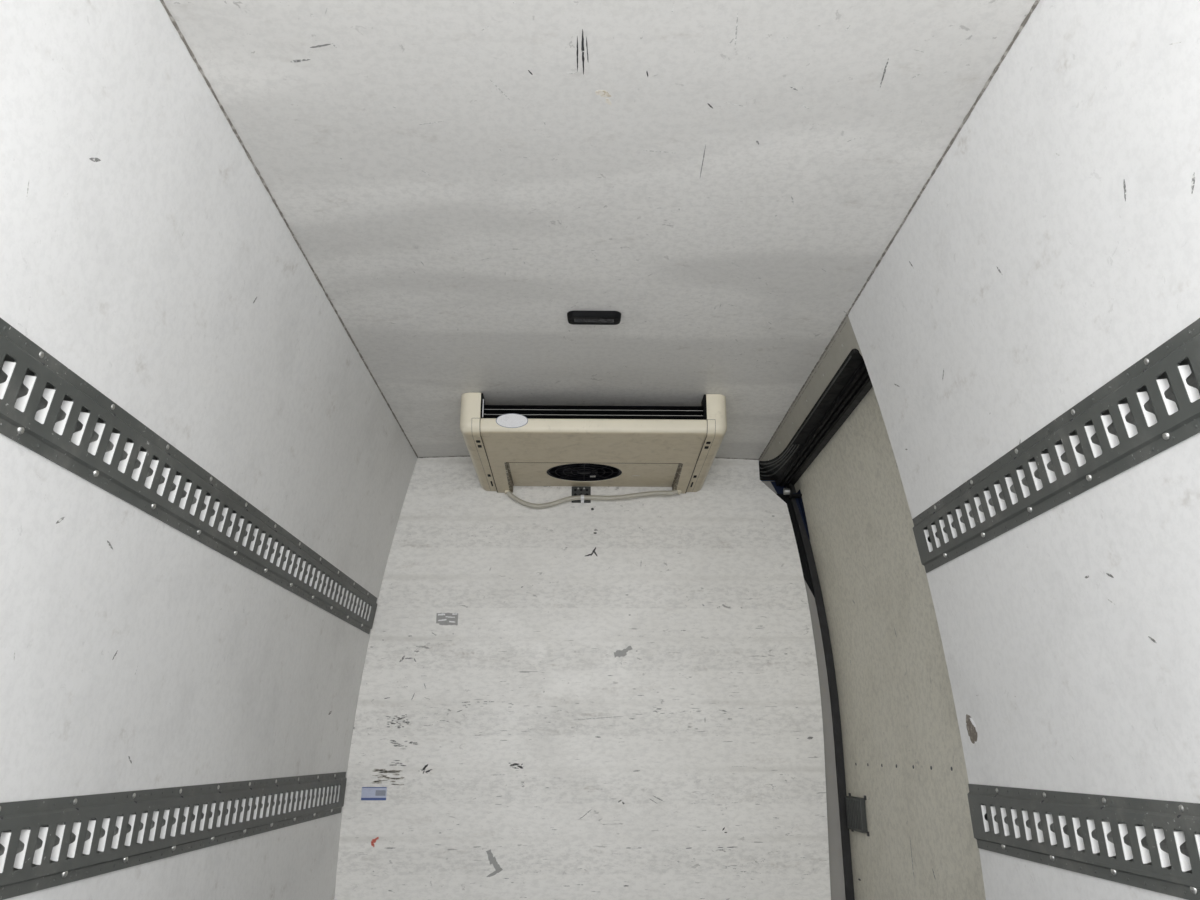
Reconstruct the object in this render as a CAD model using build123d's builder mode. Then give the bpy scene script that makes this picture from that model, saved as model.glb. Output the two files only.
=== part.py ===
from build123d import *
import math
import os
from collections import namedtuple

# Insulated load compartment of a refrigerated panel van: steel body, insulated lining, ceiling evaporator,
# cargo rails, closed side door and two rear doors standing open square to the body.
# Millimetres. +X is the right-hand side, +Y the front, +Z up. The origin is on the floor on which the
# compartment stands, under the middle cross member of the floor frame.

# Load space, measured between the lining's faces
INSIDE_LENGTH = 3200
INSIDE_HEIGHT = 1800
CEILING_CAMBER = 15
FLOOR_Z = 220
FRONT = INSIDE_LENGTH / 2
REAR = -INSIDE_LENGTH / 2
SHELL_FRONT = FRONT + 100
SHELL_REAR = REAR - 131

# A side wall in section: its half width where it stands upright, the height above the load floor at which
# it starts to lean in, and the radius that it then follows
WallCurve = namedtuple("WallCurve", "half_width lean_start radius")
LINING_FACE = WallCurve(837, 350, 5840)
BODY_INNER = WallCurve(895, 766, 4000)
BODY_OUTER = WallCurve(980, 766, 4085)

# Gaps between pieces that lie against each other: on curved faces, on flat ones, and the least
CURVED_GAP = 0.4
FLAT_GAP = 1
HAIR_GAP = 0.5
# How far a cut or a mask runs to be past everything on one side, and past a face that it only opens
THROUGH = 1200
CUT_CLEARANCE = 5

# Floor and its frame
FLOOR_THICKNESS = 60
FRAME_DEPTH = FLOOR_Z - FLOOR_THICKNESS
LONG_MEMBER_X = 450
LONG_MEMBER_WIDTH = 70
LONG_MEMBER_SETBACK = 10
CROSS_MEMBER_WIDTH = 60
CROSS_MEMBER_REACH = BODY_INNER.half_width - FLAT_GAP
AXLE_MEMBER_REACH = 590
CHASSIS_BOLT_Y = 1400
CHASSIS_BOLT_RADIUS = 9
SILL_DROP = 170

# Wheel boxes over the rear axle
AXLE_Y = -750
WHEEL_CENTRE_HEIGHT = -300
ARCH_RADIUS = 400
ARCH_LIP = 30
ARCH_LIP_DEPTH = 10
WHEEL_BOX_LENGTH = 900
WHEEL_BOX_INNER_X = LINING_FACE.half_width - 240
WHEEL_BOX_HEIGHT = 270
WHEEL_BOX_WALL = 45
WHEEL_BOX_CORNER = 25

# Front bulkhead: outline of its right-hand edge beside the door, half width and height above the load floor
BULKHEAD_THICKNESS = 75
BULKHEAD_NOTCH = (652, 1719)
BULKHEAD_SHOULDER = (749, 1625)
BULKHEAD_BELLY = (797, 1329)
BULKHEAD_WAIST = (827, 766)
BULKHEAD_FOOT = (806, 0)

# Back of the ceiling panel: its height at the sides and in the middle
CEILING_BACK_EDGE = 1860
CEILING_BACK_CREST = 1886

# Side door on the right
DOOR_OPENING_REAR = FRONT - 1250
DOOR_OPENING_TOP = 1715
DOOR_OPENING_CORNER = 50
HEADER_THICKNESS = 20
HEADER_CURVE_START = (FRONT - 410, DOOR_OPENING_TOP)
HEADER_CURVE_MIDDLE = (FRONT - 180, 1738)
HEADER_CURVE_END = (FRONT, 1788)
DOOR_REAR = DOOR_OPENING_REAR - 6
DOOR_FRONT = FRONT + 48
DOOR_BOTTOM = 12
DOOR_TOP = 1744
DOOR_CORNER = 60
DOOR_GAP = 7
DOOR_LINING_THICKNESS = 30
DOOR_PRESSING_INSET = 110
JAMB_Y = FRONT + 20
SEAL_WIDTH = 27
SEAL_DEPTH = 12
SEAL_TOP = 1712
SEAL_FOOT = 17

# Rear frame and rear doors
REAR_OPENING_HALF_WIDTH = 735
REAR_OPENING_HEIGHT = 1720
REAR_OPENING_CORNER = 90
REAR_REBATE_Y = REAR - 90
REAR_DOOR_REACH = 785
REAR_DOOR_LOW = -35
REAR_DOOR_HIGH = 1748
REAR_DOOR_CORNER = 110
REAR_DOOR_GAP = 6
REAR_DOOR_SHELL = 35
REAR_DOOR_PLUG = 56
MEETING_GAP = 4
PLUG_INSET = 58
HINGE_OFFSET = 15
HINGE_X = REAR_DOOR_REACH + HINGE_OFFSET
HINGE_Y = SHELL_REAR - HINGE_OFFSET
HINGE_HEIGHTS = (190, 860, 1530)
HINGE_HALF_HEIGHT = 32
HINGE_MIDDLE_HALF = 10
HINGE_FIXED_START = 11
HINGE_KNUCKLE = 11
HINGE_PIN = 5
HINGE_PIN_PLAY = 0.05
HINGE_LEAF = 6
HINGE_LEAF_REACH = 100
HINGE_BRACKET = 56
HINGE_BRACKET_ARM = 16

# Cargo rails on the side walls: a shallow hat section over a channel that is sunk into the lining
RAIL_HEIGHT = 130
RAIL_DEPTH = 8
RAIL_SHEET = 3
RAIL_FLANGE = 17
RAIL_RISER = 4
RAIL_CHANNEL_HALF = 40
RAIL_CHANNEL_DEPTH = 13
RAIL_PITCH = 48
SLOT_WIDTH = 25
SLOT_HEIGHT = 57
SLOT_CORNER = 4
WALL_CLEARANCE = 0.3

# Each cargo rail: its side, the height of its middle above the load floor and its front end
RAIL_REAR = REAR + 20
RAIL_RUNS = (
    ("cargo_rail_left_upper", -1, 1195, FRONT - 25),
    ("cargo_rail_left_lower", -1, 601, FRONT - 25),
    ("cargo_rail_right_upper", 1, 1195, DOOR_OPENING_REAR - 8),
    ("cargo_rail_right_lower", 1, 601, DOOR_OPENING_REAR - 3),
)

# Ceiling evaporator
EVAP_CENTRE = 11
EVAP_HALF_WIDTH = 421
EVAP_CAP_WIDTH = 66
EVAP_FRONT = FRONT - 656
EVAP_REAR = FRONT - 6
EVAP_TOP = 1807
EVAP_LIP_TOP = 1727
EVAP_LIP_BOTTOM = 1680
EVAP_REAR_BOTTOM = 1661
EVAP_SHEET = 12
EVAP_LIP_DEPTH = 20
FAN_X = -18
FAN_Y = FRONT - 215
FAN_OPENING_RADIUS = 135
FAN_RADIUS = 122

# Roof unit above the evaporator
ROOF_UNIT_LENGTH = 640
ROOF_UNIT_WIDTH = 1040
ROOF_UNIT_HEIGHT = 170
ROOF_UNIT_Y = 1200
ROOF_UNIT_WALL = 6
ROOF_FAN_X = 255
ROOF_FAN_OPENING = 190
ROOF_FAN_RADIUS = 172

os.makedirs("parts", exist_ok=True)


def keep(builder, name):
    """Label a finished piece and write it to its own file."""
    builder.part.label = name
    export_step(builder.part, f"parts/{name}.step")


def across(y):
    """Plane square to the body's length at y, with its origin on the load floor, facing the rear."""
    return Plane(origin=(0, y, FLOOR_Z), x_dir=(1, 0, 0), z_dir=(0, -1, 0))


def lengthwise(x):
    """Upright plane along the body at x, with its origin on the load floor, facing right."""
    return Plane(origin=(x, 0, FLOOR_Z), x_dir=(0, 1, 0), z_dir=(1, 0, 0))


def level(height):
    """Flat plane at a height above the load floor."""
    return Plane.XY.offset(FLOOR_Z + height)


def grow(curve, amount):
    """The wall curve that lies the given amount further out."""
    return WallCurve(curve.half_width + amount, curve.lean_start, curve.radius + amount)


def half_width(curve, height):
    """Half width of a wall curve at a height above the load floor."""
    rise = max(height - curve.lean_start, 0)
    return curve.half_width - curve.radius + math.sqrt(curve.radius**2 - rise**2)


def lean(curve, height):
    """Angle in radians by which a wall curve leans in at a height above the load floor."""
    return math.asin(max(height - curve.lean_start, 0) / curve.radius)


def wall_line(side, curve, low, high):
    """Edges up one wall curve: upright to where it starts to lean, then its arc."""
    corner = min(max(curve.lean_start, low), high)
    if corner > low:
        Line((side * half_width(curve, low), low), (side * half_width(curve, corner), corner))
    if high > corner:
        heights = (corner, (corner + high) / 2, high)
        ThreePointArc(*[(side * half_width(curve, height), height) for height in heights])


def wall_band(side, inner, outer, low, high):
    """Outline between two wall curves from one height to another, in the line that is open."""
    wall_line(side, inner, low, high)
    wall_line(side, outer, low, high)
    for height in (low, high):
        ends = [(side * half_width(curve, height), height) for curve in (inner, outer)]
        Line(*ends)


def box_between(low, high, mode=Mode.ADD):
    """Box between two opposite corners in the body's frame, with heights above the load floor."""
    size = [abs(b - a) for a, b in zip(low, high)]
    centre = [(a + b) / 2 for a, b in zip(low, high)]
    with Locations((centre[0], centre[1], centre[2] + FLOOR_Z)):
        Box(*size, mode=mode)


# Floor panel, with the wheel boxes' openings
with BuildPart() as floor_panel:
    with BuildSketch(level(-FLOOR_THICKNESS)):
        with Locations((0, (FRONT + BULKHEAD_THICKNESS + REAR) / 2)):
            Rectangle(2 * CROSS_MEMBER_REACH, FRONT + BULKHEAD_THICKNESS - REAR)
        cut_width = BODY_INNER.half_width - WHEEL_BOX_INNER_X + 2 * FLAT_GAP
        for side in (-1, 1):
            with Locations((side * (WHEEL_BOX_INNER_X - FLAT_GAP + cut_width / 2), AXLE_Y)):
                Rectangle(cut_width, WHEEL_BOX_LENGTH + 2 * FLAT_GAP, mode=Mode.SUBTRACT)
    extrude(amount=FLOOR_THICKNESS)
keep(floor_panel, "floor_panel")

# Long members, on which the compartment stands
with BuildPart() as long_members:
    with BuildSketch(Plane.XY):
        with GridLocations(2 * LONG_MEMBER_X, 0, 2, 1):
            Rectangle(LONG_MEMBER_WIDTH, 2 * (FRONT + BULKHEAD_THICKNESS - LONG_MEMBER_SETBACK))
        with GridLocations(2 * LONG_MEMBER_X, 2 * CHASSIS_BOLT_Y, 2, 2):
            Circle(CHASSIS_BOLT_RADIUS, mode=Mode.SUBTRACT)
    extrude(amount=FRAME_DEPTH)
keep(long_members, "long_members")

# Cross members, each in lengths between and outside the long members, short beside the wheels
# Each cross member: its y and how far it reaches to each side
CROSS_MEMBERS = (
    (FRONT, CROSS_MEMBER_REACH),
    (FRONT / 2, CROSS_MEMBER_REACH),
    (0, CROSS_MEMBER_REACH),
    (AXLE_Y, AXLE_MEMBER_REACH),
    (REAR + 50, CROSS_MEMBER_REACH),
)
with BuildPart() as cross_members:
    inner_end = LONG_MEMBER_X - LONG_MEMBER_WIDTH / 2
    outer_start = LONG_MEMBER_X + LONG_MEMBER_WIDTH / 2
    with BuildSketch(Plane.XY):
        for y, reach in CROSS_MEMBERS:
            with Locations((0, y)):
                Rectangle(2 * inner_end, CROSS_MEMBER_WIDTH)
            for side in (-1, 1):
                with Locations((side * (outer_start + reach) / 2, y)):
                    Rectangle(reach - outer_start, CROSS_MEMBER_WIDTH)
    extrude(amount=FRAME_DEPTH)
keep(cross_members, "cross_members")

# Wheel boxes: insulated hoods, open below and towards the wheel arch
for side, name in ((-1, "wheel_box_left"), (1, "wheel_box_right")):
    outer_x = LINING_FACE.half_width - HAIR_GAP
    with BuildPart() as wheel_box:
        with BuildSketch(across(AXLE_Y + WHEEL_BOX_LENGTH / 2)):
            with BuildLine():
                Polyline(
                    (side * WHEEL_BOX_INNER_X, -FLOOR_THICKNESS),
                    (side * WHEEL_BOX_INNER_X, WHEEL_BOX_HEIGHT),
                    (side * outer_x, WHEEL_BOX_HEIGHT),
                    (side * outer_x, -FLOOR_THICKNESS),
                    close=True,
                )
            make_face()
        extrude(amount=WHEEL_BOX_LENGTH)
        top_edges = wheel_box.edges().filter_by(Axis.Y).sort_by(Axis.Z)[-2:].sort_by(Axis.X)
        fillet(top_edges[0 if side > 0 else -1], WHEEL_BOX_CORNER)
        box_between(
            (side * (WHEEL_BOX_INNER_X + WHEEL_BOX_WALL), AXLE_Y - ARCH_RADIUS, -FLOOR_THICKNESS),
            (side * BODY_INNER.half_width, AXLE_Y + ARCH_RADIUS, WHEEL_BOX_HEIGHT - WHEEL_BOX_WALL),
            mode=Mode.SUBTRACT,
        )
    keep(wheel_box, name)

# Side linings: white skin over insulation, from the floor to the ceiling, with a channel behind each rail
LINING_RUNS = (("lining_left", -1, FRONT + BULKHEAD_THICKNESS), ("lining_right", 1, DOOR_OPENING_REAR))


def rail_axes(side, height):
    """Middle of a cargo rail's back on the lining at y 0, and the direction into the load space."""
    tilt = lean(LINING_FACE, height)
    inward = Vector(-side * math.cos(tilt), 0, -math.sin(tilt))
    return Vector(side * half_width(LINING_FACE, height), 0, FLOOR_Z + height), inward


for name, side, front in LINING_RUNS:
    with BuildPart() as lining:
        with BuildSketch(across(front)):
            with BuildLine():
                wall_band(side, LINING_FACE, grow(BODY_INNER, -CURVED_GAP), 0, INSIDE_HEIGHT)
            make_face()
        extrude(amount=front - REAR)
        hood_top = WHEEL_BOX_HEIGHT - WHEEL_BOX_WALL
        box_between(
            (side * (LINING_FACE.half_width - WHEEL_BOX_WALL), AXLE_Y - ARCH_RADIUS, -FLAT_GAP),
            (side * (BODY_INNER.half_width + FLAT_GAP), AXLE_Y + ARCH_RADIUS, hood_top),
            mode=Mode.SUBTRACT,
        )
        for _, rail_side, height, rail_front in RAIL_RUNS:
            if rail_side == side:
                foot, inward = rail_axes(side, height)
                start = foot + Vector(0, (rail_front + RAIL_REAR) / 2, 0) + inward * CUT_CLEARANCE
                with BuildSketch(Plane(start, x_dir=(0, 1, 0), z_dir=inward)):
                    Rectangle(rail_front - RAIL_REAR - 2 * RAIL_FLANGE, 2 * RAIL_CHANNEL_HALF)
                extrude(amount=-RAIL_CHANNEL_DEPTH - CUT_CLEARANCE, mode=Mode.SUBTRACT)
    keep(lining, name)

# Ceiling panel, slightly arched, resting on the side linings
roof_inner_x = half_width(BODY_INNER, INSIDE_HEIGHT) - FLAT_GAP
ceiling_x = half_width(LINING_FACE, INSIDE_HEIGHT)
with BuildPart() as ceiling_panel:
    with BuildSketch(across(FRONT + BULKHEAD_THICKNESS)):
        with BuildLine():
            ThreePointArc(
                (-ceiling_x, INSIDE_HEIGHT), (0, INSIDE_HEIGHT + CEILING_CAMBER), (ceiling_x, INSIDE_HEIGHT)
            )
            ThreePointArc(
                (roof_inner_x, CEILING_BACK_EDGE), (0, CEILING_BACK_CREST), (-roof_inner_x, CEILING_BACK_EDGE)
            )
            for side in (-1, 1):
                Polyline(
                    (side * ceiling_x, INSIDE_HEIGHT),
                    (side * roof_inner_x, INSIDE_HEIGHT),
                    (side * roof_inner_x, CEILING_BACK_EDGE),
                )
        make_face()
    extrude(amount=FRONT + BULKHEAD_THICKNESS - REAR)
keep(ceiling_panel, "ceiling_panel")


def bulkhead_edge(offset):
    """The bulkhead's right-hand edge from the ceiling down, moved sideways, in the line that is open."""
    notch, shoulder, belly, waist, foot = [
        (x + offset, z)
        for x, z in (BULKHEAD_NOTCH, BULKHEAD_SHOULDER, BULKHEAD_BELLY, BULKHEAD_WAIST, BULKHEAD_FOOT)
    ]
    Line(notch, shoulder)
    ThreePointArc(shoulder, belly, waist)
    Line(waist, foot)
    return notch, foot


# Front bulkhead, cut back on the right round the side door
with BuildPart() as bulkhead_panel:
    with BuildSketch(across(FRONT + BULKHEAD_THICKNESS)):
        with BuildLine():
            left = grow(LINING_FACE, -CURVED_GAP)
            top = INSIDE_HEIGHT - FLAT_GAP
            wall_line(-1, left, 0, top)
            notch, foot = bulkhead_edge(0)
            top_right = (notch[0], top)
            ThreePointArc((-half_width(left, top), top), (0, top + CEILING_CAMBER), top_right)
            Line(top_right, notch)
            Line(foot, (-left.half_width, 0))
        make_face()
    extrude(amount=BULKHEAD_THICKNESS)
keep(bulkhead_panel, "bulkhead_panel")

# Body sides: pressed steel side and its inner frame as one wall, with wheel arch, panel pressings and lips
# Each pressing: rear y, front y, low and high above the load floor
SIDE_PRESSINGS = {
    -1: ((-1560, -130, 620, 1560), (-60, 1560, 620, 1560)),
    1: ((-1560, -680, 930, 1560), (-620, 300, 930, 1560)),
}
PRESSING_DEPTH = 7
for side, name in ((-1, "body_side_left"), (1, "body_side_right")):
    with BuildPart() as body_side:
        with BuildSketch(across(SHELL_FRONT)):
            with BuildLine():
                wall_band(side, BODY_INNER, BODY_OUTER, -SILL_DROP, INSIDE_HEIGHT)
            make_face()
        extrude(amount=SHELL_FRONT - SHELL_REAR)
        for rear, front, low, high in SIDE_PRESSINGS[side]:
            with BuildSketch(across(front)):
                with BuildLine():
                    wall_band(
                        side, grow(BODY_OUTER, -PRESSING_DEPTH), grow(BODY_OUTER, CUT_CLEARANCE), low, high
                    )
                make_face()
            extrude(amount=front - rear, mode=Mode.SUBTRACT)
        with BuildSketch(lengthwise(side * (BODY_OUTER.half_width + ARCH_LIP_DEPTH))):
            with Locations((AXLE_Y, WHEEL_CENTRE_HEIGHT)):
                Circle(ARCH_RADIUS + ARCH_LIP)
            with Locations((AXLE_Y, -SILL_DROP - ARCH_RADIUS)):
                Rectangle(4 * ARCH_RADIUS, 2 * ARCH_RADIUS, mode=Mode.SUBTRACT)
        extrude(amount=-side * 2 * ARCH_LIP_DEPTH)
        with BuildSketch(lengthwise(0)):
            with Locations((AXLE_Y, WHEEL_CENTRE_HEIGHT)):
                Circle(ARCH_RADIUS)
        extrude(amount=side * THROUGH, mode=Mode.SUBTRACT)
        if side > 0:
            with BuildSketch(lengthwise(0)):
                with Locations(((DOOR_REAR + DOOR_FRONT) / 2, (DOOR_BOTTOM + DOOR_TOP) / 2)):
                    RectangleRounded(
                        DOOR_FRONT - DOOR_REAR + 2 * DOOR_GAP,
                        DOOR_TOP - DOOR_BOTTOM + 2 * DOOR_GAP,
                        DOOR_CORNER + DOOR_GAP,
                    )
            extrude(amount=THROUGH, mode=Mode.SUBTRACT)
    keep(body_side, name)

# Roof panel: outer skin over the ceiling, with pressed ribs
ROOF_SHOULDER = (826, 1876)
ROOF_EDGE = (762, 1916)
ROOF_CREST = 1946
ROOF_RIBS = (-560, -280, 0, 280, 560)
RIB_WIDTH = 70
RIB_RISE = 7
RIB_ROOT = 20
RIB_REAR = REAR + 80
RIB_FRONT = 800
roof_foot = half_width(BODY_OUTER, INSIDE_HEIGHT)
inner_edge = half_width(BODY_INNER, INSIDE_HEIGHT)
under_edge = CEILING_BACK_EDGE + FLAT_GAP
with BuildPart() as roof_panel:
    with BuildSketch(across(SHELL_FRONT)):
        with BuildLine():
            ThreePointArc((-ROOF_EDGE[0], ROOF_EDGE[1]), (0, ROOF_CREST), ROOF_EDGE)
            ThreePointArc(
                (-inner_edge, under_edge), (0, CEILING_BACK_CREST + FLAT_GAP), (inner_edge, under_edge)
            )
            for side in (-1, 1):
                ThreePointArc(
                    (side * roof_foot, INSIDE_HEIGHT),
                    (side * ROOF_SHOULDER[0], ROOF_SHOULDER[1]),
                    (side * ROOF_EDGE[0], ROOF_EDGE[1]),
                )
                Polyline(
                    (side * roof_foot, INSIDE_HEIGHT),
                    (side * inner_edge, INSIDE_HEIGHT),
                    (side * inner_edge, under_edge),
                )
        make_face()
    extrude(amount=SHELL_FRONT - SHELL_REAR)
    for x in ROOF_RIBS:
        rise = ROOF_CREST - (ROOF_CREST - ROOF_EDGE[1]) * (x / ROOF_EDGE[0]) ** 2
        box_between(
            (x - RIB_WIDTH / 2, RIB_REAR, rise - RIB_ROOT),
            (x + RIB_WIDTH / 2, RIB_FRONT, rise + RIB_RISE),
        )
keep(roof_panel, "roof_panel")


def opening_outline(reach, low, high, corner):
    """Doorway outline with square lower and rounded upper corners, in the line that is open."""
    Polyline((-reach, high - corner), (-reach, low), (reach, low), (reach, high - corner))
    CenterArc((reach - corner, high - corner), corner, 0, 90)
    Line((reach - corner, high), (-reach + corner, high))
    CenterArc((-reach + corner, high - corner), corner, 90, 90)


def frame_outline():
    """Outline of all that the body's sides and roof enclose, in the line that is open."""
    edge = grow(BODY_INNER, -CURVED_GAP)
    top = half_width(edge, INSIDE_HEIGHT)
    for side in (-1, 1):
        wall_line(side, edge, -FLOOR_THICKNESS, INSIDE_HEIGHT)
        Line((side * top, INSIDE_HEIGHT), (side * top, CEILING_BACK_EDGE))
    ThreePointArc((-top, CEILING_BACK_EDGE), (0, CEILING_BACK_CREST), (top, CEILING_BACK_EDGE))
    Line((-edge.half_width, -FLOOR_THICKNESS), (edge.half_width, -FLOOR_THICKNESS))


# Rear frame: the doorway, and behind it a wider rebate into which the doors close
with BuildPart() as rear_frame:
    with BuildSketch(across(REAR - HAIR_GAP)):
        with BuildLine():
            frame_outline()
        make_face()
        with BuildLine():
            opening_outline(REAR_OPENING_HALF_WIDTH, 0, REAR_OPENING_HEIGHT, REAR_OPENING_CORNER)
        make_face(mode=Mode.SUBTRACT)
    extrude(amount=REAR - HAIR_GAP - REAR_REBATE_Y)
    with BuildSketch(across(REAR_REBATE_Y)):
        with BuildLine():
            frame_outline()
        make_face()
        with BuildLine():
            opening_outline(
                REAR_DOOR_REACH + REAR_DOOR_GAP,
                REAR_DOOR_LOW - REAR_DOOR_GAP,
                REAR_DOOR_HIGH + REAR_DOOR_GAP,
                REAR_DOOR_CORNER + REAR_DOOR_GAP,
            )
        make_face(mode=Mode.SUBTRACT)
    extrude(amount=REAR_REBATE_Y - SHELL_REAR)
keep(rear_frame, "rear_frame")

# Front frame: the ring on which the cab side of the body is closed, round the bulkhead
FRONT_RING_WIDTH = 66
with BuildPart() as front_frame:
    with BuildSketch(across(SHELL_FRONT)):
        with BuildLine():
            frame_outline()
        make_face()
        with BuildLine():
            opening_outline(
                LINING_FACE.half_width - FRONT_RING_WIDTH * 2,
                0,
                INSIDE_HEIGHT - FRONT_RING_WIDTH,
                REAR_OPENING_CORNER * 2,
            )
        make_face(mode=Mode.SUBTRACT)
    extrude(amount=SHELL_FRONT - FRONT - BULKHEAD_THICKNESS - CURVED_GAP)
keep(front_frame, "front_frame")

# Rear step under the doors, with a raised tread edge
STEP_DEPTH = 115
STEP_HEIGHT = 105
STEP_LOW = -SILL_DROP + 5
STEP_HALF_WIDTH = BODY_OUTER.half_width - 30
STEP_CORNER = 45
STEP_NOSE = 12
with BuildPart() as rear_step:
    with BuildSketch(level(STEP_LOW)):
        with Locations((0, SHELL_REAR - STEP_DEPTH / 2)):
            Rectangle(2 * STEP_HALF_WIDTH, STEP_DEPTH)
        corners = vertices().group_by(Axis.Y)[0]
        fillet(corners, STEP_CORNER)
    extrude(amount=STEP_HEIGHT)
    fillet(rear_step.edges().group_by(Axis.Z)[-1].sort_by(Axis.Y)[0], STEP_NOSE)
keep(rear_step, "rear_step")

# Rub mouldings along the sides: each length's side, rear y and front y
MOULDING_LOW = 118
MOULDING_HIGH = 192
MOULDING_DEPTH = 10
MOULDING_SETBACK = 20
MOULDING_ARCH_GAP = 50
MOULDING_DOOR_INSET = 8
arch_rear = AXLE_Y - ARCH_RADIUS - MOULDING_ARCH_GAP
arch_front = AXLE_Y + ARCH_RADIUS + MOULDING_ARCH_GAP
MOULDING_RUNS = (
    (-1, SHELL_REAR + MOULDING_SETBACK, arch_rear),
    (-1, arch_front, SHELL_FRONT - MOULDING_SETBACK),
    (1, SHELL_REAR + MOULDING_SETBACK, arch_rear),
    (1, arch_front, DOOR_REAR - DOOR_GAP - MOULDING_DOOR_INSET),
    (1, DOOR_REAR + MOULDING_DOOR_INSET, DOOR_FRONT - MOULDING_DOOR_INSET),
)
with BuildPart() as side_mouldings:
    for side, rear, front in MOULDING_RUNS:
        with BuildSketch(across(front)):
            middle = (side * (BODY_OUTER.half_width + MOULDING_DEPTH / 2), (MOULDING_LOW + MOULDING_HIGH) / 2)
            with Locations(middle):
                Rectangle(MOULDING_DEPTH, MOULDING_HIGH - MOULDING_LOW)
        extrude(amount=front - rear)
keep(side_mouldings, "side_mouldings")

# Header over the side door: the lining's strip between the doorway and the ceiling
with BuildPart() as side_door_header:
    with BuildSketch(across(FRONT - FLAT_GAP)):
        with BuildLine():
            low = DOOR_OPENING_TOP - DOOR_OPENING_CORNER
            wall_band(1, LINING_FACE, grow(LINING_FACE, HEADER_THICKNESS), low, INSIDE_HEIGHT)
        make_face()
    extrude(amount=FRONT - FLAT_GAP - DOOR_OPENING_REAR)
    with BuildSketch(lengthwise(0)):
        with BuildLine():
            rear = DOOR_OPENING_REAR
            corner_end = (rear + DOOR_OPENING_CORNER, DOOR_OPENING_TOP)
            Polyline(HEADER_CURVE_END, (FRONT, INSIDE_HEIGHT), (rear, INSIDE_HEIGHT), (rear, low))
            CenterArc((corner_end[0], low), DOOR_OPENING_CORNER, 90, 90)
            Line(corner_end, HEADER_CURVE_START)
            ThreePointArc(HEADER_CURVE_START, HEADER_CURVE_MIDDLE, HEADER_CURVE_END)
        make_face()
    extrude(amount=THROUGH, mode=Mode.INTERSECT)
keep(side_door_header, "side_door_header")

# Front jamb of the side door, between the bulkhead's cut edge and the body side
with BuildPart() as side_door_jamb:
    with BuildSketch(across(FRONT + BULKHEAD_THICKNESS)):
        with BuildLine():
            notch, foot = bulkhead_edge(FLAT_GAP)
            edge = grow(BODY_INNER, -CURVED_GAP)
            wall_line(1, edge, foot[1], notch[1])
            Line(foot, (edge.half_width, foot[1]))
            Line(notch, (half_width(edge, notch[1]), notch[1]))
        make_face()
    extrude(amount=FRONT + BULKHEAD_THICKNESS - JAMB_Y)
keep(side_door_jamb, "side_door_jamb")

# Weather seal round the side door, on the door's inner face
with BuildPart() as side_door_seal:
    seal_inner = grow(BODY_INNER, -SEAL_WIDTH)
    seal_outer = grow(BODY_INNER, -CURVED_GAP)
    seal_rear = DOOR_OPENING_REAR + FLAT_GAP
    # Each length: its front y, its rear y, low and high above the load floor
    for front, rear, low, high in (
        (JAMB_Y, JAMB_Y - SEAL_DEPTH, FLAT_GAP, SEAL_TOP),
        (JAMB_Y, seal_rear, SEAL_TOP - SEAL_DEPTH, SEAL_TOP),
        (JAMB_Y, seal_rear, FLAT_GAP, SEAL_FOOT),
        (seal_rear + SEAL_DEPTH, seal_rear, FLAT_GAP, SEAL_TOP),
    ):
        with BuildSketch(across(front)):
            with BuildLine():
                wall_band(1, seal_inner, seal_outer, low, high)
            make_face()
        extrude(amount=front - rear)
keep(side_door_seal, "side_door_seal")

# Upper track of the side door: a black channel under the header, with ribs along it
TRACK_INNER_X = 712
TRACK_OUTER_X = 752
TRACK_HIGH = 1713
TRACK_LOW = 1686
TRACK_RIBS = (718, 733, 748)
TRACK_RIB_WIDTH = 8
TRACK_RIB_DEPTH = 9
with BuildPart() as side_door_track:
    with BuildSketch(across(FRONT - FLAT_GAP)):
        with BuildLine():
            Polyline(
                (TRACK_INNER_X, TRACK_HIGH),
                (TRACK_OUTER_X, TRACK_HIGH),
                (TRACK_OUTER_X, TRACK_LOW + TRACK_RIB_DEPTH),
                (TRACK_INNER_X, TRACK_HIGH - TRACK_RIB_DEPTH),
                close=True,
            )
        make_face()
        for x in TRACK_RIBS:
            share = (x - TRACK_INNER_X) / (TRACK_OUTER_X - TRACK_INNER_X)
            height = TRACK_HIGH - TRACK_RIB_DEPTH - share * (TRACK_HIGH - TRACK_LOW - 2 * TRACK_RIB_DEPTH)
            with Locations((x, height)):
                Rectangle(TRACK_RIB_WIDTH, 2 * TRACK_RIB_DEPTH)
    extrude(amount=FRONT - DOOR_OPENING_REAR - 2 * FLAT_GAP)
keep(side_door_track, "side_door_track")


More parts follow.
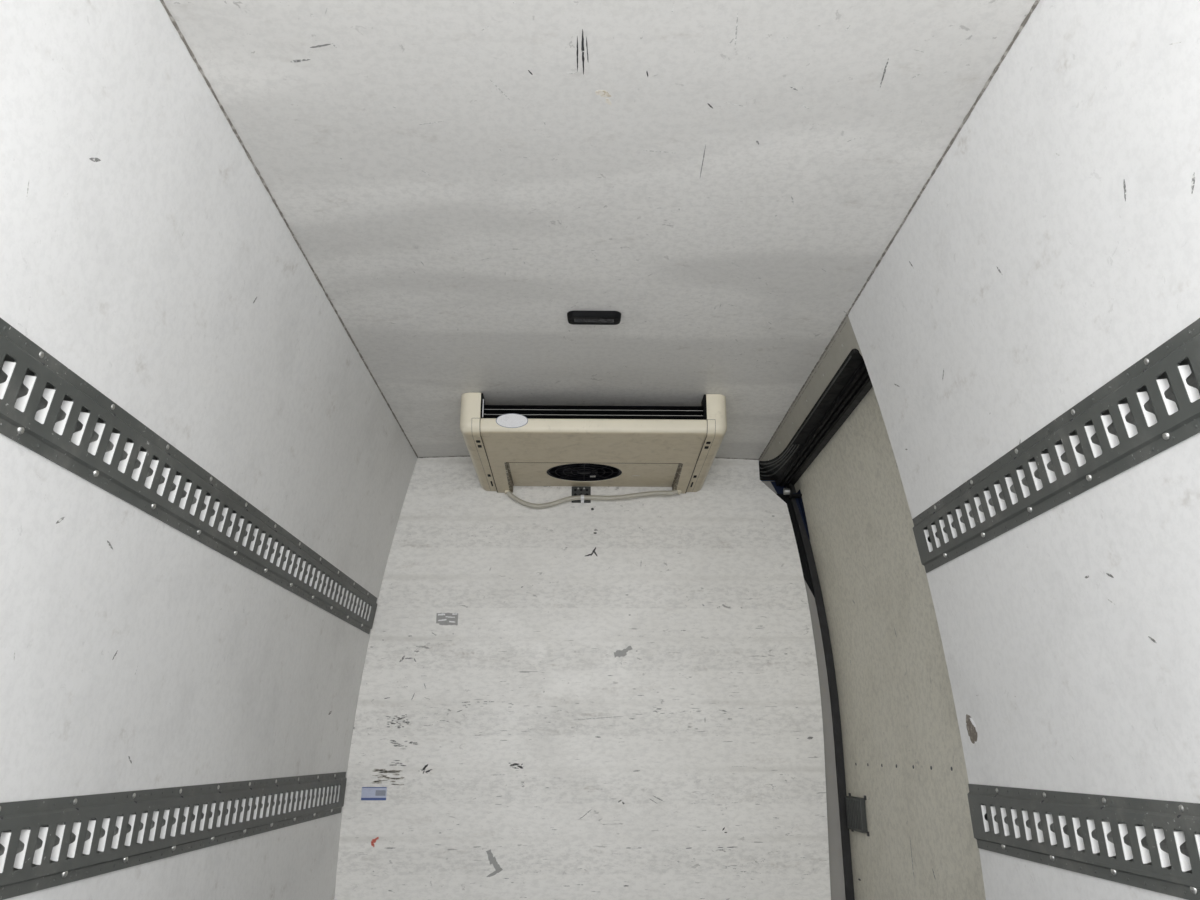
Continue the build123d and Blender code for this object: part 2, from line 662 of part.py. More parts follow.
# Side door: insulated inner panel and painted outer shell
DOOR_LAYERS = (
    ("side_door_lining", BODY_INNER, grow(BODY_INNER, DOOR_LINING_THICKNESS)),
    ("side_door_shell", grow(BODY_INNER, DOOR_LINING_THICKNESS + CURVED_GAP), BODY_OUTER),
)
for name, inner, outer in DOOR_LAYERS:
    with BuildPart() as side_door:
        with BuildSketch(lengthwise(0)):
            with Locations(((DOOR_REAR + DOOR_FRONT) / 2, (DOOR_BOTTOM + DOOR_TOP) / 2)):
                RectangleRounded(DOOR_FRONT - DOOR_REAR, DOOR_TOP - DOOR_BOTTOM, DOOR_CORNER)
        extrude(amount=THROUGH)
        with BuildSketch(across(DOOR_FRONT + CUT_CLEARANCE)):
            with BuildLine():
                wall_band(1, inner, outer, DOOR_BOTTOM - CUT_CLEARANCE, DOOR_TOP + CUT_CLEARANCE)
            make_face()
        extrude(amount=DOOR_FRONT - DOOR_REAR + 2 * CUT_CLEARANCE, mode=Mode.INTERSECT)
        if name == "side_door_shell":
            low, high = SIDE_PRESSINGS[1][0][2:]
            with BuildSketch(across(DOOR_FRONT - DOOR_PRESSING_INSET)):
                with BuildLine():
                    wall_band(
                        1, grow(BODY_OUTER, -PRESSING_DEPTH), grow(BODY_OUTER, CUT_CLEARANCE), low, high
                    )
                make_face()
            extrude(amount=DOOR_FRONT - DOOR_REAR - 2 * DOOR_PRESSING_INSET, mode=Mode.SUBTRACT)
    keep(side_door, name)

# Latch box on the door's inner face, and the roller bracket at its upper front corner
LATCH_DEPTH = 19
LATCH_Y = (FRONT - 210, FRONT - 40)
LATCH_HEIGHTS = (484, 588)
LATCH_EDGE = 4
with BuildPart() as side_door_latch:
    box_between(
        (BODY_INNER.half_width - LATCH_DEPTH, LATCH_Y[0], LATCH_HEIGHTS[0]),
        (BODY_INNER.half_width - CURVED_GAP, LATCH_Y[1], LATCH_HEIGHTS[1]),
    )
    fillet(side_door_latch.faces().sort_by(Axis.X)[0].edges(), LATCH_EDGE)
keep(side_door_latch, "side_door_latch")

ROLLER_Y = FRONT - 40
ROLLER_RADIUS = 13
ROLLER_WIDTH = 20
ROLLER_HEIGHT = 1662
ROLLER_PLATE = 4
ROLLER_PLATE_HALF = 30
ROLLER_PLATE_HEIGHTS = (1640, 1699)
ROLLER_ARM_HALF = 15
ROLLER_ARM = 8
with BuildPart() as side_door_roller:
    plate_x = TRACK_OUTER_X + FLAT_GAP
    low, high = ROLLER_PLATE_HEIGHTS
    arm_end = half_width(BODY_INNER, low + ROLLER_ARM) - HAIR_GAP
    box_between(
        (plate_x, ROLLER_Y - ROLLER_PLATE_HALF, low),
        (plate_x + ROLLER_PLATE, ROLLER_Y + ROLLER_PLATE_HALF, high),
    )
    box_between(
        (plate_x + ROLLER_PLATE, ROLLER_Y - ROLLER_ARM_HALF, low),
        (arm_end, ROLLER_Y + ROLLER_ARM_HALF, low + ROLLER_ARM),
    )
    with Locations((plate_x - ROLLER_WIDTH / 2, ROLLER_Y, FLOOR_Z + ROLLER_HEIGHT)):
        Cylinder(ROLLER_RADIUS, ROLLER_WIDTH, rotation=(0, 90, 0))
keep(side_door_roller, "side_door_roller")

# Outer grip of the side door: a plate and the pull on it
GRIP_Y = FRONT - 90
GRIP_HEIGHT = 730
GRIP_PLATE = (140, 80, 10)
GRIP_PULL = (120, 34, 22)
GRIP_PULL_CORNER = 8
with BuildPart() as side_door_grip:
    plate_length, plate_height, plate_depth = GRIP_PLATE
    pull_length, pull_height, pull_depth = GRIP_PULL
    box_between(
        (BODY_OUTER.half_width + CURVED_GAP, GRIP_Y - plate_length / 2, GRIP_HEIGHT - plate_height / 2),
        (BODY_OUTER.half_width + plate_depth, GRIP_Y + plate_length / 2, GRIP_HEIGHT + plate_height / 2),
    )
    with BuildSketch(level(GRIP_HEIGHT - pull_height / 2)):
        with Locations((BODY_OUTER.half_width + plate_depth / 2 + pull_depth / 2, GRIP_Y)):
            RectangleRounded(pull_depth, pull_length, GRIP_PULL_CORNER)
    extrude(amount=pull_height)
keep(side_door_grip, "side_door_grip")

# Running rail of the side door on the rear quarter, a channel open to the outside
RUNNER_HEIGHT = 812
RUNNER_SIZE = (12, 44)
RUNNER_GROOVE = (6, 22)
RUNNER_LENGTH = 1080
RUNNER_SETBACK = 30
with BuildPart() as side_door_rail:
    inner_face = BODY_OUTER.half_width + HAIR_GAP
    with BuildSketch(across(DOOR_OPENING_REAR - RUNNER_SETBACK)):
        with Locations((inner_face + RUNNER_SIZE[0] / 2, RUNNER_HEIGHT)):
            Rectangle(*RUNNER_SIZE)
        with Locations((inner_face + RUNNER_SIZE[0], RUNNER_HEIGHT)):
            Rectangle(2 * RUNNER_GROOVE[0], RUNNER_GROOVE[1], mode=Mode.SUBTRACT)
    extrude(amount=RUNNER_LENGTH)
keep(side_door_rail, "side_door_rail")



# Cargo rails: pressed hat section with a row of slots
def rail_section():
    """Hat section of a cargo rail: x away from the wall, y up the wall, in the line that is open."""
    half = RAIL_HEIGHT / 2
    shoulder = half - RAIL_FLANGE
    crown = shoulder - RAIL_RISER
    inner = RAIL_DEPTH - RAIL_SHEET
    Polyline(
        (0, half),
        (RAIL_SHEET, half),
        (RAIL_SHEET, shoulder),
        (RAIL_DEPTH, crown),
        (RAIL_DEPTH, -crown),
        (RAIL_SHEET, -shoulder),
        (RAIL_SHEET, -half),
        (0, -half),
        (0, -shoulder + RAIL_SHEET),
        (inner, -crown + RAIL_SHEET / 2),
        (inner, crown - RAIL_SHEET / 2),
        (0, shoulder - RAIL_SHEET),
        close=True,
    )


for name, side, height, front in RAIL_RUNS:
    length = front - RAIL_REAR
    foot, inward = rail_axes(side, height)
    sagitta = RAIL_HEIGHT**2 / (8 * LINING_FACE.radius)
    foot += inward * (sagitta + WALL_CLEARANCE)
    start_y = RAIL_REAR if side > 0 else front
    slots = int((length - 2 * RAIL_PITCH) // RAIL_PITCH)
    middle = foot + inward * RAIL_DEPTH + Vector(0, (front + RAIL_REAR) / 2, 0)
    with BuildPart() as cargo_rail:
        with BuildSketch(Plane(foot + Vector(0, start_y, 0), x_dir=inward, z_dir=(0, side, 0))):
            with BuildLine():
                rail_section()
            make_face()
        extrude(amount=length)
        with BuildSketch(Plane(middle, x_dir=(0, 1, 0), z_dir=inward)):
            with GridLocations(RAIL_PITCH, 1, slots, 1):
                RectangleRounded(SLOT_WIDTH, SLOT_HEIGHT, SLOT_CORNER)
        extrude(amount=-2 * RAIL_SHEET, mode=Mode.SUBTRACT)
    keep(cargo_rail, name)

# Ceiling evaporator: a moulded tray between two end caps, hung under the ceiling at the bulkhead
EVAP_SLOPE = math.atan2(EVAP_LIP_BOTTOM - EVAP_REAR_BOTTOM, EVAP_REAR - EVAP_FRONT)
EVAP_BODY_HALF = EVAP_HALF_WIDTH - EVAP_CAP_WIDTH
RECESS_X = (-286, 316)
RECESS_Y = FRONT - 360
RECESS_LOW = 1672
RECESS_HIGH = 1687
RECESS_SLOPE = math.atan2(RECESS_HIGH - RECESS_LOW, EVAP_REAR - RECESS_Y)
SHROUD_WALL = 5
SHROUD_HEIGHT = 34
LIP_ROUNDING = 18
LIP_TOP_ROUNDING = 9


def evap_underside(y):
    """Height above the load floor of the evaporator's underside at y."""
    return EVAP_LIP_BOTTOM - (y - EVAP_FRONT) * math.tan(EVAP_SLOPE)


def recess_floor(y):
    """Height above the load floor of the wedge-shaped recess around the fan, which opens to the bulkhead."""
    return RECESS_LOW + (y - RECESS_Y) * math.tan(RECESS_SLOPE)


fan_plane = Plane(
    origin=(FAN_X, FAN_Y, FLOOR_Z + recess_floor(FAN_Y)),
    x_dir=(1, 0, 0),
    z_dir=(0, -math.sin(RECESS_SLOPE), math.cos(RECESS_SLOPE)),
)
with BuildPart() as evaporator_tray:
    with BuildSketch(lengthwise(EVAP_CENTRE - EVAP_BODY_HALF)):
        with BuildLine():
            back = EVAP_FRONT + EVAP_LIP_DEPTH
            inner = EVAP_REAR - EVAP_SHEET
            Polyline(
                (back, EVAP_LIP_TOP),
                (EVAP_FRONT, EVAP_LIP_TOP),
                (EVAP_FRONT, EVAP_LIP_BOTTOM),
                (EVAP_REAR, EVAP_REAR_BOTTOM),
                (EVAP_REAR, EVAP_TOP),
                (inner, EVAP_TOP),
                (inner, evap_underside(inner) + EVAP_SHEET),
                (back, evap_underside(back) + EVAP_SHEET),
                close=True,
            )
        make_face()
        lip_corners = vertices().group_by(Axis.X)[0]
        fillet(lip_corners.sort_by(Axis.Y)[0], LIP_ROUNDING)
        fillet(vertices().group_by(Axis.X)[0].sort_by(Axis.Y)[-1], LIP_TOP_ROUNDING)
    extrude(amount=2 * EVAP_BODY_HALF)
    with BuildSketch(lengthwise(RECESS_X[0] - EVAP_SHEET)):
        with BuildLine():
            near = RECESS_Y - EVAP_SHEET
            Polyline(
                (near, evap_underside(near)),
                (near, recess_floor(near) + EVAP_SHEET),
                (EVAP_REAR, recess_floor(EVAP_REAR) + EVAP_SHEET),
                (EVAP_REAR, evap_underside(EVAP_REAR)),
                close=True,
            )
        make_face()
    extrude(amount=RECESS_X[1] - RECESS_X[0] + 2 * EVAP_SHEET)
    with BuildSketch(fan_plane):
        Circle(FAN_OPENING_RADIUS + SHROUD_WALL)
    extrude(amount=SHROUD_HEIGHT)
    with BuildSketch(fan_plane.offset(-2 * EVAP_SHEET)):
        Circle(FAN_OPENING_RADIUS)
    extrude(amount=3 * EVAP_SHEET + SHROUD_HEIGHT, mode=Mode.SUBTRACT)
    with BuildSketch(lengthwise(RECESS_X[0])):
        with BuildLine():
            far = EVAP_REAR + CUT_CLEARANCE
            Polyline(
                (RECESS_Y, evap_underside(RECESS_Y) - CUT_CLEARANCE),
                (RECESS_Y, RECESS_LOW),
                (far, recess_floor(far)),
                (far, evap_underside(far) - CUT_CLEARANCE),
                close=True,
            )
        make_face()
    extrude(amount=RECESS_X[1] - RECESS_X[0], mode=Mode.SUBTRACT)
keep(evaporator_tray, "evaporator_tray")

CAP_FRONT = EVAP_FRONT - 8
CAP_DROP = 5
CAP_REAR_RISE = 6
CAP_NOSE = 34
CAP_EDGE = 32
for side, name in ((-1, "evaporator_cap_left"), (1, "evaporator_cap_right")):
    with BuildPart() as evaporator_cap:
        with BuildSketch(lengthwise(EVAP_CENTRE + side * EVAP_BODY_HALF)):
            with BuildLine():
                Polyline(
                    (CAP_FRONT, EVAP_TOP),
                    (CAP_FRONT, EVAP_LIP_BOTTOM - CAP_DROP),
                    (EVAP_REAR, EVAP_REAR_BOTTOM + CAP_REAR_RISE),
                    (EVAP_REAR, EVAP_TOP),
                    close=True,
                )
            make_face()
            fillet(vertices().group_by(Axis.X)[0].sort_by(Axis.Y)[0], CAP_NOSE)
        extrude(amount=side * EVAP_CAP_WIDTH)
        outer_face = evaporator_cap.faces().sort_by(Axis.X)[-1 if side > 0 else 0]
        rounded = [edge for edge in outer_face.edges() if edge.center().Z < FLOOR_Z + EVAP_TOP - FLAT_GAP]
        fillet([edge for edge in rounded if edge.center().Y < EVAP_REAR - FLAT_GAP], CAP_EDGE)
    keep(evaporator_cap, name)

# Outlet louvres between the caps, and the finned coil behind them
LOUVRES = (1738, 1755, 1769)
LOUVRE_DEPTH = 22
LOUVRE_SHEET = 2.5
LOUVRE_TILT = -12
COIL_Y = (EVAP_FRONT + 131, EVAP_FRONT + 201)
COIL_LOW = 1692
with BuildPart() as evaporator_louvres:
    for height in LOUVRES:
        with BuildSketch(lengthwise(EVAP_CENTRE - EVAP_BODY_HALF)):
            with Locations((EVAP_FRONT + EVAP_LIP_DEPTH, height)):
                Rectangle(LOUVRE_DEPTH, LOUVRE_SHEET, rotation=LOUVRE_TILT)
        extrude(amount=2 * EVAP_BODY_HALF)
keep(evaporator_louvres, "evaporator_louvres")

with BuildPart() as evaporator_coil:
    box_between(
        (EVAP_CENTRE - EVAP_BODY_HALF, COIL_Y[0], COIL_LOW),
        (EVAP_CENTRE + EVAP_BODY_HALF, COIL_Y[1], EVAP_TOP),
    )
keep(evaporator_coil, "evaporator_coil")


BLADE_ROOT = 4
BLADE_SHEET = 3
GUARD_SPOKES = 4


def fan_guard(plane, rings, hub_radius, thickness):
    """Flat round guard on a plane. Each ring is its outer radius and its width."""
    with BuildPart() as guard:
        for radius, width in rings:
            with BuildSketch(plane):
                Circle(radius)
                Circle(radius - width, mode=Mode.SUBTRACT)
            extrude(amount=thickness)
        with BuildSketch(plane):
            Circle(hub_radius)
            for spoke in range(GUARD_SPOKES):
                Rectangle(2 * rings[0][0] - rings[0][1], rings[-1][1], rotation=spoke * 180 / GUARD_SPOKES)
        extrude(amount=thickness)
    return guard


def fan_rotor(plane, hub_radius, hub_height, radius, blades, chord, pitch):
    """Axial fan rotor with flat pitched blades, rooted in a hub that stands on a plane."""
    root = hub_radius - BLADE_ROOT
    with BuildPart(plane) as rotor:
        with Locations((0, 0, hub_height / 2)):
            Cylinder(hub_radius, hub_height)
            with PolarLocations((radius + root) / 2, blades):
                Box(radius - root, chord, BLADE_SHEET, rotation=(pitch, 0, 0))
    return rotor


# Fan in the tray's round opening: guard below, rotor, and the motor above it on the coil's frame
EVAP_GUARD_RINGS = ((FAN_OPENING_RADIUS - HAIR_GAP, 9), (104, 3), (76, 3), (48, 3))
EVAP_GUARD_LIFT = 2
EVAP_ROTOR_LIFT = 14
MOTOR_LIFT = 42
MOTOR_RADIUS = 44
MOTOR_HEIGHT = 58
STRAP_LIFT = 62
STRAP_WIDTH = 18
STRAP_SHEET = 4
STRAP_PAD = (20, 40)
POST_SIZE = (10, 16)
POST_X = FAN_OPENING_RADIUS + 50
evap_guard = fan_guard(fan_plane.offset(EVAP_GUARD_LIFT), EVAP_GUARD_RINGS, hub_radius=24, thickness=3)
keep(evap_guard, "evaporator_fan_guard")
evap_rotor = fan_rotor(
    fan_plane.offset(EVAP_ROTOR_LIFT),
    hub_radius=38,
    hub_height=22,
    radius=FAN_RADIUS,
    blades=5,
    chord=62,
    pitch=22,
)
keep(evap_rotor, "evaporator_fan")
with BuildPart() as evaporator_fan_motor:
    with BuildSketch(fan_plane.offset(MOTOR_LIFT)):
        Circle(MOTOR_RADIUS)
    extrude(amount=MOTOR_HEIGHT)
    with BuildSketch(fan_plane.offset(STRAP_LIFT)):
        Rectangle(2 * POST_X + STRAP_PAD[0], STRAP_WIDTH)
        for end in (-1, 1):
            with Locations((end * POST_X, 0)):
                Rectangle(*STRAP_PAD)
    extrude(amount=STRAP_SHEET)
    for end in (-1, 1):
        with BuildSketch(fan_plane.offset(EVAP_SHEET + HAIR_GAP)):
            with Locations((end * POST_X, 0)):
                Rectangle(*POST_SIZE)
        extrude(amount=STRAP_LIFT - EVAP_SHEET)
keep(evaporator_fan_motor, "evaporator_fan_motor")

# Drain hose, clipped under the evaporator from one rear corner of its tray to the other
HOSE_RADIUS = 8.5
HOSE_BEND_SHARE = 0.45
HOSE_ROUTE = (
    (-308, 1572, 1670),
    (-302, 1572, 1653),
    (-283, 1573, 1637),
    (-251, 1574, 1618),
    (-220, 1575, 1607),
    (-189, 1575, 1603),
    (-157, 1575, 1607),
    (-127, 1575, 1615),
    (-96, 1575, 1627),
    (-62, 1575, 1636),
    (-24, 1575, 1638),
    (20, 1575, 1638),
    (70, 1574, 1636),
    (117, 1572, 1638),
    (164, 1569, 1644),
    (211, 1565, 1650),
    (258, 1560, 1653),
    (300, 1557, 1652),
    (326, 1558, 1655),
    (341, 1561, 1671),
)


def route_radii(points):
    """Bend radius at each inner point: a share of its shorter run over the tangent of half the turn."""
    radii = []
    for before, point, after in zip(points, points[1:], points[2:]):
        run_in, run_out = point - before, after - point
        half_turn = math.radians(run_in.get_angle(run_out)) / 2
        radii.append(HOSE_BEND_SHARE * min(run_in.length, run_out.length) / math.tan(half_turn))
    return radii


hose_points = [Vector(x, y, FLOOR_Z + height) for x, y, height in HOSE_ROUTE]
hose_radii = route_radii(hose_points)
print("hose bend radii", [round(radius) for radius in hose_radii])
with BuildPart() as drain_hose:
    with BuildLine() as hose_path:
        FilletPolyline(*hose_points, radius=hose_radii)
    with BuildSketch(Plane(hose_points[0], z_dir=hose_points[1] - hose_points[0])):
        Circle(HOSE_RADIUS)
    sweep()
hose_length = hose_path.wires()[0].length
hose_share = drain_hose.part.volume / (math.pi * HOSE_RADIUS**2 * hose_length)
print("hose length", round(hose_length), "volume over section times length", round(hose_share, 4))
keep(drain_hose, "drain_hose")

# Grey clip plate on the bulkhead that carries the hose's middle
BRACKET_X = (-65, 7)
BRACKET_HEIGHTS = (1624, 1687)
BRACKET_SHEET = 2
BRACKET_TONGUE_X = (-36, -12)
BRACKET_TONGUE_LOW = 1636
BRACKET_TONGUE_SHEET = 3
HOSE_MIDDLE_Y = 1575
with BuildPart() as hose_bracket:
    plate_back = FRONT - HAIR_GAP
    plate_front = plate_back - BRACKET_SHEET
    low, high = BRACKET_HEIGHTS
    box_between((BRACKET_X[0], plate_front, low), (BRACKET_X[1], plate_back, high))
    box_between(
        (BRACKET_TONGUE_X[0], HOSE_MIDDLE_Y + HOSE_RADIUS + FLAT_GAP, BRACKET_TONGUE_LOW),
        (BRACKET_TONGUE_X[1], plate_front, BRACKET_TONGUE_LOW + BRACKET_TONGUE_SHEET),
    )
keep(hose_bracket, "hose_bracket")

# Ceiling lamp
LAMP_CENTRE = (5, FRONT - 1204)
LAMP_SIZE = (141, 50)
LAMP_CORNER = 20
LAMP_HEIGHT = 15
LAMP_TAPER = 8
CAMBER_GAP = 0.8
with BuildPart() as ceiling_lamp:
    with BuildSketch(level(INSIDE_HEIGHT + CEILING_CAMBER - CAMBER_GAP)):
        with Locations(LAMP_CENTRE):
            RectangleRounded(*LAMP_SIZE, LAMP_CORNER)
    extrude(amount=-LAMP_HEIGHT, taper=LAMP_TAPER)
keep(ceiling_lamp, "ceiling_lamp")

# Rear lamp clusters on the pillars
REAR_LAMP_X = 925
REAR_LAMP_HEIGHT = 560
REAR_LAMP_SIZE = (72, 330)
REAR_LAMP_CORNER = 14
REAR_LAMP_DEPTH = 16
with BuildPart() as rear_lamps:
    for side in (-1, 1):
        with BuildSketch(across(SHELL_REAR)):
            with Locations((side * REAR_LAMP_X, REAR_LAMP_HEIGHT)):
                RectangleRounded(*REAR_LAMP_SIZE, REAR_LAMP_CORNER)
        extrude(amount=REAR_LAMP_DEPTH)
keep(rear_lamps, "rear_lamps")


def door_plane(side, depth):
    """Plane on an open rear door, x from hinge to free edge and y up, depth in from its outer skin."""
    x = side * (HINGE_X - HINGE_OFFSET - depth)
    return Plane(origin=(x, HINGE_Y, FLOOR_Z), x_dir=(0, -1, 0), z_dir=(-1, 0, 0))


def door_outline(near, far, low, high, corner):
    """Outline of a rear door, round at its upper hinge corner, in the line that is open."""
    Polyline((near + corner, high), (far, high), (far, low), (near, low), (near, high - corner))
    CenterArc((near + corner, high - corner), corner, 90, 90)


DOOR_NEAR = HINGE_OFFSET
DOOR_FAR = HINGE_X - MEETING_GAP
PLUG_NEAR = HINGE_OFFSET + PLUG_INSET
PLUG_FAR = DOOR_FAR - 26
PLUG_GAP = 8
PLUG_HIGH = REAR_OPENING_HEIGHT - PLUG_GAP
PLUG_CORNER = REAR_OPENING_CORNER - PLUG_GAP
DOOR_SEAL_WIDTH = 22
DOOR_SEAL_DEPTH = 6
# Pressings in a rear door's skin, low and high above the load floor
DOOR_PRESSINGS = ((180, 720), (860, 1600))
DOOR_PRESSING_WIDTH = DOOR_FAR - DOOR_NEAR - 230
DOOR_PRESSING_CORNER = 50
DOOR_PRESSING_SHIFT = 20
for side, hand in ((-1, "left"), (1, "right")):
    with BuildPart() as rear_door:
        with BuildSketch(door_plane(side, 0)):
            with BuildLine():
                door_outline(DOOR_NEAR, DOOR_FAR, REAR_DOOR_LOW, REAR_DOOR_HIGH, REAR_DOOR_CORNER)
            make_face()
        extrude(amount=side * REAR_DOOR_SHELL)
        for low, high in DOOR_PRESSINGS:
            with BuildSketch(door_plane(side, 0)):
                with Locations(((DOOR_NEAR + DOOR_FAR) / 2 + DOOR_PRESSING_SHIFT, (low + high) / 2)):
                    RectangleRounded(DOOR_PRESSING_WIDTH, high - low, DOOR_PRESSING_CORNER)
            extrude(amount=side * PRESSING_DEPTH, mode=Mode.SUBTRACT)
    keep(rear_door, f"rear_door_{hand}")

    with BuildPart() as rear_door_lining:
        with BuildSketch(door_plane(side, REAR_DOOR_SHELL)):
            with BuildLine():
                door_outline(PLUG_NEAR, PLUG_FAR, PLUG_GAP, PLUG_HIGH, PLUG_CORNER)
            make_face()
        extrude(amount=side * REAR_DOOR_PLUG)
    keep(rear_door_lining, f"rear_door_lining_{hand}")

    with BuildPart() as rear_door_seal:
        with BuildSketch(door_plane(side, REAR_DOOR_SHELL)):
            with BuildLine():
                door_outline(
                    PLUG_NEAR - DOOR_SEAL_WIDTH,
                    PLUG_FAR + DOOR_SEAL_WIDTH,
                    PLUG_GAP - DOOR_SEAL_WIDTH,
                    PLUG_HIGH + DOOR_SEAL_WIDTH,
                    PLUG_CORNER + DOOR_SEAL_WIDTH,
                )
            make_face()
            with BuildLine():
                door_outline(PLUG_NEAR, PLUG_FAR, PLUG_GAP, PLUG_HIGH, PLUG_CORNER)
            make_face(mode=Mode.SUBTRACT)
        extrude(amount=side * DOOR_SEAL_DEPTH)
    keep(rear_door_seal, f"rear_door_seal_{hand}")

    # Moving leaves: a plate on the door's skin, an arm and the middle knuckle
    with BuildPart() as door_leaves:
        for height in HINGE_HEIGHTS:
            with BuildSketch(door_plane(side, 0)):
                with Locations(((HINGE_OFFSET + HINGE_LEAF_REACH) / 2, height)):
                    Rectangle(HINGE_LEAF_REACH - HINGE_OFFSET, 2 * HINGE_HALF_HEIGHT)
                with Locations((HINGE_OFFSET / 2, height)):
                    Rectangle(HINGE_OFFSET, 2 * HINGE_MIDDLE_HALF)
            extrude(amount=-side * HINGE_LEAF)
            for radius, mode in (
                (HINGE_KNUCKLE, Mode.ADD),
                (HINGE_PIN + HINGE_PIN_PLAY, Mode.SUBTRACT),
            ):
                with BuildSketch(level(height - HINGE_MIDDLE_HALF)):
                    with Locations((side * HINGE_X, HINGE_Y)):
                        Circle(radius)
                extrude(amount=2 * HINGE_MIDDLE_HALF, mode=mode)
    keep(door_leaves, f"rear_hinge_leaves_{hand}")

# Fixed leaves on the rear frame: plate, two arms, two knuckles and the pin
with BuildPart() as hinge_brackets:
    for side in (-1, 1):
        for height in HINGE_HEIGHTS:
            with BuildSketch(across(SHELL_REAR)):
                plate_x = HINGE_X + HINGE_BRACKET_ARM - FLAT_GAP + HINGE_BRACKET / 2
                with Locations((side * plate_x, height)):
                    Rectangle(HINGE_BRACKET, 2 * HINGE_HALF_HEIGHT)
                arm_middle = (HINGE_HALF_HEIGHT + HINGE_FIXED_START) / 2
                for end in (-1, 1):
                    with Locations((side * (HINGE_X + HINGE_BRACKET_ARM / 2), height + end * arm_middle)):
                        Rectangle(HINGE_BRACKET_ARM, HINGE_HALF_HEIGHT - HINGE_FIXED_START)
            extrude(amount=HINGE_LEAF)
            # Lower knuckle, pin and upper knuckle: low, high and radius
            for low, high, radius in (
                (-HINGE_HALF_HEIGHT, -HINGE_FIXED_START, HINGE_KNUCKLE),
                (-HINGE_HALF_HEIGHT, HINGE_HALF_HEIGHT, HINGE_PIN),
                (HINGE_FIXED_START, HINGE_HALF_HEIGHT, HINGE_KNUCKLE),
            ):
                with BuildSketch(level(height + low)):
                    with Locations((side * HINGE_X, HINGE_Y)):
                        Circle(radius)
                extrude(amount=high - low)
keep(hinge_brackets, "rear_hinge_brackets")

# Pull handle on the right-hand rear door: each piece is its width, height, corner and depth
HANDLE_X = DOOR_FAR - 60
HANDLE_HEIGHT = 790
HANDLE_RISE = 10
HANDLE_PLATE = (90, 110, 12, 6)
HANDLE_PULL = (70, 26, 10, 22)
with BuildPart() as rear_door_handle:
    plate_depth = HANDLE_PLATE[3]
    for (width, height, corner, depth), start, rise in (
        (HANDLE_PLATE, 0, 0),
        (HANDLE_PULL, -plate_depth, HANDLE_RISE),
    ):
        with BuildSketch(door_plane(1, start)):
            with Locations((HANDLE_X, HANDLE_HEIGHT + rise)):
                RectangleRounded(width, height, corner)
        extrude(amount=-depth)
keep(rear_door_handle, "rear_door_handle")

# Roof unit: condenser cover on two rails, its coil, and two fans under guards
ROOF_UNIT_BASE = 1962
UNIT_RAIL_X = 400
UNIT_RAIL_WIDTH = 40
UNIT_RAIL_LOW = 1939.5
UNIT_RAIL_SETBACK = 30
roof_unit_top = ROOF_UNIT_BASE + ROOF_UNIT_HEIGHT
with BuildPart() as roof_unit_rails:
    half_length = ROOF_UNIT_LENGTH / 2 - UNIT_RAIL_SETBACK
    for side in (-1, 1):
        box_between(
            (side * UNIT_RAIL_X - UNIT_RAIL_WIDTH / 2, ROOF_UNIT_Y - half_length, UNIT_RAIL_LOW),
            (side * UNIT_RAIL_X + UNIT_RAIL_WIDTH / 2, ROOF_UNIT_Y + half_length, ROOF_UNIT_BASE),
        )
keep(roof_unit_rails, "roof_unit_rails")

COVER_CORNER = 90
COVER_TAPER = 7
COVER_EDGE = 34
INTAKE_HEIGHT = 75
INTAKE_PITCH = 20
INTAKE_SLOTS = 4
INTAKE_LENGTH = ROOF_UNIT_WIDTH - 300
INTAKE_WIDTH = 9
with BuildPart() as roof_unit_cover:
    with BuildSketch(level(ROOF_UNIT_BASE)):
        with Locations((0, ROOF_UNIT_Y)):
            RectangleRounded(ROOF_UNIT_WIDTH, ROOF_UNIT_LENGTH, COVER_CORNER)
    extrude(amount=ROOF_UNIT_HEIGHT, taper=COVER_TAPER)
    fillet(roof_unit_cover.edges().group_by(Axis.Z)[-1], COVER_EDGE)
    offset(openings=roof_unit_cover.faces().sort_by(Axis.Z)[0], amount=-ROOF_UNIT_WALL)
    with BuildSketch(level(roof_unit_top + FLAT_GAP)):
        with Locations(*[(side * ROOF_FAN_X, ROOF_UNIT_Y) for side in (-1, 1)]):
            Circle(ROOF_FAN_OPENING)
    extrude(amount=-4 * ROOF_UNIT_WALL, mode=Mode.SUBTRACT)
    # Intake slots low in the front and rear faces
    with BuildSketch(across(ROOF_UNIT_Y + ROOF_UNIT_LENGTH)):
        with Locations((0, ROOF_UNIT_BASE + INTAKE_HEIGHT)):
            with GridLocations(0, INTAKE_PITCH, 1, INTAKE_SLOTS):
                SlotOverall(INTAKE_LENGTH, INTAKE_WIDTH)
    extrude(amount=2 * ROOF_UNIT_LENGTH, mode=Mode.SUBTRACT)
keep(roof_unit_cover, "roof_unit_cover")

UNIT_COIL_HALF_WIDTH = ROOF_UNIT_WIDTH / 2 - 90
UNIT_COIL_Y = (ROOF_UNIT_Y + 180, ROOF_UNIT_Y + 225)
UNIT_COIL_HEIGHT = 120
with BuildPart() as roof_unit_coil:
    box_between(
        (-UNIT_COIL_HALF_WIDTH, UNIT_COIL_Y[0], ROOF_UNIT_BASE),
        (UNIT_COIL_HALF_WIDTH, UNIT_COIL_Y[1], ROOF_UNIT_BASE + UNIT_COIL_HEIGHT),
    )
keep(roof_unit_coil, "roof_unit_coil")

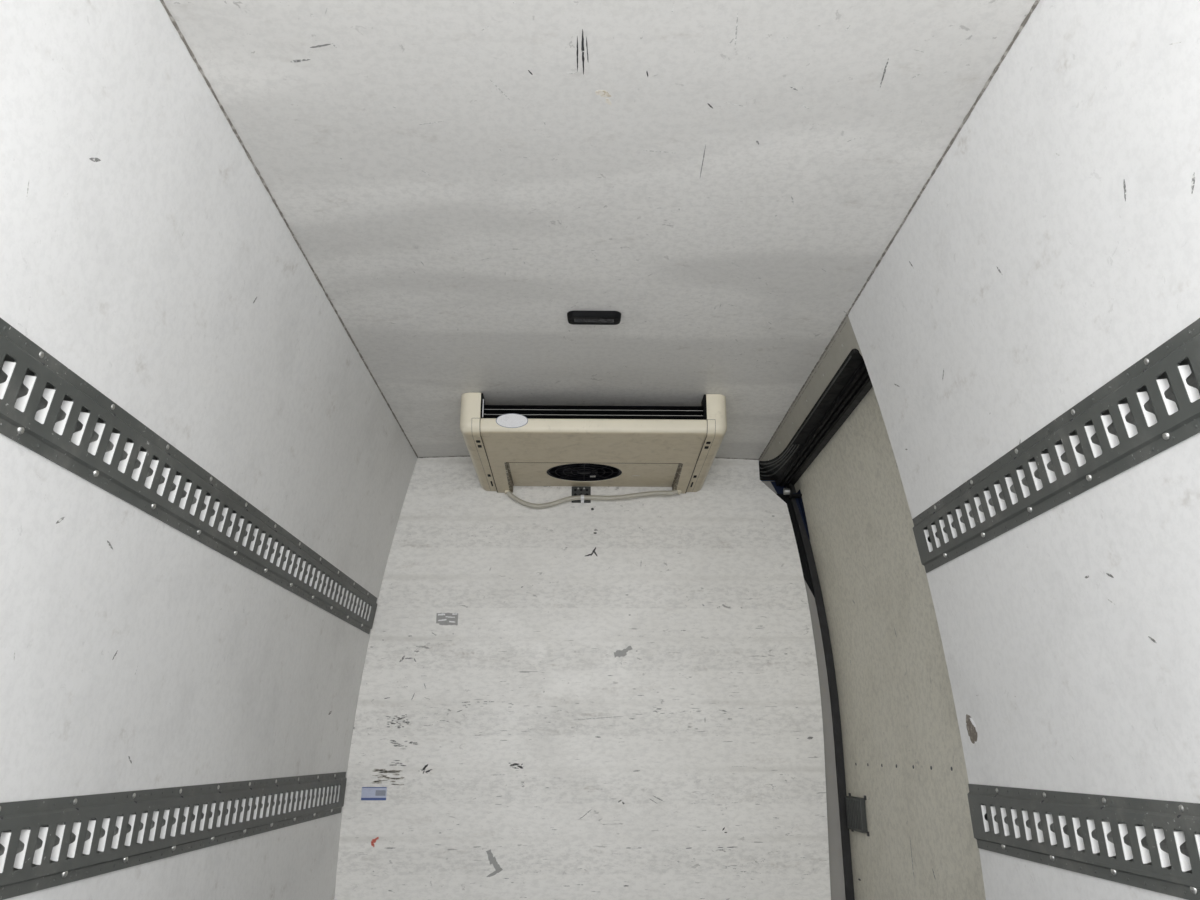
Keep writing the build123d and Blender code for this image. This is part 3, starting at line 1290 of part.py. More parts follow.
ROOF_GUARD_RINGS = ((ROOF_FAN_OPENING + 12, 20), (150, 4), (110, 4), (70, 4))
ROOF_ROTOR_DROP = 60
for side, hand in ((-1, "left"), (1, "right")):
    deck = Plane(origin=(side * ROOF_FAN_X, ROOF_UNIT_Y, FLOOR_Z + roof_unit_top))
    guard = fan_guard(deck, ROOF_GUARD_RINGS, hub_radius=46, thickness=4)
    keep(guard, f"roof_fan_guard_{hand}")
    rotor = fan_rotor(
        deck.offset(-ROOF_ROTOR_DROP),
        hub_radius=50,
        hub_height=44,
        radius=ROOF_FAN_RADIUS,
        blades=6,
        chord=80,
        pitch=24,
    )
    keep(rotor, f"roof_fan_{hand}")
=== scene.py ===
import logging
import math
import random
from dataclasses import dataclass
from enum import Enum
from typing import Callable, Sequence

import bmesh
import bpy
from mathutils import Matrix, Vector
from mathutils.geometry import tessellate_polygon


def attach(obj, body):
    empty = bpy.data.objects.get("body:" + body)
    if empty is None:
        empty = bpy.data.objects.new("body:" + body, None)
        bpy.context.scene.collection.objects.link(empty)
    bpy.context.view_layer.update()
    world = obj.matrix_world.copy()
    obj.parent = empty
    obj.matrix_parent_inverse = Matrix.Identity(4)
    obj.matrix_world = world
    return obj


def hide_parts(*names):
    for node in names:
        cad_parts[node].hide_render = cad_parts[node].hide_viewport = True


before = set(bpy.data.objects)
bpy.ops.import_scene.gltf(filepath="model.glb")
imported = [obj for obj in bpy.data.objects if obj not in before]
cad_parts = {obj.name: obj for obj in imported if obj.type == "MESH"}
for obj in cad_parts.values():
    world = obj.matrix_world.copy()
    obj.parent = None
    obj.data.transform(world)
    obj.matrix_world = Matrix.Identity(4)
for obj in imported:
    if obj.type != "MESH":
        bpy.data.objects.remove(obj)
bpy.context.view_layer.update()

Tone = tuple[float, float, float]
Flat = tuple[float, float]
Socket = bpy.types.NodeSocket

FLOOR_Z = 0.220
FRONT = 1.600
REAR = -1.600
BODY = "load_body"
SMOOTH_ANGLE = math.radians(32)
HEAD_SINK = 0.0006
FULL_TURN = 2 * math.pi


class Side(Enum):
    """Side of the body on which a piece stands."""

    LEFT = -1
    RIGHT = 1

    @property
    def word(self) -> str:
        """The side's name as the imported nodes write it."""
        return self.name.lower()


@dataclass(frozen=True)
class WallCurve:
    """Side wall in section: upright up to a height, then an arc that leans in."""

    half_width: float
    lean_start: float
    radius: float

    def reach(self, height: float) -> float:
        """Half width at a height above the load floor."""
        rise = max(height - self.lean_start, 0.0)
        return self.half_width - self.radius + math.sqrt(self.radius**2 - rise**2)

    def inward(self, side: Side, height: float) -> Vector:
        """Direction from the wall into the load space at a height."""
        tilt = math.asin(max(height - self.lean_start, 0.0) / self.radius)
        return Vector((-side.value * math.cos(tilt), 0.0, -math.sin(tilt)))

    def upward(self, side: Side, height: float) -> Vector:
        """Direction up along the wall at a height."""
        inward = self.inward(side, height)
        return Vector((side.value * inward.z, 0.0, abs(inward.x)))

    def spot(self, side: Side, y: float, height: float, lift: float = 0.0) -> Vector:
        """Point on the wall, lifted into the load space.

        Args:
            side: Wall on which the point lies.
            y: Place along the body.
            height: Height above the load floor.
            lift: Distance off the wall.

        Returns:
            The point in the body's frame.
        """
        foot = above_floor(side.value * self.reach(height), y, height)
        return foot + self.inward(side, height) * lift


LINING = WallCurve(0.837, 0.350, 5.840)
BODY_INNER = WallCurve(0.895, 0.766, 4.000)
BODY_OUTER = WallCurve(0.980, 0.766, 4.085)
CEILING_EDGE = LINING.reach(1.800)
CEILING_CAMBER = 0.015


def ceiling_height(x: float) -> float:
    """Height of the arched ceiling's face at x."""
    return FLOOR_Z + 1.800 + CEILING_CAMBER * (1.0 - (x / CEILING_EDGE) ** 2)


class Face(Enum):
    """Inner face on which marks and labels lie."""

    CEILING = "ceiling"
    BULKHEAD = "bulkhead"
    LEFT = "left"
    RIGHT = "right"
    DOOR = "door"

    def spot(self, u: float, v: float, lift: float) -> Vector:
        """Point on the face.

        Args:
            u: x on the ceiling and the bulkhead, y on the walls.
            v: y on the ceiling, z elsewhere.
            lift: Distance off the face, into the load space.

        Returns:
            The point in the body's frame.
        """
        if self is Face.CEILING:
            return Vector((u, v, ceiling_height(u) - lift))
        if self is Face.BULKHEAD:
            return Vector((u, FRONT - lift, v))
        if self is Face.DOOR:
            return BODY_INNER.spot(Side.RIGHT, u, v - FLOOR_Z, lift)
        side = Side.LEFT if self is Face.LEFT else Side.RIGHT
        return LINING.spot(side, u, v - FLOOR_Z, lift)


# Sockets of a Mix node that hold its colours
COLOUR_A, COLOUR_B, COLOUR_OUT = 6, 7, 2


class Shade:
    """Node material on a Principled shader, in the object's own coordinates."""

    def __init__(self, name: str, roughness: float = 0.5, metallic: float = 0.0, coat: float = 0.0) -> None:
        """Starts the material.

        Args:
            name: Name of the material.
            roughness: Roughness where nothing else is said.
            metallic: 1 for bare metal.
            coat: Strength of the clear coat.
        """
        self.material = bpy.data.materials.new(name)
        self.material.use_nodes = True
        self.tree = self.material.node_tree
        self.shader = self.tree.nodes["Principled BSDF"]
        for socket, value in (("Roughness", roughness), ("Metallic", metallic), ("Coat Weight", coat)):
            self.set(socket, value)
        self.place = self.node("TexCoord").outputs["Object"]
        self.relief_end = None

    def node(self, kind: str, **inputs: object) -> bpy.types.Node:
        """Adds a shader node of a kind, with values or links for its inputs.

        Args:
            kind: Blender's name for the node, without its first part.
            inputs: Sockets or values by input.

        Returns:
            The new node.
        """
        made = self.tree.nodes.new(f"ShaderNode{kind}")
        for name, value in inputs.items():
            self.feed(made.inputs[name], value)
        return made

    def feed(self, socket: Socket, value: object) -> None:
        """Links a socket to another socket, or writes a plain value on it.

        Args:
            socket: Input that is set.
            value: Socket, number or tone.
        """
        if isinstance(value, Socket):
            self.tree.links.new(value, socket)
        elif isinstance(value, tuple) and len(value) == 3 and socket.type == "RGBA":
            socket.default_value = (*value, 1.0)
        else:
            socket.default_value = value

    def set(self, socket: str, value: object) -> None:
        """Writes or links one of the shader's own inputs."""
        self.feed(self.shader.inputs[socket], value)

    def spread(self, stretch: Tone = (1, 1, 1), shift: Tone = (0, 0, 0)) -> Socket:
        """Object coordinates, stretched and shifted."""
        return self.node("Mapping", Scale=stretch, Location=shift, Vector=self.place).outputs["Vector"]

    def noise(
        self,
        scale: float,
        detail: float = 3.0,
        rough: float = 0.55,
        warp: float = 0.0,
        stretch: Tone = (1, 1, 1),
        shift: Tone = (0, 0, 0),
    ) -> Socket:
        """Soft noise from 0 to 1.

        Args:
            scale: Cells in a metre.
            detail: Octaves.
            rough: Share that each octave keeps.
            warp: Distortion.
            stretch: Scale along each axis.
            shift: Offset, which sets one noise apart from another.

        Returns:
            The factor's socket.
        """
        node = self.node("TexNoise", Scale=scale, Detail=detail, Roughness=rough, Distortion=warp)
        self.feed(node.inputs["Vector"], self.spread(stretch, shift))
        return node.outputs["Fac"]

    def cells(self, scale: float) -> Socket:
        """Distance to the nearest of scattered points."""
        return self.node("TexVoronoi", Scale=scale, Vector=self.place).outputs["Distance"]

    def ridges(self, scale: float, direction: str) -> Socket:
        """Parallel waves across one axis, from 0 to 1.

        Args:
            scale: Waves in a metre.
            direction: Axis across which they run.

        Returns:
            The factor's socket.
        """
        node = self.node("TexWave", Scale=scale, Vector=self.place)
        node.bands_direction = direction
        return node.outputs["Fac"]

    def axis(self, letter: str) -> Socket:
        """One coordinate of the object."""
        return self.node("SeparateXYZ", Vector=self.place).outputs[letter]

    def band(self, source: Socket, low: float, high: float, start: float = 0.0, end: float = 1.0) -> Socket:
        """Smooth step of a factor between two of its values.

        Args:
            source: The factor.
            low: Value at which the step starts.
            high: Value at which it ends.
            start: Result before the step.
            end: Result after it.

        Returns:
            The result's socket.
        """
        limits = {"From Min": low, "From Max": high, "To Min": start, "To Max": end}
        node = self.node("MapRange", Value=source, **limits)
        node.interpolation_type = "SMOOTHSTEP"
        return node.outputs["Result"]

    def times(self, first: object, second: object) -> Socket:
        """Product of two factors."""
        return self.sum("MULTIPLY", first, second)

    def sum(self, operation: str, first: object, second: object = 0.0) -> Socket:
        """One step of arithmetic on one factor or two.

        Args:
            operation: Blender's name for the step.
            first: First factor.
            second: Second factor.

        Returns:
            The result's socket.
        """
        node = self.node("Math")
        node.operation = operation
        self.feed(node.inputs[0], first)
        self.feed(node.inputs[1], second)
        return node.outputs[0]

    def blend(self, amount: object, first: object, second: object) -> Socket:
        """Mix of two colours.

        Args:
            amount: 0 for the first colour, 1 for the second.
            first: First colour.
            second: Second colour.

        Returns:
            The mixed colour's socket.
        """
        node = self.node("Mix", Factor=amount)
        node.data_type = "RGBA"
        self.feed(node.inputs[COLOUR_A], first)
        self.feed(node.inputs[COLOUR_B], second)
        return node.outputs[COLOUR_OUT]

    def relief(self, height: Socket, depth: float) -> None:
        """Adds a bump of a depth in metres on top of those before it.

        Args:
            height: Factor of the height.
            depth: Depth at full height.
        """
        node = self.node("Bump", Distance=depth, Height=height)
        if self.relief_end is not None:
            self.feed(node.inputs["Normal"], self.relief_end)
        self.relief_end = node.outputs["Normal"]

    def finish(self, colour: object, roughness: object = None) -> bpy.types.Material:
        """Links the colour, the roughness and the relief to the shader.

        Args:
            colour: Socket or tone of the surface.
            roughness: Socket of the roughness, or None to keep the first value.

        Returns:
            The finished material.
        """
        for socket, value in (("Base Color", colour), ("Roughness", roughness), ("Normal", self.relief_end)):
            if value is not None:
                self.set(socket, value)
        return self.material


def shaded(tone: Tone, share: float) -> Tone:
    """A tone made darker or lighter by a share."""
    return tuple(min(part * share, 1.0) for part in tone)


@dataclass(frozen=True)
class Finish:
    """Finish of one kind of surface."""

    name: str
    tone: Tone

    def make(self) -> bpy.types.Material:
        """Builds the material, which each kind of finish does in its own way."""
        raise NotImplementedError

    def material(self) -> bpy.types.Material:
        """The finish's material, built once."""
        return bpy.data.materials.get(self.name) or self.make()


# Tones of the dirt that lies on several finishes
OLD_DUST = (0.42, 0.39, 0.35)
ROAD_DUST = (0.42, 0.40, 0.37)
DARK_SCUFF = (0.20, 0.195, 0.185)
DARK_FLECK = (0.22, 0.215, 0.205)
JOINT_DUST = (0.42, 0.405, 0.365)
# Lowest level band of the bulkhead, and the distance between the bands
BAND_LOW = 0.560
BAND_PITCH = 0.2222


@dataclass(frozen=True)
class LiningSkin(Finish):
    """White glass-fibre skin with cloudy blotches, dirt, scuffs and a rippled face.

    The streak and dash say how long those marks are along each axis, the ripple how deep the face waves, and
    the shade sweep how dark the broad arcs of painted shade across it are.
    """

    streak: Tone = (1.0, 1.0, 1.0)
    dash: Tone = (1.0, 1.0, 1.0)
    dirt: float = 0.5
    ripple: float = 0.0048
    mottle: float = 0.25
    dashes: float = 0.3
    shade_sweep: float = 0.0
    worn_to: float = 9.0
    joints: bool = False

    def make(self) -> bpy.types.Material:
        """Builds the skin's material.

        Returns:
            The finished material.
        """
        shade = Shade(self.name, roughness=0.42)
        blotch = shade.noise(1.3, detail=3.0, rough=0.6)
        cloud = shade.noise(5.5, detail=4.0, rough=0.62, shift=(3.1, 1.7, 0.4))
        fine = shade.noise(70.0, detail=2.0, rough=0.6)
        streak = shade.noise(16.0, detail=4.0, rough=0.62, stretch=self.streak, shift=(0.3, 5.0, 2.2))
        colour = shade.blend(shade.band(blotch, 0.35, 0.72), self.tone, shaded(self.tone, 0.955))
        colour = shade.blend(shade.band(cloud, 0.48, 0.78, 0.0, 0.45), colour, shaded(self.tone, 0.84))
        # Broad darker arcs: painted shade of the face's shallow waves under grazing light.
        if self.shade_sweep:
            wide = (0.42, 1.5, 1.0)
            broad = shade.noise(1.9, detail=2.0, rough=0.4, warp=0.7, stretch=wide, shift=(6.0, 1.0, 0.0))
            swept_shade = shade.band(broad, 0.42, 0.56, 0.0, self.shade_sweep)
            colour = shade.blend(swept_shade, colour, shaded(self.tone, 0.80))
        grime = shade.times(shade.band(streak, 0.58, 0.76, 0.0, self.dirt), shade.band(fine, 0.3, 0.7))
        colour = shade.blend(grime, colour, OLD_DUST)
        colour = self.add_wear(shade, colour)
        if self.joints:
            colour = self.add_joints(shade, colour)
        gloss = shade.band(cloud, 0.3, 0.75, 0.36, 0.56)
        waves = shade.noise(2.6, detail=1.0, stretch=(0.5, 1.0, 1.0), shift=(0, 2.0, 9.0))
        shade.relief(waves, self.ripple)
        return shade.finish(colour, gloss)

    def add_wear(self, shade: Shade, colour: Socket) -> Socket:
        """Adds the speckle of the whole face and the small scuffs that gather in patches.

        Args:
            shade: Material that is being built.
            colour: Colour so far.

        Returns:
            The colour with the wear.
        """
        speck = shade.noise(62.0, detail=4.0, rough=0.74, stretch=self.dash, shift=(5.0, 2.0, 7.0))
        used = shade.band(shade.axis("Y"), self.worn_to, self.worn_to + 0.02, 1.0, 0.25)
        speckle = shade.times(shade.band(speck, 0.40, 0.66, 0.0, self.mottle), used)
        colour = shade.blend(speckle, colour, shaded(self.tone, 0.62))
        patch = shade.noise(3.4, detail=2.0, rough=0.6, shift=(9.0, 4.0, 1.0))
        scuff = shade.noise(34.0, detail=4.0, rough=0.72, warp=0.6, stretch=self.dash, shift=(2.0, 8.0, 3.0))
        patches = shade.band(patch, 0.40, 0.62, 0.15, 1.0)
        worn = shade.times(shade.times(shade.band(scuff, 0.640, 0.675), patches), used)
        return shade.blend(shade.times(worn, self.dashes), colour, DARK_SCUFF)

    def add_joints(self, shade: Shade, colour: Socket) -> Socket:
        """Adds the faint level bands and the small level scuffs of the front bulkhead.

        Args:
            shade: Material that is being built.
            colour: Colour so far.

        Returns:
            The colour with the bands and scuffs.
        """
        height = shade.axis("Z")
        turns = shade.sum("DIVIDE", shade.sum("SUBTRACT", height, BAND_LOW), BAND_PITCH)
        phase = shade.sum("FRACT", turns)
        wander = shade.noise(1.4, detail=2.0, stretch=(1.0, 1.0, 0.2))
        smear = shade.noise(11.0, detail=5.0, rough=0.7, stretch=(0.3, 1.0, 2.0), shift=(1.0, 0.0, 6.0))
        near = shade.sum("ABSOLUTE", shade.sum("SUBTRACT", phase, 0.5))
        line = shade.band(near, 0.012, 0.070, 1.0, 0.0)
        line = shade.times(line, shade.band(wander, 0.36, 0.60, 0.30, 1.0))
        line = shade.times(line, shade.band(smear, 0.30, 0.62, 0.25, 1.0))
        colour = shade.blend(shade.times(line, 0.42), colour, JOINT_DUST)
        glow = shade.band(phase, 0.30, 0.47, 0.0, 0.35)
        colour = shade.blend(glow, colour, shaded(self.tone, 1.04))
        dash = shade.noise(30.0, detail=4.0, rough=0.68, stretch=(0.24, 1.0, 2.8), shift=(7.0, 0.0, 1.0))
        low = shade.band(height, 1.15, 1.80, 1.0, 0.20)
        low = shade.times(low, shade.band(shade.axis("Y"), 1.61, 1.63, 1.0, 0.0))
        flecks = shade.times(shade.band(dash, 0.645, 0.685), shade.times(low, 0.70))
        return shade.blend(flecks, colour, DARK_FLECK)


@dataclass(frozen=True)
class Enamel(Finish):
    """Sprayed paint on steel, with chips to another tone where it is worn."""

    chip: Tone = (0.45, 0.45, 0.44)
    worn: float = 0.3
    roughness: float = 0.5
    coat: float = 0.0
    dust: float = 0.2
    grain: float = 0.00006

    def make(self) -> bpy.types.Material:
        """Builds the paint's material.

        Returns:
            The finished material.
        """
        shade = Shade(self.name, roughness=self.roughness, coat=self.coat)
        shade.set("Coat Roughness", 0.06)
        drift = shade.noise(2.2, detail=3.0)
        speck = shade.noise(120.0, detail=3.0, rough=0.7, shift=(4.0, 4.0, 4.0))
        patch = shade.noise(9.0, detail=5.0, rough=0.7, shift=(1.0, 6.0, 2.0))
        colour = shade.blend(shade.band(drift, 0.3, 0.7), shaded(self.tone, 0.90), shaded(self.tone, 1.10))
        colour = shade.blend(shade.band(patch, 0.45, 0.80, 0.0, self.dust), colour, ROAD_DUST)
        edge = 0.80 - 0.12 * self.worn
        chips = shade.times(shade.band(speck, edge - 0.02, edge), shade.band(patch, 0.42, 0.60))
        colour = shade.blend(shade.times(chips, min(self.worn * 2.0, 1.0)), colour, self.chip)
        gloss = shade.band(patch, 0.30, 0.80, self.roughness * 0.85, min(self.roughness * 1.25, 1.0))
        shade.relief(speck, self.grain)
        return shade.finish(colour, gloss)


@dataclass(frozen=True)
class BareMetal(Finish):
    """Bare or plated metal with drawn marks and a dull bloom."""

    roughness: float = 0.38
    bloom: float = 0.35
    drawn: Tone = (1.0, 0.06, 1.0)

    def make(self) -> bpy.types.Material:
        """Builds the metal's material.

        Returns:
            The finished material.
        """
        shade = Shade(self.name, roughness=self.roughness, metallic=1.0)
        lines = shade.noise(240.0, detail=2.0, stretch=self.drawn)
        dull = shade.noise(18.0, detail=4.0, rough=0.65, shift=(2.0, 0.0, 5.0))
        colour = shade.blend(shade.band(lines, 0.3, 0.7), shaded(self.tone, 0.90), shaded(self.tone, 1.05))
        colour = shade.blend(shade.band(dull, 0.45, 0.75, 0.0, self.bloom), colour, shaded(self.tone, 0.62))
        gloss = shade.band(dull, 0.30, 0.75, self.roughness * 0.8, self.roughness * 1.45)
        shade.relief(lines, 0.00003)
        return shade.finish(colour, gloss)


@dataclass(frozen=True)
class Moulding(Finish):
    """Moulded plastic or rubber with a fine grain and a little dirt.

    The soil is the dirt's tone, and soiled says how much of it there is.
    """

    roughness: float = 0.45
    grain: float = 0.00005
    grain_scale: float = 420.0
    soil: Tone = (0.35, 0.31, 0.24)
    soiled: float = 0.35
    soil_from: float = 0.54
    clouded: float = 0.93
    specular: float = 0.5

    def make(self) -> bpy.types.Material:
        """Builds the moulding's material.

        Returns:
            The finished material.
        """
        shade = Shade(self.name, roughness=self.roughness)
        cloud = shade.noise(7.0, detail=4.0, rough=0.6, shift=(8.0, 1.0, 3.0))
        smear = shade.noise(26.0, detail=5.0, rough=0.66, warp=0.8, shift=(1.0, 9.0, 5.0))
        pale, dull = shaded(self.tone, 1.03), shaded(self.tone, self.clouded)
        colour = self.add_shade_film(shade, shade.blend(shade.band(cloud, 0.3, 0.75), pale, dull), smear)
        colour = shade.blend(shade.band(smear, self.soil_from, 0.80, 0.0, self.soiled), colour, self.soil)
        gloss = shade.band(smear, 0.30, 0.75, self.roughness * 0.88, min(self.roughness * 1.25, 1.0))
        shade.relief(shade.noise(self.grain_scale, detail=2.0), self.grain)
        shade.set("Specular IOR Level", self.specular)
        return shade.finish(colour, gloss)

    def add_shade_film(
        self, shade: Shade, colour: Socket, smear: Socket
    ) -> Socket:
        """The colour as it is, because only a shaded aged moulding has painted shade and dirt on its downward
        faces.
        """
        return colour


@dataclass(frozen=True)
class ShadedAgedMoulding(Moulding):
    """Moulded plastic whose downward faces carry painted shade with a yellowed film of old dirt, darker
    towards one end.
    """

    soil_from: float = 0.56
    clouded: float = 0.95
    # Painted shade with yellowed dirt on the downward faces, darker from the shade start to the shade end
    # along y.
    dirt_and_shade: Tone = (0.62, 0.54, 0.385)
    shade_start: float = 0.9
    shade_end: float = 1.7

    def add_shade_film(
        self, shade: Shade, colour: Socket, smear: Socket
    ) -> Socket:
        """Covers the downward faces with painted shade and a film of dirt.

        Args:
            shade: Material that is being built.
            colour: Colour so far.
            smear: Factor of the smears.

        Returns:
            The colour with the film.
        """
        lean = shade.node("SeparateXYZ", Vector=shade.node("NewGeometry").outputs["Normal"])
        # Downward faces take painted shade mixed with yellowed dirt, deepening towards the bulkhead end.
        downward_shade = shade.band(lean.outputs["Z"], -0.96, -0.70, 1.0, 0.0)
        far = shade.band(shade.axis("Y"), self.shade_start, self.shade_end, 1.0, 0.80)
        dirt_and_shade = shade.blend(far, shaded(self.dirt_and_shade, 0.70), self.dirt_and_shade)
        dirt_and_shade = shade.blend(shade.band(smear, 0.42, 0.70, 0.0, 0.5), dirt_and_shade, shaded(self.dirt_and_shade, 0.82))
        return shade.blend(downward_shade, colour, dirt_and_shade)


@dataclass(frozen=True)
class Sealant(Finish):
    """Old joint sealant: dark, dotted and picked up with dirt."""

    dotted: float = 0.8

    def make(self) -> bpy.types.Material:
        """Builds the sealant's material.

        Returns:
            The finished material.
        """
        shade = Shade(self.name, roughness=0.7)
        dots = shade.noise(55.0, detail=3.0, rough=0.7)
        cloud = shade.noise(6.0, detail=3.0)
        pale = shade.times(shade.band(dots, 0.48, 0.60), self.dotted)
        colour = shade.blend(pale, self.tone, (0.46, 0.44, 0.41))
        colour = shade.blend(shade.band(cloud, 0.50, 0.75, 0.0, 0.45), colour, (0.50, 0.48, 0.45))
        shade.relief(dots, 0.0004)
        return shade.finish(colour)


@dataclass(frozen=True)
class Lens(Finish):
    """Moulded lamp lens, tinted through, with small prisms."""

    prisms: float = 260.0

    def make(self) -> bpy.types.Material:
        """Builds the lens's material.

        Returns:
            The finished material.
        """
        shade = Shade(self.name, roughness=0.12, coat=0.6)
        shade.set("Coat Roughness", 0.05)
        shade.set("Subsurface Weight", 0.25)
        shade.set("Subsurface Scale", 0.01)
        prisms = shade.ridges(self.prisms, "Z")
        haze = shade.noise(14.0, detail=4.0)
        # Darker and lighter stripes along the prisms: painted shade and highlight of their facets.
        colour = shade.blend(shade.band(prisms, 0.2, 0.8), shaded(self.tone, 0.72), shaded(self.tone, 1.15))
        colour = shade.blend(shade.band(haze, 0.5, 0.8, 0.0, 0.25), colour, shaded(self.tone, 0.55))
        shade.relief(prisms, 0.0004)
        return shade.finish(colour, shade.band(haze, 0.4, 0.8, 0.10, 0.3))


@dataclass(frozen=True)
class GritFloor(Finish):
    """Anti-slip floor: resin with grit cast in, polished along the middle by boots and trolleys."""

    def make(self) -> bpy.types.Material:
        """Builds the floor's material.

        Returns:
            The finished material.
        """
        shade = Shade(self.name, roughness=0.75)
        grit = shade.cells(330.0)
        coarse = shade.noise(150.0, detail=3.0, rough=0.7)
        drift = shade.noise(3.0, detail=5.0, rough=0.6)
        middle = shade.band(shade.sum("ABSOLUTE", shade.axis("X")), 0.25, 0.62, 1.0, 0.0)
        colour = shade.blend(shade.band(grit, 0.15, 0.55), shaded(self.tone, 1.25), shaded(self.tone, 0.72))
        colour = shade.blend(shade.band(drift, 0.35, 0.75, 0.0, 0.5), colour, shaded(self.tone, 0.62))
        colour = shade.blend(shade.times(middle, 0.3), colour, shaded(self.tone, 1.45))
        shade.relief(grit, 0.0009)
        shade.relief(coarse, 0.0004)
        return shade.finish(colour, shade.band(drift, 0.3, 0.7, 0.6, 0.85))


@dataclass(frozen=True)
class FinPack(Finish):
    """Edges of a finned coil, one upright line a fin."""

    pitch: float = 0.0028

    def make(self) -> bpy.types.Material:
        """Builds the coil's material.

        Returns:
            The finished material.
        """
        shade = Shade(self.name, roughness=0.45, metallic=0.8)
        fins = shade.ridges(1.0 / (self.pitch * math.pi), "X")
        bent = shade.noise(22.0, detail=4.0, stretch=(1.0, 1.0, 0.4))
        # Dark stripes between the fin edges: painted shade in the gaps between fins.
        colour = shade.blend(shade.band(fins, 0.25, 0.75), shaded(self.tone, 0.25), self.tone)
        colour = shade.blend(shade.band(bent, 0.5, 0.75, 0.0, 0.5), colour, shaded(self.tone, 0.45))
        shade.relief(fins, 0.0008)
        return shade.finish(colour)


@dataclass(frozen=True)
class Paper(Finish):
    """Paper or foil label with the glue's mottling at its edge."""

    rough: float = 0.6

    def make(self) -> bpy.types.Material:
        """Builds the label's material.

        Returns:
            The finished material.
        """
        shade = Shade(self.name, roughness=self.rough)
        fibre = shade.noise(300.0, detail=3.0)
        mottle = shade.noise(60.0, detail=4.0, rough=0.7, shift=(3.0, 2.0, 7.0))
        colour = shade.blend(shade.band(fibre, 0.3, 0.7), shaded(self.tone, 0.94), shaded(self.tone, 1.04))
        colour = shade.blend(shade.band(mottle, 0.55, 0.75, 0.0, 0.5), colour, shaded(self.tone, 0.68))
        shade.relief(fibre, 0.00005)
        return shade.finish(colour, shade.band(mottle, 0.3, 0.7, self.rough * 0.8, self.rough))


@dataclass(frozen=True)
class Scuff(Finish):
    """Worn mark in which the skin under it still shows through."""

    ground: Tone = (0.72, 0.72, 0.70)
    cover: float = 0.7
    grain: float = 170.0

    def make(self) -> bpy.types.Material:
        """Builds the mark's material.

        Returns:
            The finished material.
        """
        shade = Shade(self.name, roughness=0.6)
        broken = shade.noise(self.grain, detail=4.0, rough=0.72, warp=0.4)
        edge = 0.5 + (0.5 - self.cover) * 0.30
        colour = shade.blend(shade.band(broken, edge - 0.05, edge + 0.05), self.ground, self.tone)
        return shade.finish(colour)


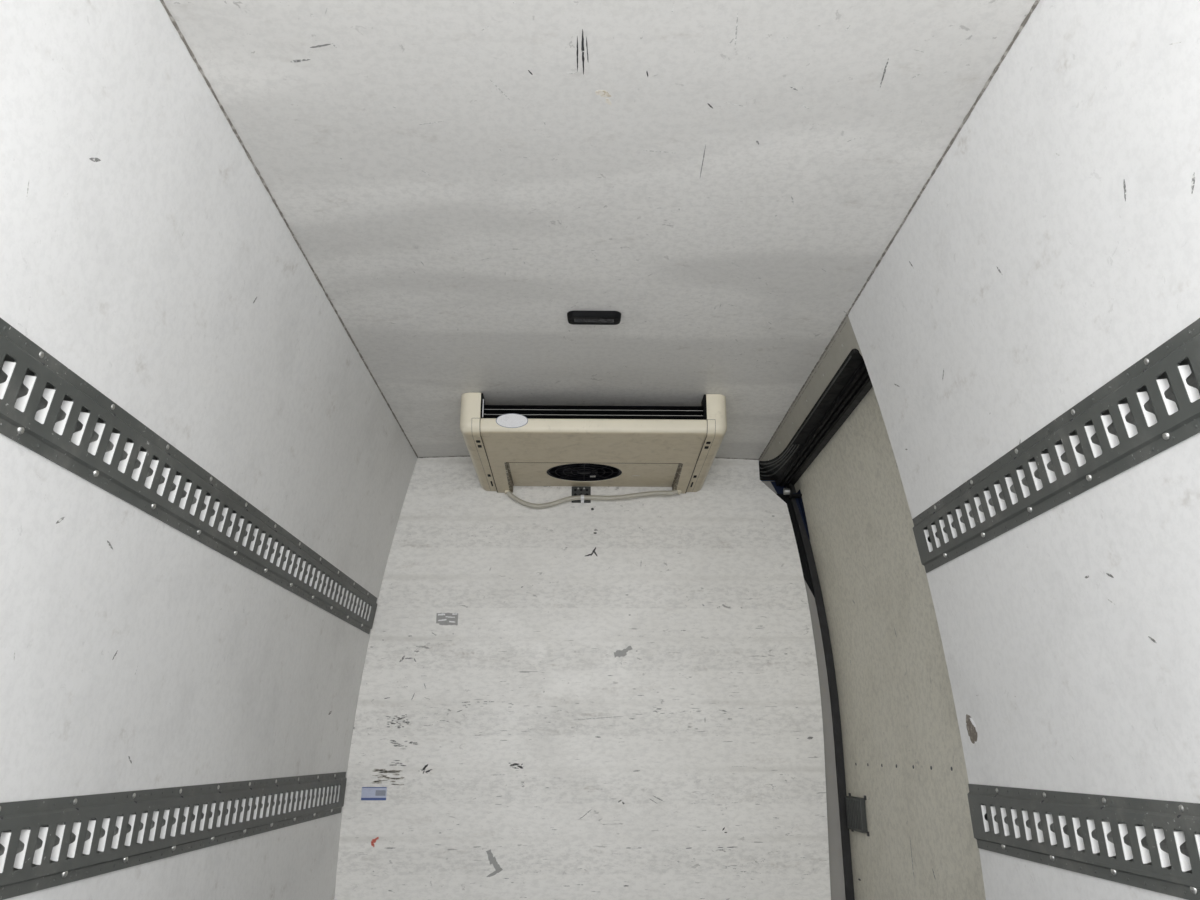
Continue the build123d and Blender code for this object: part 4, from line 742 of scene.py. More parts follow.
class Coat(Enum):
    """The finishes of the compartment."""

    WALL = LiningSkin(
        "wall_skin", (0.80, 0.80, 0.795), streak=(1.0, 0.6, 1.0), dirt=0.50, mottle=0.16, dashes=0.16
    )
    CEILING = LiningSkin(
        "ceiling_skin",
        (0.805, 0.795, 0.77),
        streak=(0.5, 1.0, 1.0),
        dirt=0.5,
        ripple=0.0096,
        mottle=0.29,
        dashes=0.45,
        # Broad arcs of painted shade across the ceiling.
        shade_sweep=0.72,
    )
    BULKHEAD = LiningSkin(
        "bulkhead_skin",
        (0.85, 0.84, 0.81),
        streak=(0.3, 1.0, 1.4),
        dash=(0.62, 1.0, 1.35),
        dirt=0.8,
        mottle=0.50,
        dashes=0.85,
        worn_to=1.62,
        joints=True,
    )
    DOOR_PANEL = LiningSkin(
        "door_panel_skin", (0.69, 0.665, 0.57), streak=(1.0, 0.8, 1.0), mottle=0.48, dashes=0.40
    )
    HEADER = Moulding("header_strip", (0.37, 0.357, 0.31), roughness=0.5, soiled=0.5)
    JAMB = Moulding("jamb_strip", (0.30, 0.292, 0.275), roughness=0.6, soiled=0.6)
    RAIL = Enamel(
        "rail_enamel", (0.074, 0.080, 0.075), chip=(0.42, 0.42, 0.41), worn=0.9, roughness=0.5, dust=0.22
    )
    # Near-white tongues: painted reflection of the bright doorway on their bare metal.
    TONGUE = Enamel(
        "tongue_plating_glint", (0.82, 0.82, 0.81), chip=(0.55, 0.55, 0.54), worn=0.2, roughness=0.4, dust=0.0
    )
    # Grey plated metal of the slot lips and of the backing strips, whose grey partly stands in for the
    # channel's shade.
    BACKING = BareMetal("backing_strip", (0.36, 0.37, 0.36), roughness=0.55)
    ZINC = BareMetal("zinc_plate", (0.56, 0.57, 0.56), roughness=0.42)
    SCREW = BareMetal("screw_steel", (0.62, 0.62, 0.60), roughness=0.36)
    # Cream plastic whose downward faces carry painted shade with dirt.
    CREAM = ShadedAgedMoulding("cream_moulding", (0.815, 0.760, 0.615), roughness=0.42, soiled=0.34)
    BLACK = Moulding("black_moulding", (0.022, 0.023, 0.025), roughness=0.42, soil=(0.10, 0.10, 0.09))
    # Near-black; on the evaporator's coil, outlet ends and cap slots it is painted shade.
    TRACK = Moulding("track_black", (0.0040, 0.0044, 0.0050), 0.6, soil=(0.012, 0.012, 0.012), specular=0.15)
    FAN = Moulding("fan_moulding", (0.0030, 0.0034, 0.0070), 0.6, soil=(0.010, 0.010, 0.014), specular=0.15)
    # Darker copy of the body's blue paint: painted shade on the door pillar's edge.
    PAINT_SHADED = Moulding("pillar_blue_shaded", (0.0040, 0.0100, 0.0330), 0.5, soil=(0.02, 0.02, 0.02), specular=0.2)
    # Grey of the louvres' front edges: painted highlight.
    LOUVRE_GLINT = Moulding(
        "louvre_glint", (0.42, 0.42, 0.40), 0.5, soil=(0.02, 0.02, 0.02), soiled=0.8, specular=0.3
    )
    HUB = Moulding("hub_grey", (0.075, 0.078, 0.085), roughness=0.5, soil=(0.03, 0.03, 0.03), soiled=0.4)
    SMOKE = Moulding(
        "smoked_lens", (0.036, 0.036, 0.038), roughness=0.26, soil=(0.08, 0.08, 0.075), soiled=0.3
    )
    RUBBER = Moulding(
        "seal_rubber", (0.010, 0.010, 0.0105), roughness=0.62, soil=(0.07, 0.068, 0.06), soiled=0.45
    )
    # Grey lines on the seal's lips: painted highlight.
    RUBBER_GLINT = Moulding("seal_glint", (0.13, 0.13, 0.125), roughness=0.5, soil=(0.05, 0.05, 0.05), soiled=0.5)
    SLATE = Moulding(
        "latch_slate", (0.036, 0.040, 0.037), roughness=0.5, soil=(0.085, 0.085, 0.08), soiled=0.4
    )
    HOSE = Moulding("hose_tube", (0.52, 0.50, 0.43), roughness=0.35, soil=(0.26, 0.23, 0.17), soiled=0.6)
    PAINT = Enamel(
        "body_paint", (0.010, 0.028, 0.095), chip=(0.25, 0.25, 0.26), worn=0.15, roughness=0.32, coat=1.0
    )
    STEEL = Enamel(
        "frame_steel", (0.030, 0.031, 0.032), chip=(0.20, 0.12, 0.07), worn=0.8, roughness=0.6, dust=0.45
    )
    FLOOR = GritFloor("grit_floor", (0.17, 0.175, 0.18))
    FINS = FinPack("coil_fins", (0.62, 0.63, 0.63))
    UNIT = Moulding("unit_cover", (0.78, 0.785, 0.78), roughness=0.34, soil=(0.40, 0.38, 0.34), soiled=0.35)
    BEAD = Sealant("joint_sealant", (0.20, 0.185, 0.165))
    LAMP_RED = Lens("lens_red", (0.42, 0.012, 0.010))
    LAMP_AMBER = Lens("lens_amber", (0.75, 0.22, 0.015))
    LAMP_CLEAR = Lens("lens_clear", (0.72, 0.73, 0.74))
    # Brown painted shade along the evaporator recess's side walls.
    RECESS_SHADE = Scuff("recess_shade_brown", (0.15, 0.125, 0.085), ground=(0.52, 0.47, 0.37), cover=0.75, grain=70.0)
    SEAM = Sealant("cream_seam", (0.075, 0.060, 0.040), dotted=0.10)
    LABEL_PALE = Paper("label_pale", (0.50, 0.54, 0.68), rough=0.4)
    SCRATCH = Scuff("scratch_dark", (0.028, 0.028, 0.030), cover=1.05)
    SCUFF = Scuff("scuff_grey", (0.19, 0.19, 0.185), cover=0.70)
    FAINT = Scuff("scuff_faint", (0.40, 0.40, 0.385), cover=0.50)
    ABRASION = Scuff(
        "abrasion_brown", (0.24, 0.225, 0.19), ground=(0.60, 0.58, 0.53), cover=0.60, grain=110.0
    )
    STAIN = Scuff("stain_tan", (0.50, 0.43, 0.31), ground=(0.70, 0.67, 0.61), cover=0.40, grain=60.0)
    TAPE = Paper("tape_grey", (0.33, 0.33, 0.32), rough=0.5)
    SCRAP = Scuff("scrap_brown", (0.17, 0.145, 0.12), ground=(0.34, 0.31, 0.27), cover=0.7, grain=120.0)
    LABEL = Paper("label_white", (0.82, 0.82, 0.83), rough=0.4)
    LABEL_BLUE = Paper("label_blue", (0.060, 0.105, 0.30), rough=0.4)
    LABEL_GREY = Paper("label_grey", (0.28, 0.30, 0.36), rough=0.4)
    BLOT = Scuff("blot_red", (0.48, 0.070, 0.040), ground=(0.66, 0.40, 0.34), cover=0.7)
    TREAD = GritFloor("tread_pad", (0.035, 0.036, 0.038))
    ALLOY = BareMetal("sill_alloy", (0.60, 0.61, 0.62), roughness=0.34, bloom=0.5, drawn=(0.05, 1.0, 1.0))


def both(name: str) -> tuple[str, str]:
    """Names of a left and a right node."""
    return f"{name}_left", f"{name}_right"


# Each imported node's finish
NODE_COATS = {
    Coat.WALL: (*both("lining"), *both("wheel_box")),
    Coat.CEILING: ("ceiling_panel",),
    Coat.BULKHEAD: ("bulkhead_panel",),
    Coat.DOOR_PANEL: ("side_door_lining", *both("rear_door_lining")),
    Coat.HEADER: ("side_door_header",),
    Coat.JAMB: ("side_door_jamb",),
    Coat.RAIL: tuple(f"{rail}_{level}" for rail in both("cargo_rail") for level in ("upper", "lower")),
    Coat.ZINC: (*both("rear_hinge_leaves"), "rear_hinge_brackets", "side_door_roller", "side_door_rail"),
    # The evaporator coil takes the near-black track finish as painted shade deep inside the unit.
    Coat.TRACK: ("side_door_track", "hose_bracket", "evaporator_louvres", "evaporator_coil", "ceiling_lamp"),
    Coat.FAN: ("evaporator_fan_guard", "evaporator_fan", "evaporator_fan_motor"),
    Coat.SLATE: ("side_door_latch",),
    Coat.CREAM: ("evaporator_tray", *both("evaporator_cap")),
    Coat.BLACK: (
        "side_door_grip",
        "rear_lamps",
        "rear_door_handle",
        *both("roof_fan_guard"),
        *both("roof_fan"),
        "side_mouldings",
        "rear_step",
    ),
    Coat.RUBBER: ("side_door_seal", *both("rear_door_seal")),
    Coat.HOSE: ("drain_hose",),
    Coat.PAINT: (
        *both("body_side"),
        *both("rear_door"),
        "roof_panel",
        "rear_frame",
        "front_frame",
        "side_door_shell",
    ),
    Coat.STEEL: ("long_members", "cross_members", "roof_unit_rails"),
    Coat.FLOOR: ("floor_panel",),
    Coat.FINS: ("roof_unit_coil",),
    Coat.UNIT: ("roof_unit_cover",),
}


def paint_nodes() -> None:
    """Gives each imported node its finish."""
    for coat, names in NODE_COATS.items():
        for name in names:
            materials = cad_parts[name].data.materials
            materials.clear()
            materials.append(coat.value.material())


def seat(origin: Vector, across: Vector, up: Vector) -> Matrix:
    """Place of a flat piece: x across, y up and z out of its face.

    Args:
        origin: Where the piece's middle stands.
        across: Its x direction.
        up: Its y direction.

    Returns:
        The seat's matrix.
    """
    out = across.cross(up).normalized()
    rows = Matrix((across.normalized(), up.normalized(), out)).transposed().to_4x4()
    rows.translation = origin
    return rows


def facing_back(origin: Sequence[float]) -> Matrix:
    """Seat that faces the rear of the body."""
    return seat(Vector(origin), Vector((1, 0, 0)), Vector((0, 0, 1)))


def facing_up(origin: Sequence[float]) -> Matrix:
    """Seat that faces up."""
    return seat(Vector(origin), Vector((1, 0, 0)), Vector((0, 1, 0)))


def facing_down(origin: Sequence[float]) -> Matrix:
    """Seat that faces down."""
    return seat(Vector(origin), Vector((1, 0, 0)), Vector((0, -1, 0)))


def facing_side(origin: Sequence[float], side: int) -> Matrix:
    """Seat that faces right where the side is 1, and left where it is -1."""
    return seat(Vector(origin), Vector((0, side, 0)), Vector((0, 0, 1)))


def shift(x: float, y: float, z: float) -> Matrix:
    """Move along a seat's own directions."""
    return Matrix.Translation((x, y, z))


def even(start: float, end: float, count: int) -> list[float]:
    """Even places from a start to an end, with a count of steps between them."""
    return [start + (end - start) * index / count for index in range(count + 1)]


def above_floor(x: float, y: float, height: float) -> Vector:
    """Point at a height above the load floor."""
    return Vector((x, y, FLOOR_Z + height))


def around(count: int, start: float = 0.0) -> list[float]:
    """Even angles round a circle."""
    return [start + FULL_TURN * index / count for index in range(count)]


def round_outline(width: float, height: float, corner: float, steps: int = 4) -> list[Flat]:
    """Rectangle with round corners, anticlockwise round its middle.

    Args:
        width: Width of the rectangle.
        height: Height of the rectangle.
        corner: Radius of its corners.
        steps: Steps round each corner.

    Returns:
        The outline's points.
    """
    points = []
    for index, (sx, sy) in enumerate(((1, 1), (-1, 1), (-1, -1), (1, -1))):
        centre = (sx * (width / 2 - corner), sy * (height / 2 - corner))
        for step in range(steps + 1):
            angle = math.pi / 2 * (index + step / steps)
            points.append((centre[0] + corner * math.cos(angle), centre[1] + corner * math.sin(angle)))
    return points


def circle(radius: float, sides: int = 16, centre: Flat = (0.0, 0.0)) -> list[Flat]:
    """Circle as an outline."""
    return [(centre[0] + radius * math.cos(a), centre[1] + radius * math.sin(a)) for a in around(sides)]


class Solid:
    """Gathers closed shells in one mesh and hands them over as a piece."""

    def __init__(self) -> None:
        """Starts with an empty mesh."""
        self.mesh = bmesh.new()

    def skin(self, rings: Sequence[Sequence[Vector]], looped: bool = False) -> None:
        """Adds a closed shell through rings of points.

        Args:
            rings: Rings with the same number of points.
            looped: True where the last ring joins the first, and nothing is capped.
        """
        rows = [[self.mesh.verts.new(point) for point in ring] for ring in rings]
        pairs = list(zip(rows, rows[1:]))
        if looped:
            pairs.append((rows[-1], rows[0]))
        for first, second in pairs:
            for index in range(len(first)):
                after = (index + 1) % len(first)
                self.mesh.faces.new((first[index], first[after], second[after], second[index]))
        if not looped:
            self.mesh.faces.new(list(reversed(rows[0])))
            self.mesh.faces.new(rows[-1])

    def stack(self, place: Matrix, layers: Sequence[tuple[Sequence[Flat], float]]) -> None:
        """Adds a shell through outlines at depths, on a place."""
        self.skin([[place @ Vector((x, y, depth)) for x, y in outline] for outline, depth in layers])

    def plate(
        self, place: Matrix, size: Flat, corner: float, low: float, high: float, edge: float = 0.0
    ) -> None:
        """Adds a plate with round corners and an eased outer edge.

        Args:
            place: Place of the plate's middle.
            size: Width and height.
            corner: Radius of the corners.
            low: Depth at which it starts.
            high: Depth of its outer face.
            edge: How far the outer edge is eased.
        """
        layers = [(round_outline(*size, corner), low)]
        if edge:
            for share in (0.0, 0.3, 1.0):
                inset = 2 * edge * (1 - math.sqrt(1 - share**2))
                radius = max(corner - inset / 2, 0.0002)
                outline = round_outline(size[0] - inset, size[1] - inset, radius)
                layers.append((outline, high - edge * (1 - share)))
        else:
            layers.append((round_outline(*size, corner), high))
        self.stack(place, layers)

    def pierced(
        self, place: Matrix, outline: Sequence[Flat], holes: Sequence[Sequence[Flat]], low: float, high: float
    ) -> None:
        """Adds a plate with holes through it.

        Args:
            place: Place of the plate.
            outline: Outer outline.
            holes: Outlines of the holes.
            low: Depth of its back.
            high: Depth of its face.
        """
        loops = [list(outline), *[list(hole) for hole in holes]]
        flat = [point for loop in loops for point in loop]
        triangles = tessellate_polygon([[Vector((x, y, 0.0)) for x, y in loop] for loop in loops])
        sheets = [
            [self.mesh.verts.new(place @ Vector((x, y, depth))) for x, y in flat] for depth in (low, high)
        ]
        for triangle in triangles:
            self.mesh.faces.new([sheets[1][index] for index in triangle])
            self.mesh.faces.new([sheets[0][index] for index in reversed(triangle)])
        start = 0
        for loop in loops:
            for index in range(len(loop)):
                here, after = start + index, start + (index + 1) % len(loop)
                self.mesh.faces.new((sheets[0][here], sheets[0][after], sheets[1][after], sheets[1][here]))
            start += len(loop)

    def lathe(self, place: Matrix, profile: Sequence[Flat], sides: int = 16) -> None:
        """Adds a turned shell, its profile given as radius and depth."""
        self.stack(place, [(circle(max(radius, 0.00005), sides), depth) for radius, depth in profile])

    def head(self, place: Matrix, radius: float, height: float, sides: int = 12) -> None:
        """Adds a low domed screw or rivet head, whose foot is sunk a little."""
        steps = ((1.0, -HEAD_SINK / height), (1.0, 0.25), (0.86, 0.62), (0.55, 0.90), (0.18, 1.0))
        self.lathe(place, [(radius * wide, height * high) for wide, high in steps], sides)

    def bolt(self, place: Matrix, radius: float, height: float) -> None:
        """Adds a hexagon bolt head on its washer.

        Args:
            place: Place of the bolt.
            radius: Radius of the hexagon.
            height: Height of the head.
        """
        washer = radius * 1.35
        self.lathe(place, [(washer, -HEAD_SINK), (washer, height * 0.2), (radius * 1.2, height * 0.28)], 20)
        self.lathe(place, [(radius, 0.0), (radius, height * 0.86), (radius * 0.82, height)], 6)

    def strip(self, edges: Sequence[tuple[Vector, Vector]], travel: Vector) -> None:
        """Adds a band between pairs of points, thickened by a travel."""
        self.skin([(a, b, b + travel, a + travel) for a, b in edges])

    def tube(self, points: Sequence[Vector], radius: float | Sequence[float], sides: int = 8) -> None:
        """Adds a capped tube along points, with one radius or one a point.

        Args:
            points: Points of its middle line.
            radius: Its radius.
            sides: Sides of its section.
        """
        radii = [radius] * len(points) if isinstance(radius, float) else list(radius)
        across = Vector((0.0, 0.0, 1.0))
        rings = []
        for index, point in enumerate(points):
            ahead = points[min(index + 1, len(points) - 1)] - points[max(index - 1, 0)]
            across = (across - across.project(ahead)).normalized()
            other = ahead.cross(across).normalized()
            rings.append([point + across * x + other * y for x, y in circle(radii[index], sides)])
        self.skin(rings)

    def piece(self, name: str, coat: Coat, body: str = BODY, slot: str = "") -> bpy.types.Object:
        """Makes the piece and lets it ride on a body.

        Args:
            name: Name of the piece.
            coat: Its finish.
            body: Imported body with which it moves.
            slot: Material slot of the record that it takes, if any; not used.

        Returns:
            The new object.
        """
        bmesh.ops.recalc_face_normals(self.mesh, faces=self.mesh.faces)
        data = bpy.data.meshes.new(name)
        self.mesh.to_mesh(data)
        self.mesh.free()
        data.polygons.foreach_set("use_smooth", [True] * len(data.polygons))
        data.set_sharp_from_angle(angle=SMOOTH_ANGLE)
        data.materials.append(coat.value.material())
        made = bpy.data.objects.new(name, data)
        bpy.context.scene.collection.objects.link(made)
        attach(made, body)
        logging.info("%s: %d faces on %s", name, len(data.polygons), body)
        return made


@dataclass(frozen=True)
class Studio:
    """Camera at the photograph's angle, plain pale floor, world and soft lamps."""

    eye: Tone = (-0.02, -1.80, 0.955)
    tilt: float = 17.91
    turn: float = -1.05
    lens: float = 27.9
    rear_light: float = 240.0
    top_light: float = 160.0
    doorway_light: float = 16.5
    doorway_low_light: float = 6.1
    sky: float = 0.85

    def build(self) -> None:
        """Makes the camera, the floor, the world and the lamps."""
        self.add_camera()
        self.add_floor()
        self.add_world()
        self.add_lamp("rear_lamp_area", (0.0, -6.2, 3.0), (6.5, 4.0), (0.0, 1.0, 1.2), self.rear_light)
        self.add_lamp("top_lamp_area", (0.0, 0.0, 8.0), (9.0, 9.0), (0.0, 0.0, 0.0), self.top_light)
        doorway = (
            ("doorway_lamp_area", 1.50, self.doorway_light),
            ("doorway_low_lamp_area", 0.70, self.doorway_low_light),
        )
        for name, height, power in doorway:
            self.add_lamp(name, (0.0, -1.70, height), (1.40, 0.80), (0.0, 0.0, height), power)

    def add_camera(self) -> None:
        """Stands the camera in the rear doorway, looking up and forward."""
        data = bpy.data.cameras.new("camera")
        data.sensor_width = 36.0
        data.lens = self.lens
        data.clip_start = 0.01
        camera = bpy.data.objects.new("camera", data)
        camera.location = self.eye
        camera.rotation_euler = (math.radians(90.0 + self.tilt), 0.0, math.radians(self.turn))
        bpy.context.scene.collection.objects.link(camera)
        bpy.context.scene.camera = camera

    def add_floor(self) -> None:
        """Lays the pale floor under the compartment."""
        mesh = bmesh.new()
        half, thickness = 20.0, 0.02
        bmesh.ops.create_cube(mesh, size=1.0, matrix=Matrix.Diagonal((2 * half, 2 * half, thickness, 1.0)))
        bmesh.ops.translate(mesh, verts=mesh.verts, vec=(0.0, 0.0, -thickness / 2 - 0.0005))
        data = bpy.data.meshes.new("studio_floor")
        mesh.to_mesh(data)
        mesh.free()
        floor = bpy.data.objects.new("studio_floor", data)
        bpy.context.scene.collection.objects.link(floor)
        shade = Shade("studio_floor", roughness=0.85)
        tint = shade.band(shade.noise(0.6, detail=2.0), 0.3, 0.7)
        data.materials.append(shade.finish(shade.blend(tint, (0.78, 0.78, 0.77), (0.80, 0.80, 0.79))))

    def add_world(self) -> None:
        """Sets an even sky, which camera, glossy and transmitted rays see as a pale backdrop."""
        world = bpy.data.worlds.new("studio_world")
        bpy.context.scene.world = world
        world.use_nodes = True
        tree = world.node_tree
        sky = tree.nodes["Background"]
        sky.inputs["Color"].default_value = (0.97, 0.985, 1.0, 1.0)
        sky.inputs["Strength"].default_value = self.sky
        backdrop = tree.nodes.new("ShaderNodeBackground")
        backdrop.inputs["Color"].default_value = (0.90, 0.90, 0.895, 1.0)
        backdrop.inputs["Strength"].default_value = 1.0
        path = tree.nodes.new("ShaderNodeLightPath")
        seen = path.outputs["Is Camera Ray"]
        for other in ("Is Glossy Ray", "Is Transmission Ray"):
            either = tree.nodes.new("ShaderNodeMath")
            either.operation = "MAXIMUM"
            tree.links.new(seen, either.inputs[0])
            tree.links.new(path.outputs[other], either.inputs[1])
            seen = either.outputs[0]
        mix = tree.nodes.new("ShaderNodeMixShader")
        tree.links.new(seen, mix.inputs["Fac"])
        tree.links.new(sky.outputs[0], mix.inputs[1])
        tree.links.new(backdrop.outputs[0], mix.inputs[2])
        tree.links.new(mix.outputs[0], tree.nodes["World Output"].inputs["Surface"])

    def add_lamp(self, name: str, place: Tone, size: Flat, target: Tone, power: float) -> None:
        """Hangs a soft rectangular lamp aimed at a target.

        Args:
            name: Name of the lamp.
            place: Where it hangs.
            size: Width and height of its face.
            target: Point at which it is aimed.
            power: Its power in watts.
        """
        data = bpy.data.lights.new(name, "AREA")
        data.shape = "RECTANGLE"
        data.size, data.size_y = size
        data.energy = power
        lamp = bpy.data.objects.new(name, data)
        lamp.location = place
        lamp.rotation_euler = (Vector(target) - Vector(place)).to_track_quat("-Z", "Y").to_euler()
        lamp.visible_camera = False
        bpy.context.scene.collection.objects.link(lamp)


@dataclass(frozen=True)
class DrainHose:
    """Defrost drain hose clipped under the evaporator."""

    radius: float = 0.0085
    length: float = 0.686
    route: tuple[Tone, ...] = (
        (-0.308, 1.572, 1.890),
        (-0.302, 1.572, 1.873),
        (-0.283, 1.573, 1.857),
        (-0.251, 1.574, 1.838),
        (-0.220, 1.575, 1.827),
        (-0.189, 1.575, 1.823),
        (-0.157, 1.575, 1.827),
        (-0.127, 1.575, 1.835),
        (-0.096, 1.575, 1.847),
        (-0.062, 1.575, 1.856),
        (-0.024, 1.575, 1.858),
        (0.020, 1.575, 1.858),
        (0.070, 1.574, 1.856),
        (0.117, 1.572, 1.858),
        (0.164, 1.569, 1.864),
        (0.211, 1.565, 1.870),
        (0.258, 1.560, 1.873),
        (0.300, 1.557, 1.872),
        (0.326, 1.558, 1.875),
        (0.341, 1.561, 1.891),
    )

    def build(self) -> None:
        curve = bpy.data.curves.new("drain_hose_tube", "CURVE")
        curve.dimensions = "3D"
        curve.resolution_u = 10
        curve.bevel_depth = self.radius
        curve.bevel_resolution = 5
        curve.use_fill_caps = True
        spline = curve.splines.new("NURBS")
        spline.points.add(len(self.route) - 1)
        for point, place in zip(spline.points, self.route):
            point.co = (*place, 1.0)
        spline.order_u = 3
        spline.use_endpoint_u = True
        curve.materials.append(Coat.HOSE.value.material())
        hose = bpy.data.objects.new("drain_hose_tube", curve)
        bpy.context.scene.collection.objects.link(hose)
        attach(hose, BODY)
        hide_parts("drain_hose")
        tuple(self.route[0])
        logging.info("drain_hose_tube: %d route points", len(self.route))


@dataclass(frozen=True)
class CargoRail:
    """Dressing of one cargo rail: bent tongues in the slots, a backing strip that partly stands in for the
    channel's shade, studs and screws.
    """

    side: Side
    level: str
    height: float
    front: float
    rear: float = -1.580
    depth: float = 0.008
    stand_off: float = 0.00066
    half_height: float = 0.065
    pitch: float = 0.048
    slot_half: Flat = (0.0125, 0.0285)
    tongue_deep: float = 0.0145
    tongue_waist: float = 0.0030
    tongue_sheet: float = 0.0016
    flange: float = 0.017
    screw_pitch: float = 0.204

    @property
    def name(self) -> str:
        """The rail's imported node."""
        return f"cargo_rail_{self.side.word}_{self.level}"

    def spot(self, y: float, rise: float, lift: float) -> Vector:
        """Point on the rail.

        Args:
            y: Place along the body.
            rise: Height above the rail's middle, along the wall.
            lift: Distance off the flange's back.

        Returns:
            The point in the body's frame.
        """
        inward = LINING.inward(self.side, self.height)
        upward = LINING.upward(self.side, self.height)
        foot = LINING.spot(self.side, y, self.height, self.stand_off)
        return foot + upward * rise + inward * lift

    def place(self, y: float, rise: float, lift: float) -> Matrix:
        """Seat of a small piece on the rail, facing the load space.

        Args:
            y: Place along the body.
            rise: Height above the rail's middle, along the wall.
            lift: Distance off the flange's back.

        Returns:
            The seat's matrix.
        """
        upward = LINING.upward(self.side, self.height)
        across = Vector((0.0, -self.side.value, 0.0))
        return seat(self.spot(y, rise, lift), across, upward)

    def slots(self) -> list[float]:
        """Places of the slots along the body.

        Returns:
            The slots' middles, from the rear.
        """
        length = self.front - self.rear
        count = int((length - 2 * self.pitch) / self.pitch + 1e-6)
        middle = (self.front + self.rear) / 2
        return [middle + (index - (count - 1) / 2) * self.pitch for index in range(count)]

    def tongue_depth(self, rise: float) -> float:
        """How deep the tongue reaches at a rise: deep above and below, narrow at the waist.

        Args:
            rise: Height above the rail's middle.

        Returns:
            The depth.
        """
        away = min(max((abs(rise - 0.001) - 0.0030) / 0.0095, 0.0), 1.0)
        swell = away * away * (3 - 2 * away)
        end = min(max((self.slot_half[1] - 0.001 - abs(rise)) / 0.004, 0.0), 1.0)
        rounding = math.sqrt(1 - (1 - end) ** 2)
        return (self.tongue_waist + (self.tongue_deep - self.tongue_waist) * swell) * (0.35 + 0.65 * rounding)

    def build(self) -> None:
        """Makes the rail's pieces."""
        self.add_tongues()
        self.add_backing_and_shade()
        self.add_fasteners()

    def add_tongues(self) -> None:
        """Adds the bare tongue bent in along each slot's front edge, whose near-white colour is a painted
        reflection, and the painted lip at its rear edge.
        """
        tongues, lips = Solid(), Solid()
        half_wide, half_high = self.slot_half
        top = self.depth - 0.0006
        for y in self.slots():
            edge = y + half_wide - self.tongue_sheet - 0.0001
            pairs = [
                (self.spot(edge, rise, top), self.spot(edge, rise, top - self.tongue_depth(rise)))
                for rise in even(-half_high + 0.001, half_high - 0.004, 26)
            ]
            tongues.strip(pairs, Vector((0.0, self.tongue_sheet, 0.0)))
            rear = y - half_wide + 0.0001
            lip = [
                (self.spot(rear, rise, self.depth - 0.0010), self.spot(rear, rise, self.depth - 0.0062))
                for rise in (-half_high + 0.003, 0.0, half_high - 0.003)
            ]
            lips.strip(lip, Vector((0.0, 0.0011, 0.0)))
        # Near-white: painted reflection on the tongues' bare metal.
        tongues.piece(f"{self.name}_tongues", Coat.TONGUE, slot="zinc")
        lips.piece(f"{self.name}_lips", Coat.BACKING, slot="zinc")

    def add_backing_and_shade(self) -> None:
        """Adds the plated strip at the bottom of the channel behind the slots, whose grey also stands in for
        the channel's shade.
        """
        backing = Solid()
        half, low, high = 0.0385, -0.0125, -0.0112
        section = ((-half, low), (half, low), (half, high), (-half, high))
        ends = (self.rear + self.flange + 0.002, self.front - self.flange - 0.002)
        backing.skin([[self.spot(y, rise, lift) for rise, lift in section] for y in ends])
        backing.piece(f"{self.name}_backing", Coat.BACKING, slot="zinc")

    def add_fasteners(self) -> None:
        """Adds the small studs at each slot, the screws at each fixing and, beside them, black domes that are
        painted shade of holes.
        """
        studs, screws, hole_shades = Solid(), Solid(), Solid()
        edge = self.half_height - 0.0085
        low = -self.half_height + self.flange - 0.001
        sheet = 0.003
        for y in self.slots():
            for rise in (edge, -edge):
                studs.head(self.place(y + self.pitch / 2, rise, sheet), 0.0026, 0.0011, sides=10)
        fixings = int((self.front - self.rear - 0.10) / self.screw_pitch)
        start = (self.front + self.rear) / 2 - fixings * self.screw_pitch / 2
        for index in range(fixings + 1):
            y = start + index * self.screw_pitch
            screws.head(self.place(y, edge + 0.0005, sheet), 0.0048, 0.0022, sides=14)
            screws.head(self.place(y + 0.012, low, sheet), 0.0062, 0.0040, sides=16)
            # Black domes beside the screws: painted shade of the holes there.
            hole_shades.head(self.place(y + 0.006, edge - 0.0115, self.depth - 0.0045), 0.0030, 0.0050, sides=10)
        studs.piece(f"{self.name}_studs", Coat.RAIL, slot="rail_paint")
        screws.piece(f"{self.name}_screws", Coat.SCREW, slot="zinc")
        hole_shades.piece(f"{self.name}_dimples", Coat.BLACK, slot="black_plastic")


RAILS = (
    CargoRail(Side.LEFT, "upper", 1.195, 1.575),
    CargoRail(Side.LEFT, "lower", 0.601, 1.575),
    CargoRail(Side.RIGHT, "upper", 1.195, 0.342),
    CargoRail(Side.RIGHT, "lower", 0.601, 0.347),
)


@dataclass(frozen=True)
class JointBeads:
    """Lines of old sealant where the lining's panels meet."""

    radius: float = 0.0027
    step: float = 0.012

    def build(self) -> None:
        """Makes the beads along the ceiling and round the bulkhead."""
        rng = random.Random(11)
        for side, front in ((Side.LEFT, FRONT), (Side.RIGHT, FRONT - 0.002)):
            x, z = side.value * (CEILING_EDGE - 0.0008), FLOOR_Z + 1.800 - 0.0006
            points = [Vector((x, y, z)) for y in self.stations(REAR + 0.002, front - 0.003)]
            self.run(points, f"ceiling_bead_{side.word}", rng)
        across = [
            Vector((x, FRONT - 0.0008, ceiling_height(x) - 0.0006))
            for x in self.stations(-CEILING_EDGE + 0.004, 0.652)
        ]
        self.run(across, "ceiling_bead_front", rng)
        upright = [
            LINING.spot(Side.LEFT, FRONT - 0.0008, height, 0.0006) for height in self.stations(0.002, 1.796)
        ]
        self.run(upright, "bulkhead_bead_left", rng)

    def stations(self, start: float, end: float) -> list[float]:
        """Even places from a start to an end."""
        return even(start, end, int((end - start) / self.step))

    def run(self, points: Sequence[Vector], name: str, rng: random.Random) -> None:
        """Lays one bead along points.

        Args:
            points: The joint's line.
            name: Name of the piece.
            rng: Source of its unevenness.
        """
        bead = Solid()
        bead.tube(points, [self.radius * rng.uniform(0.62, 1.25) for _ in points], sides=8)
        bead.piece(name, Coat.BEAD, slot="seal")


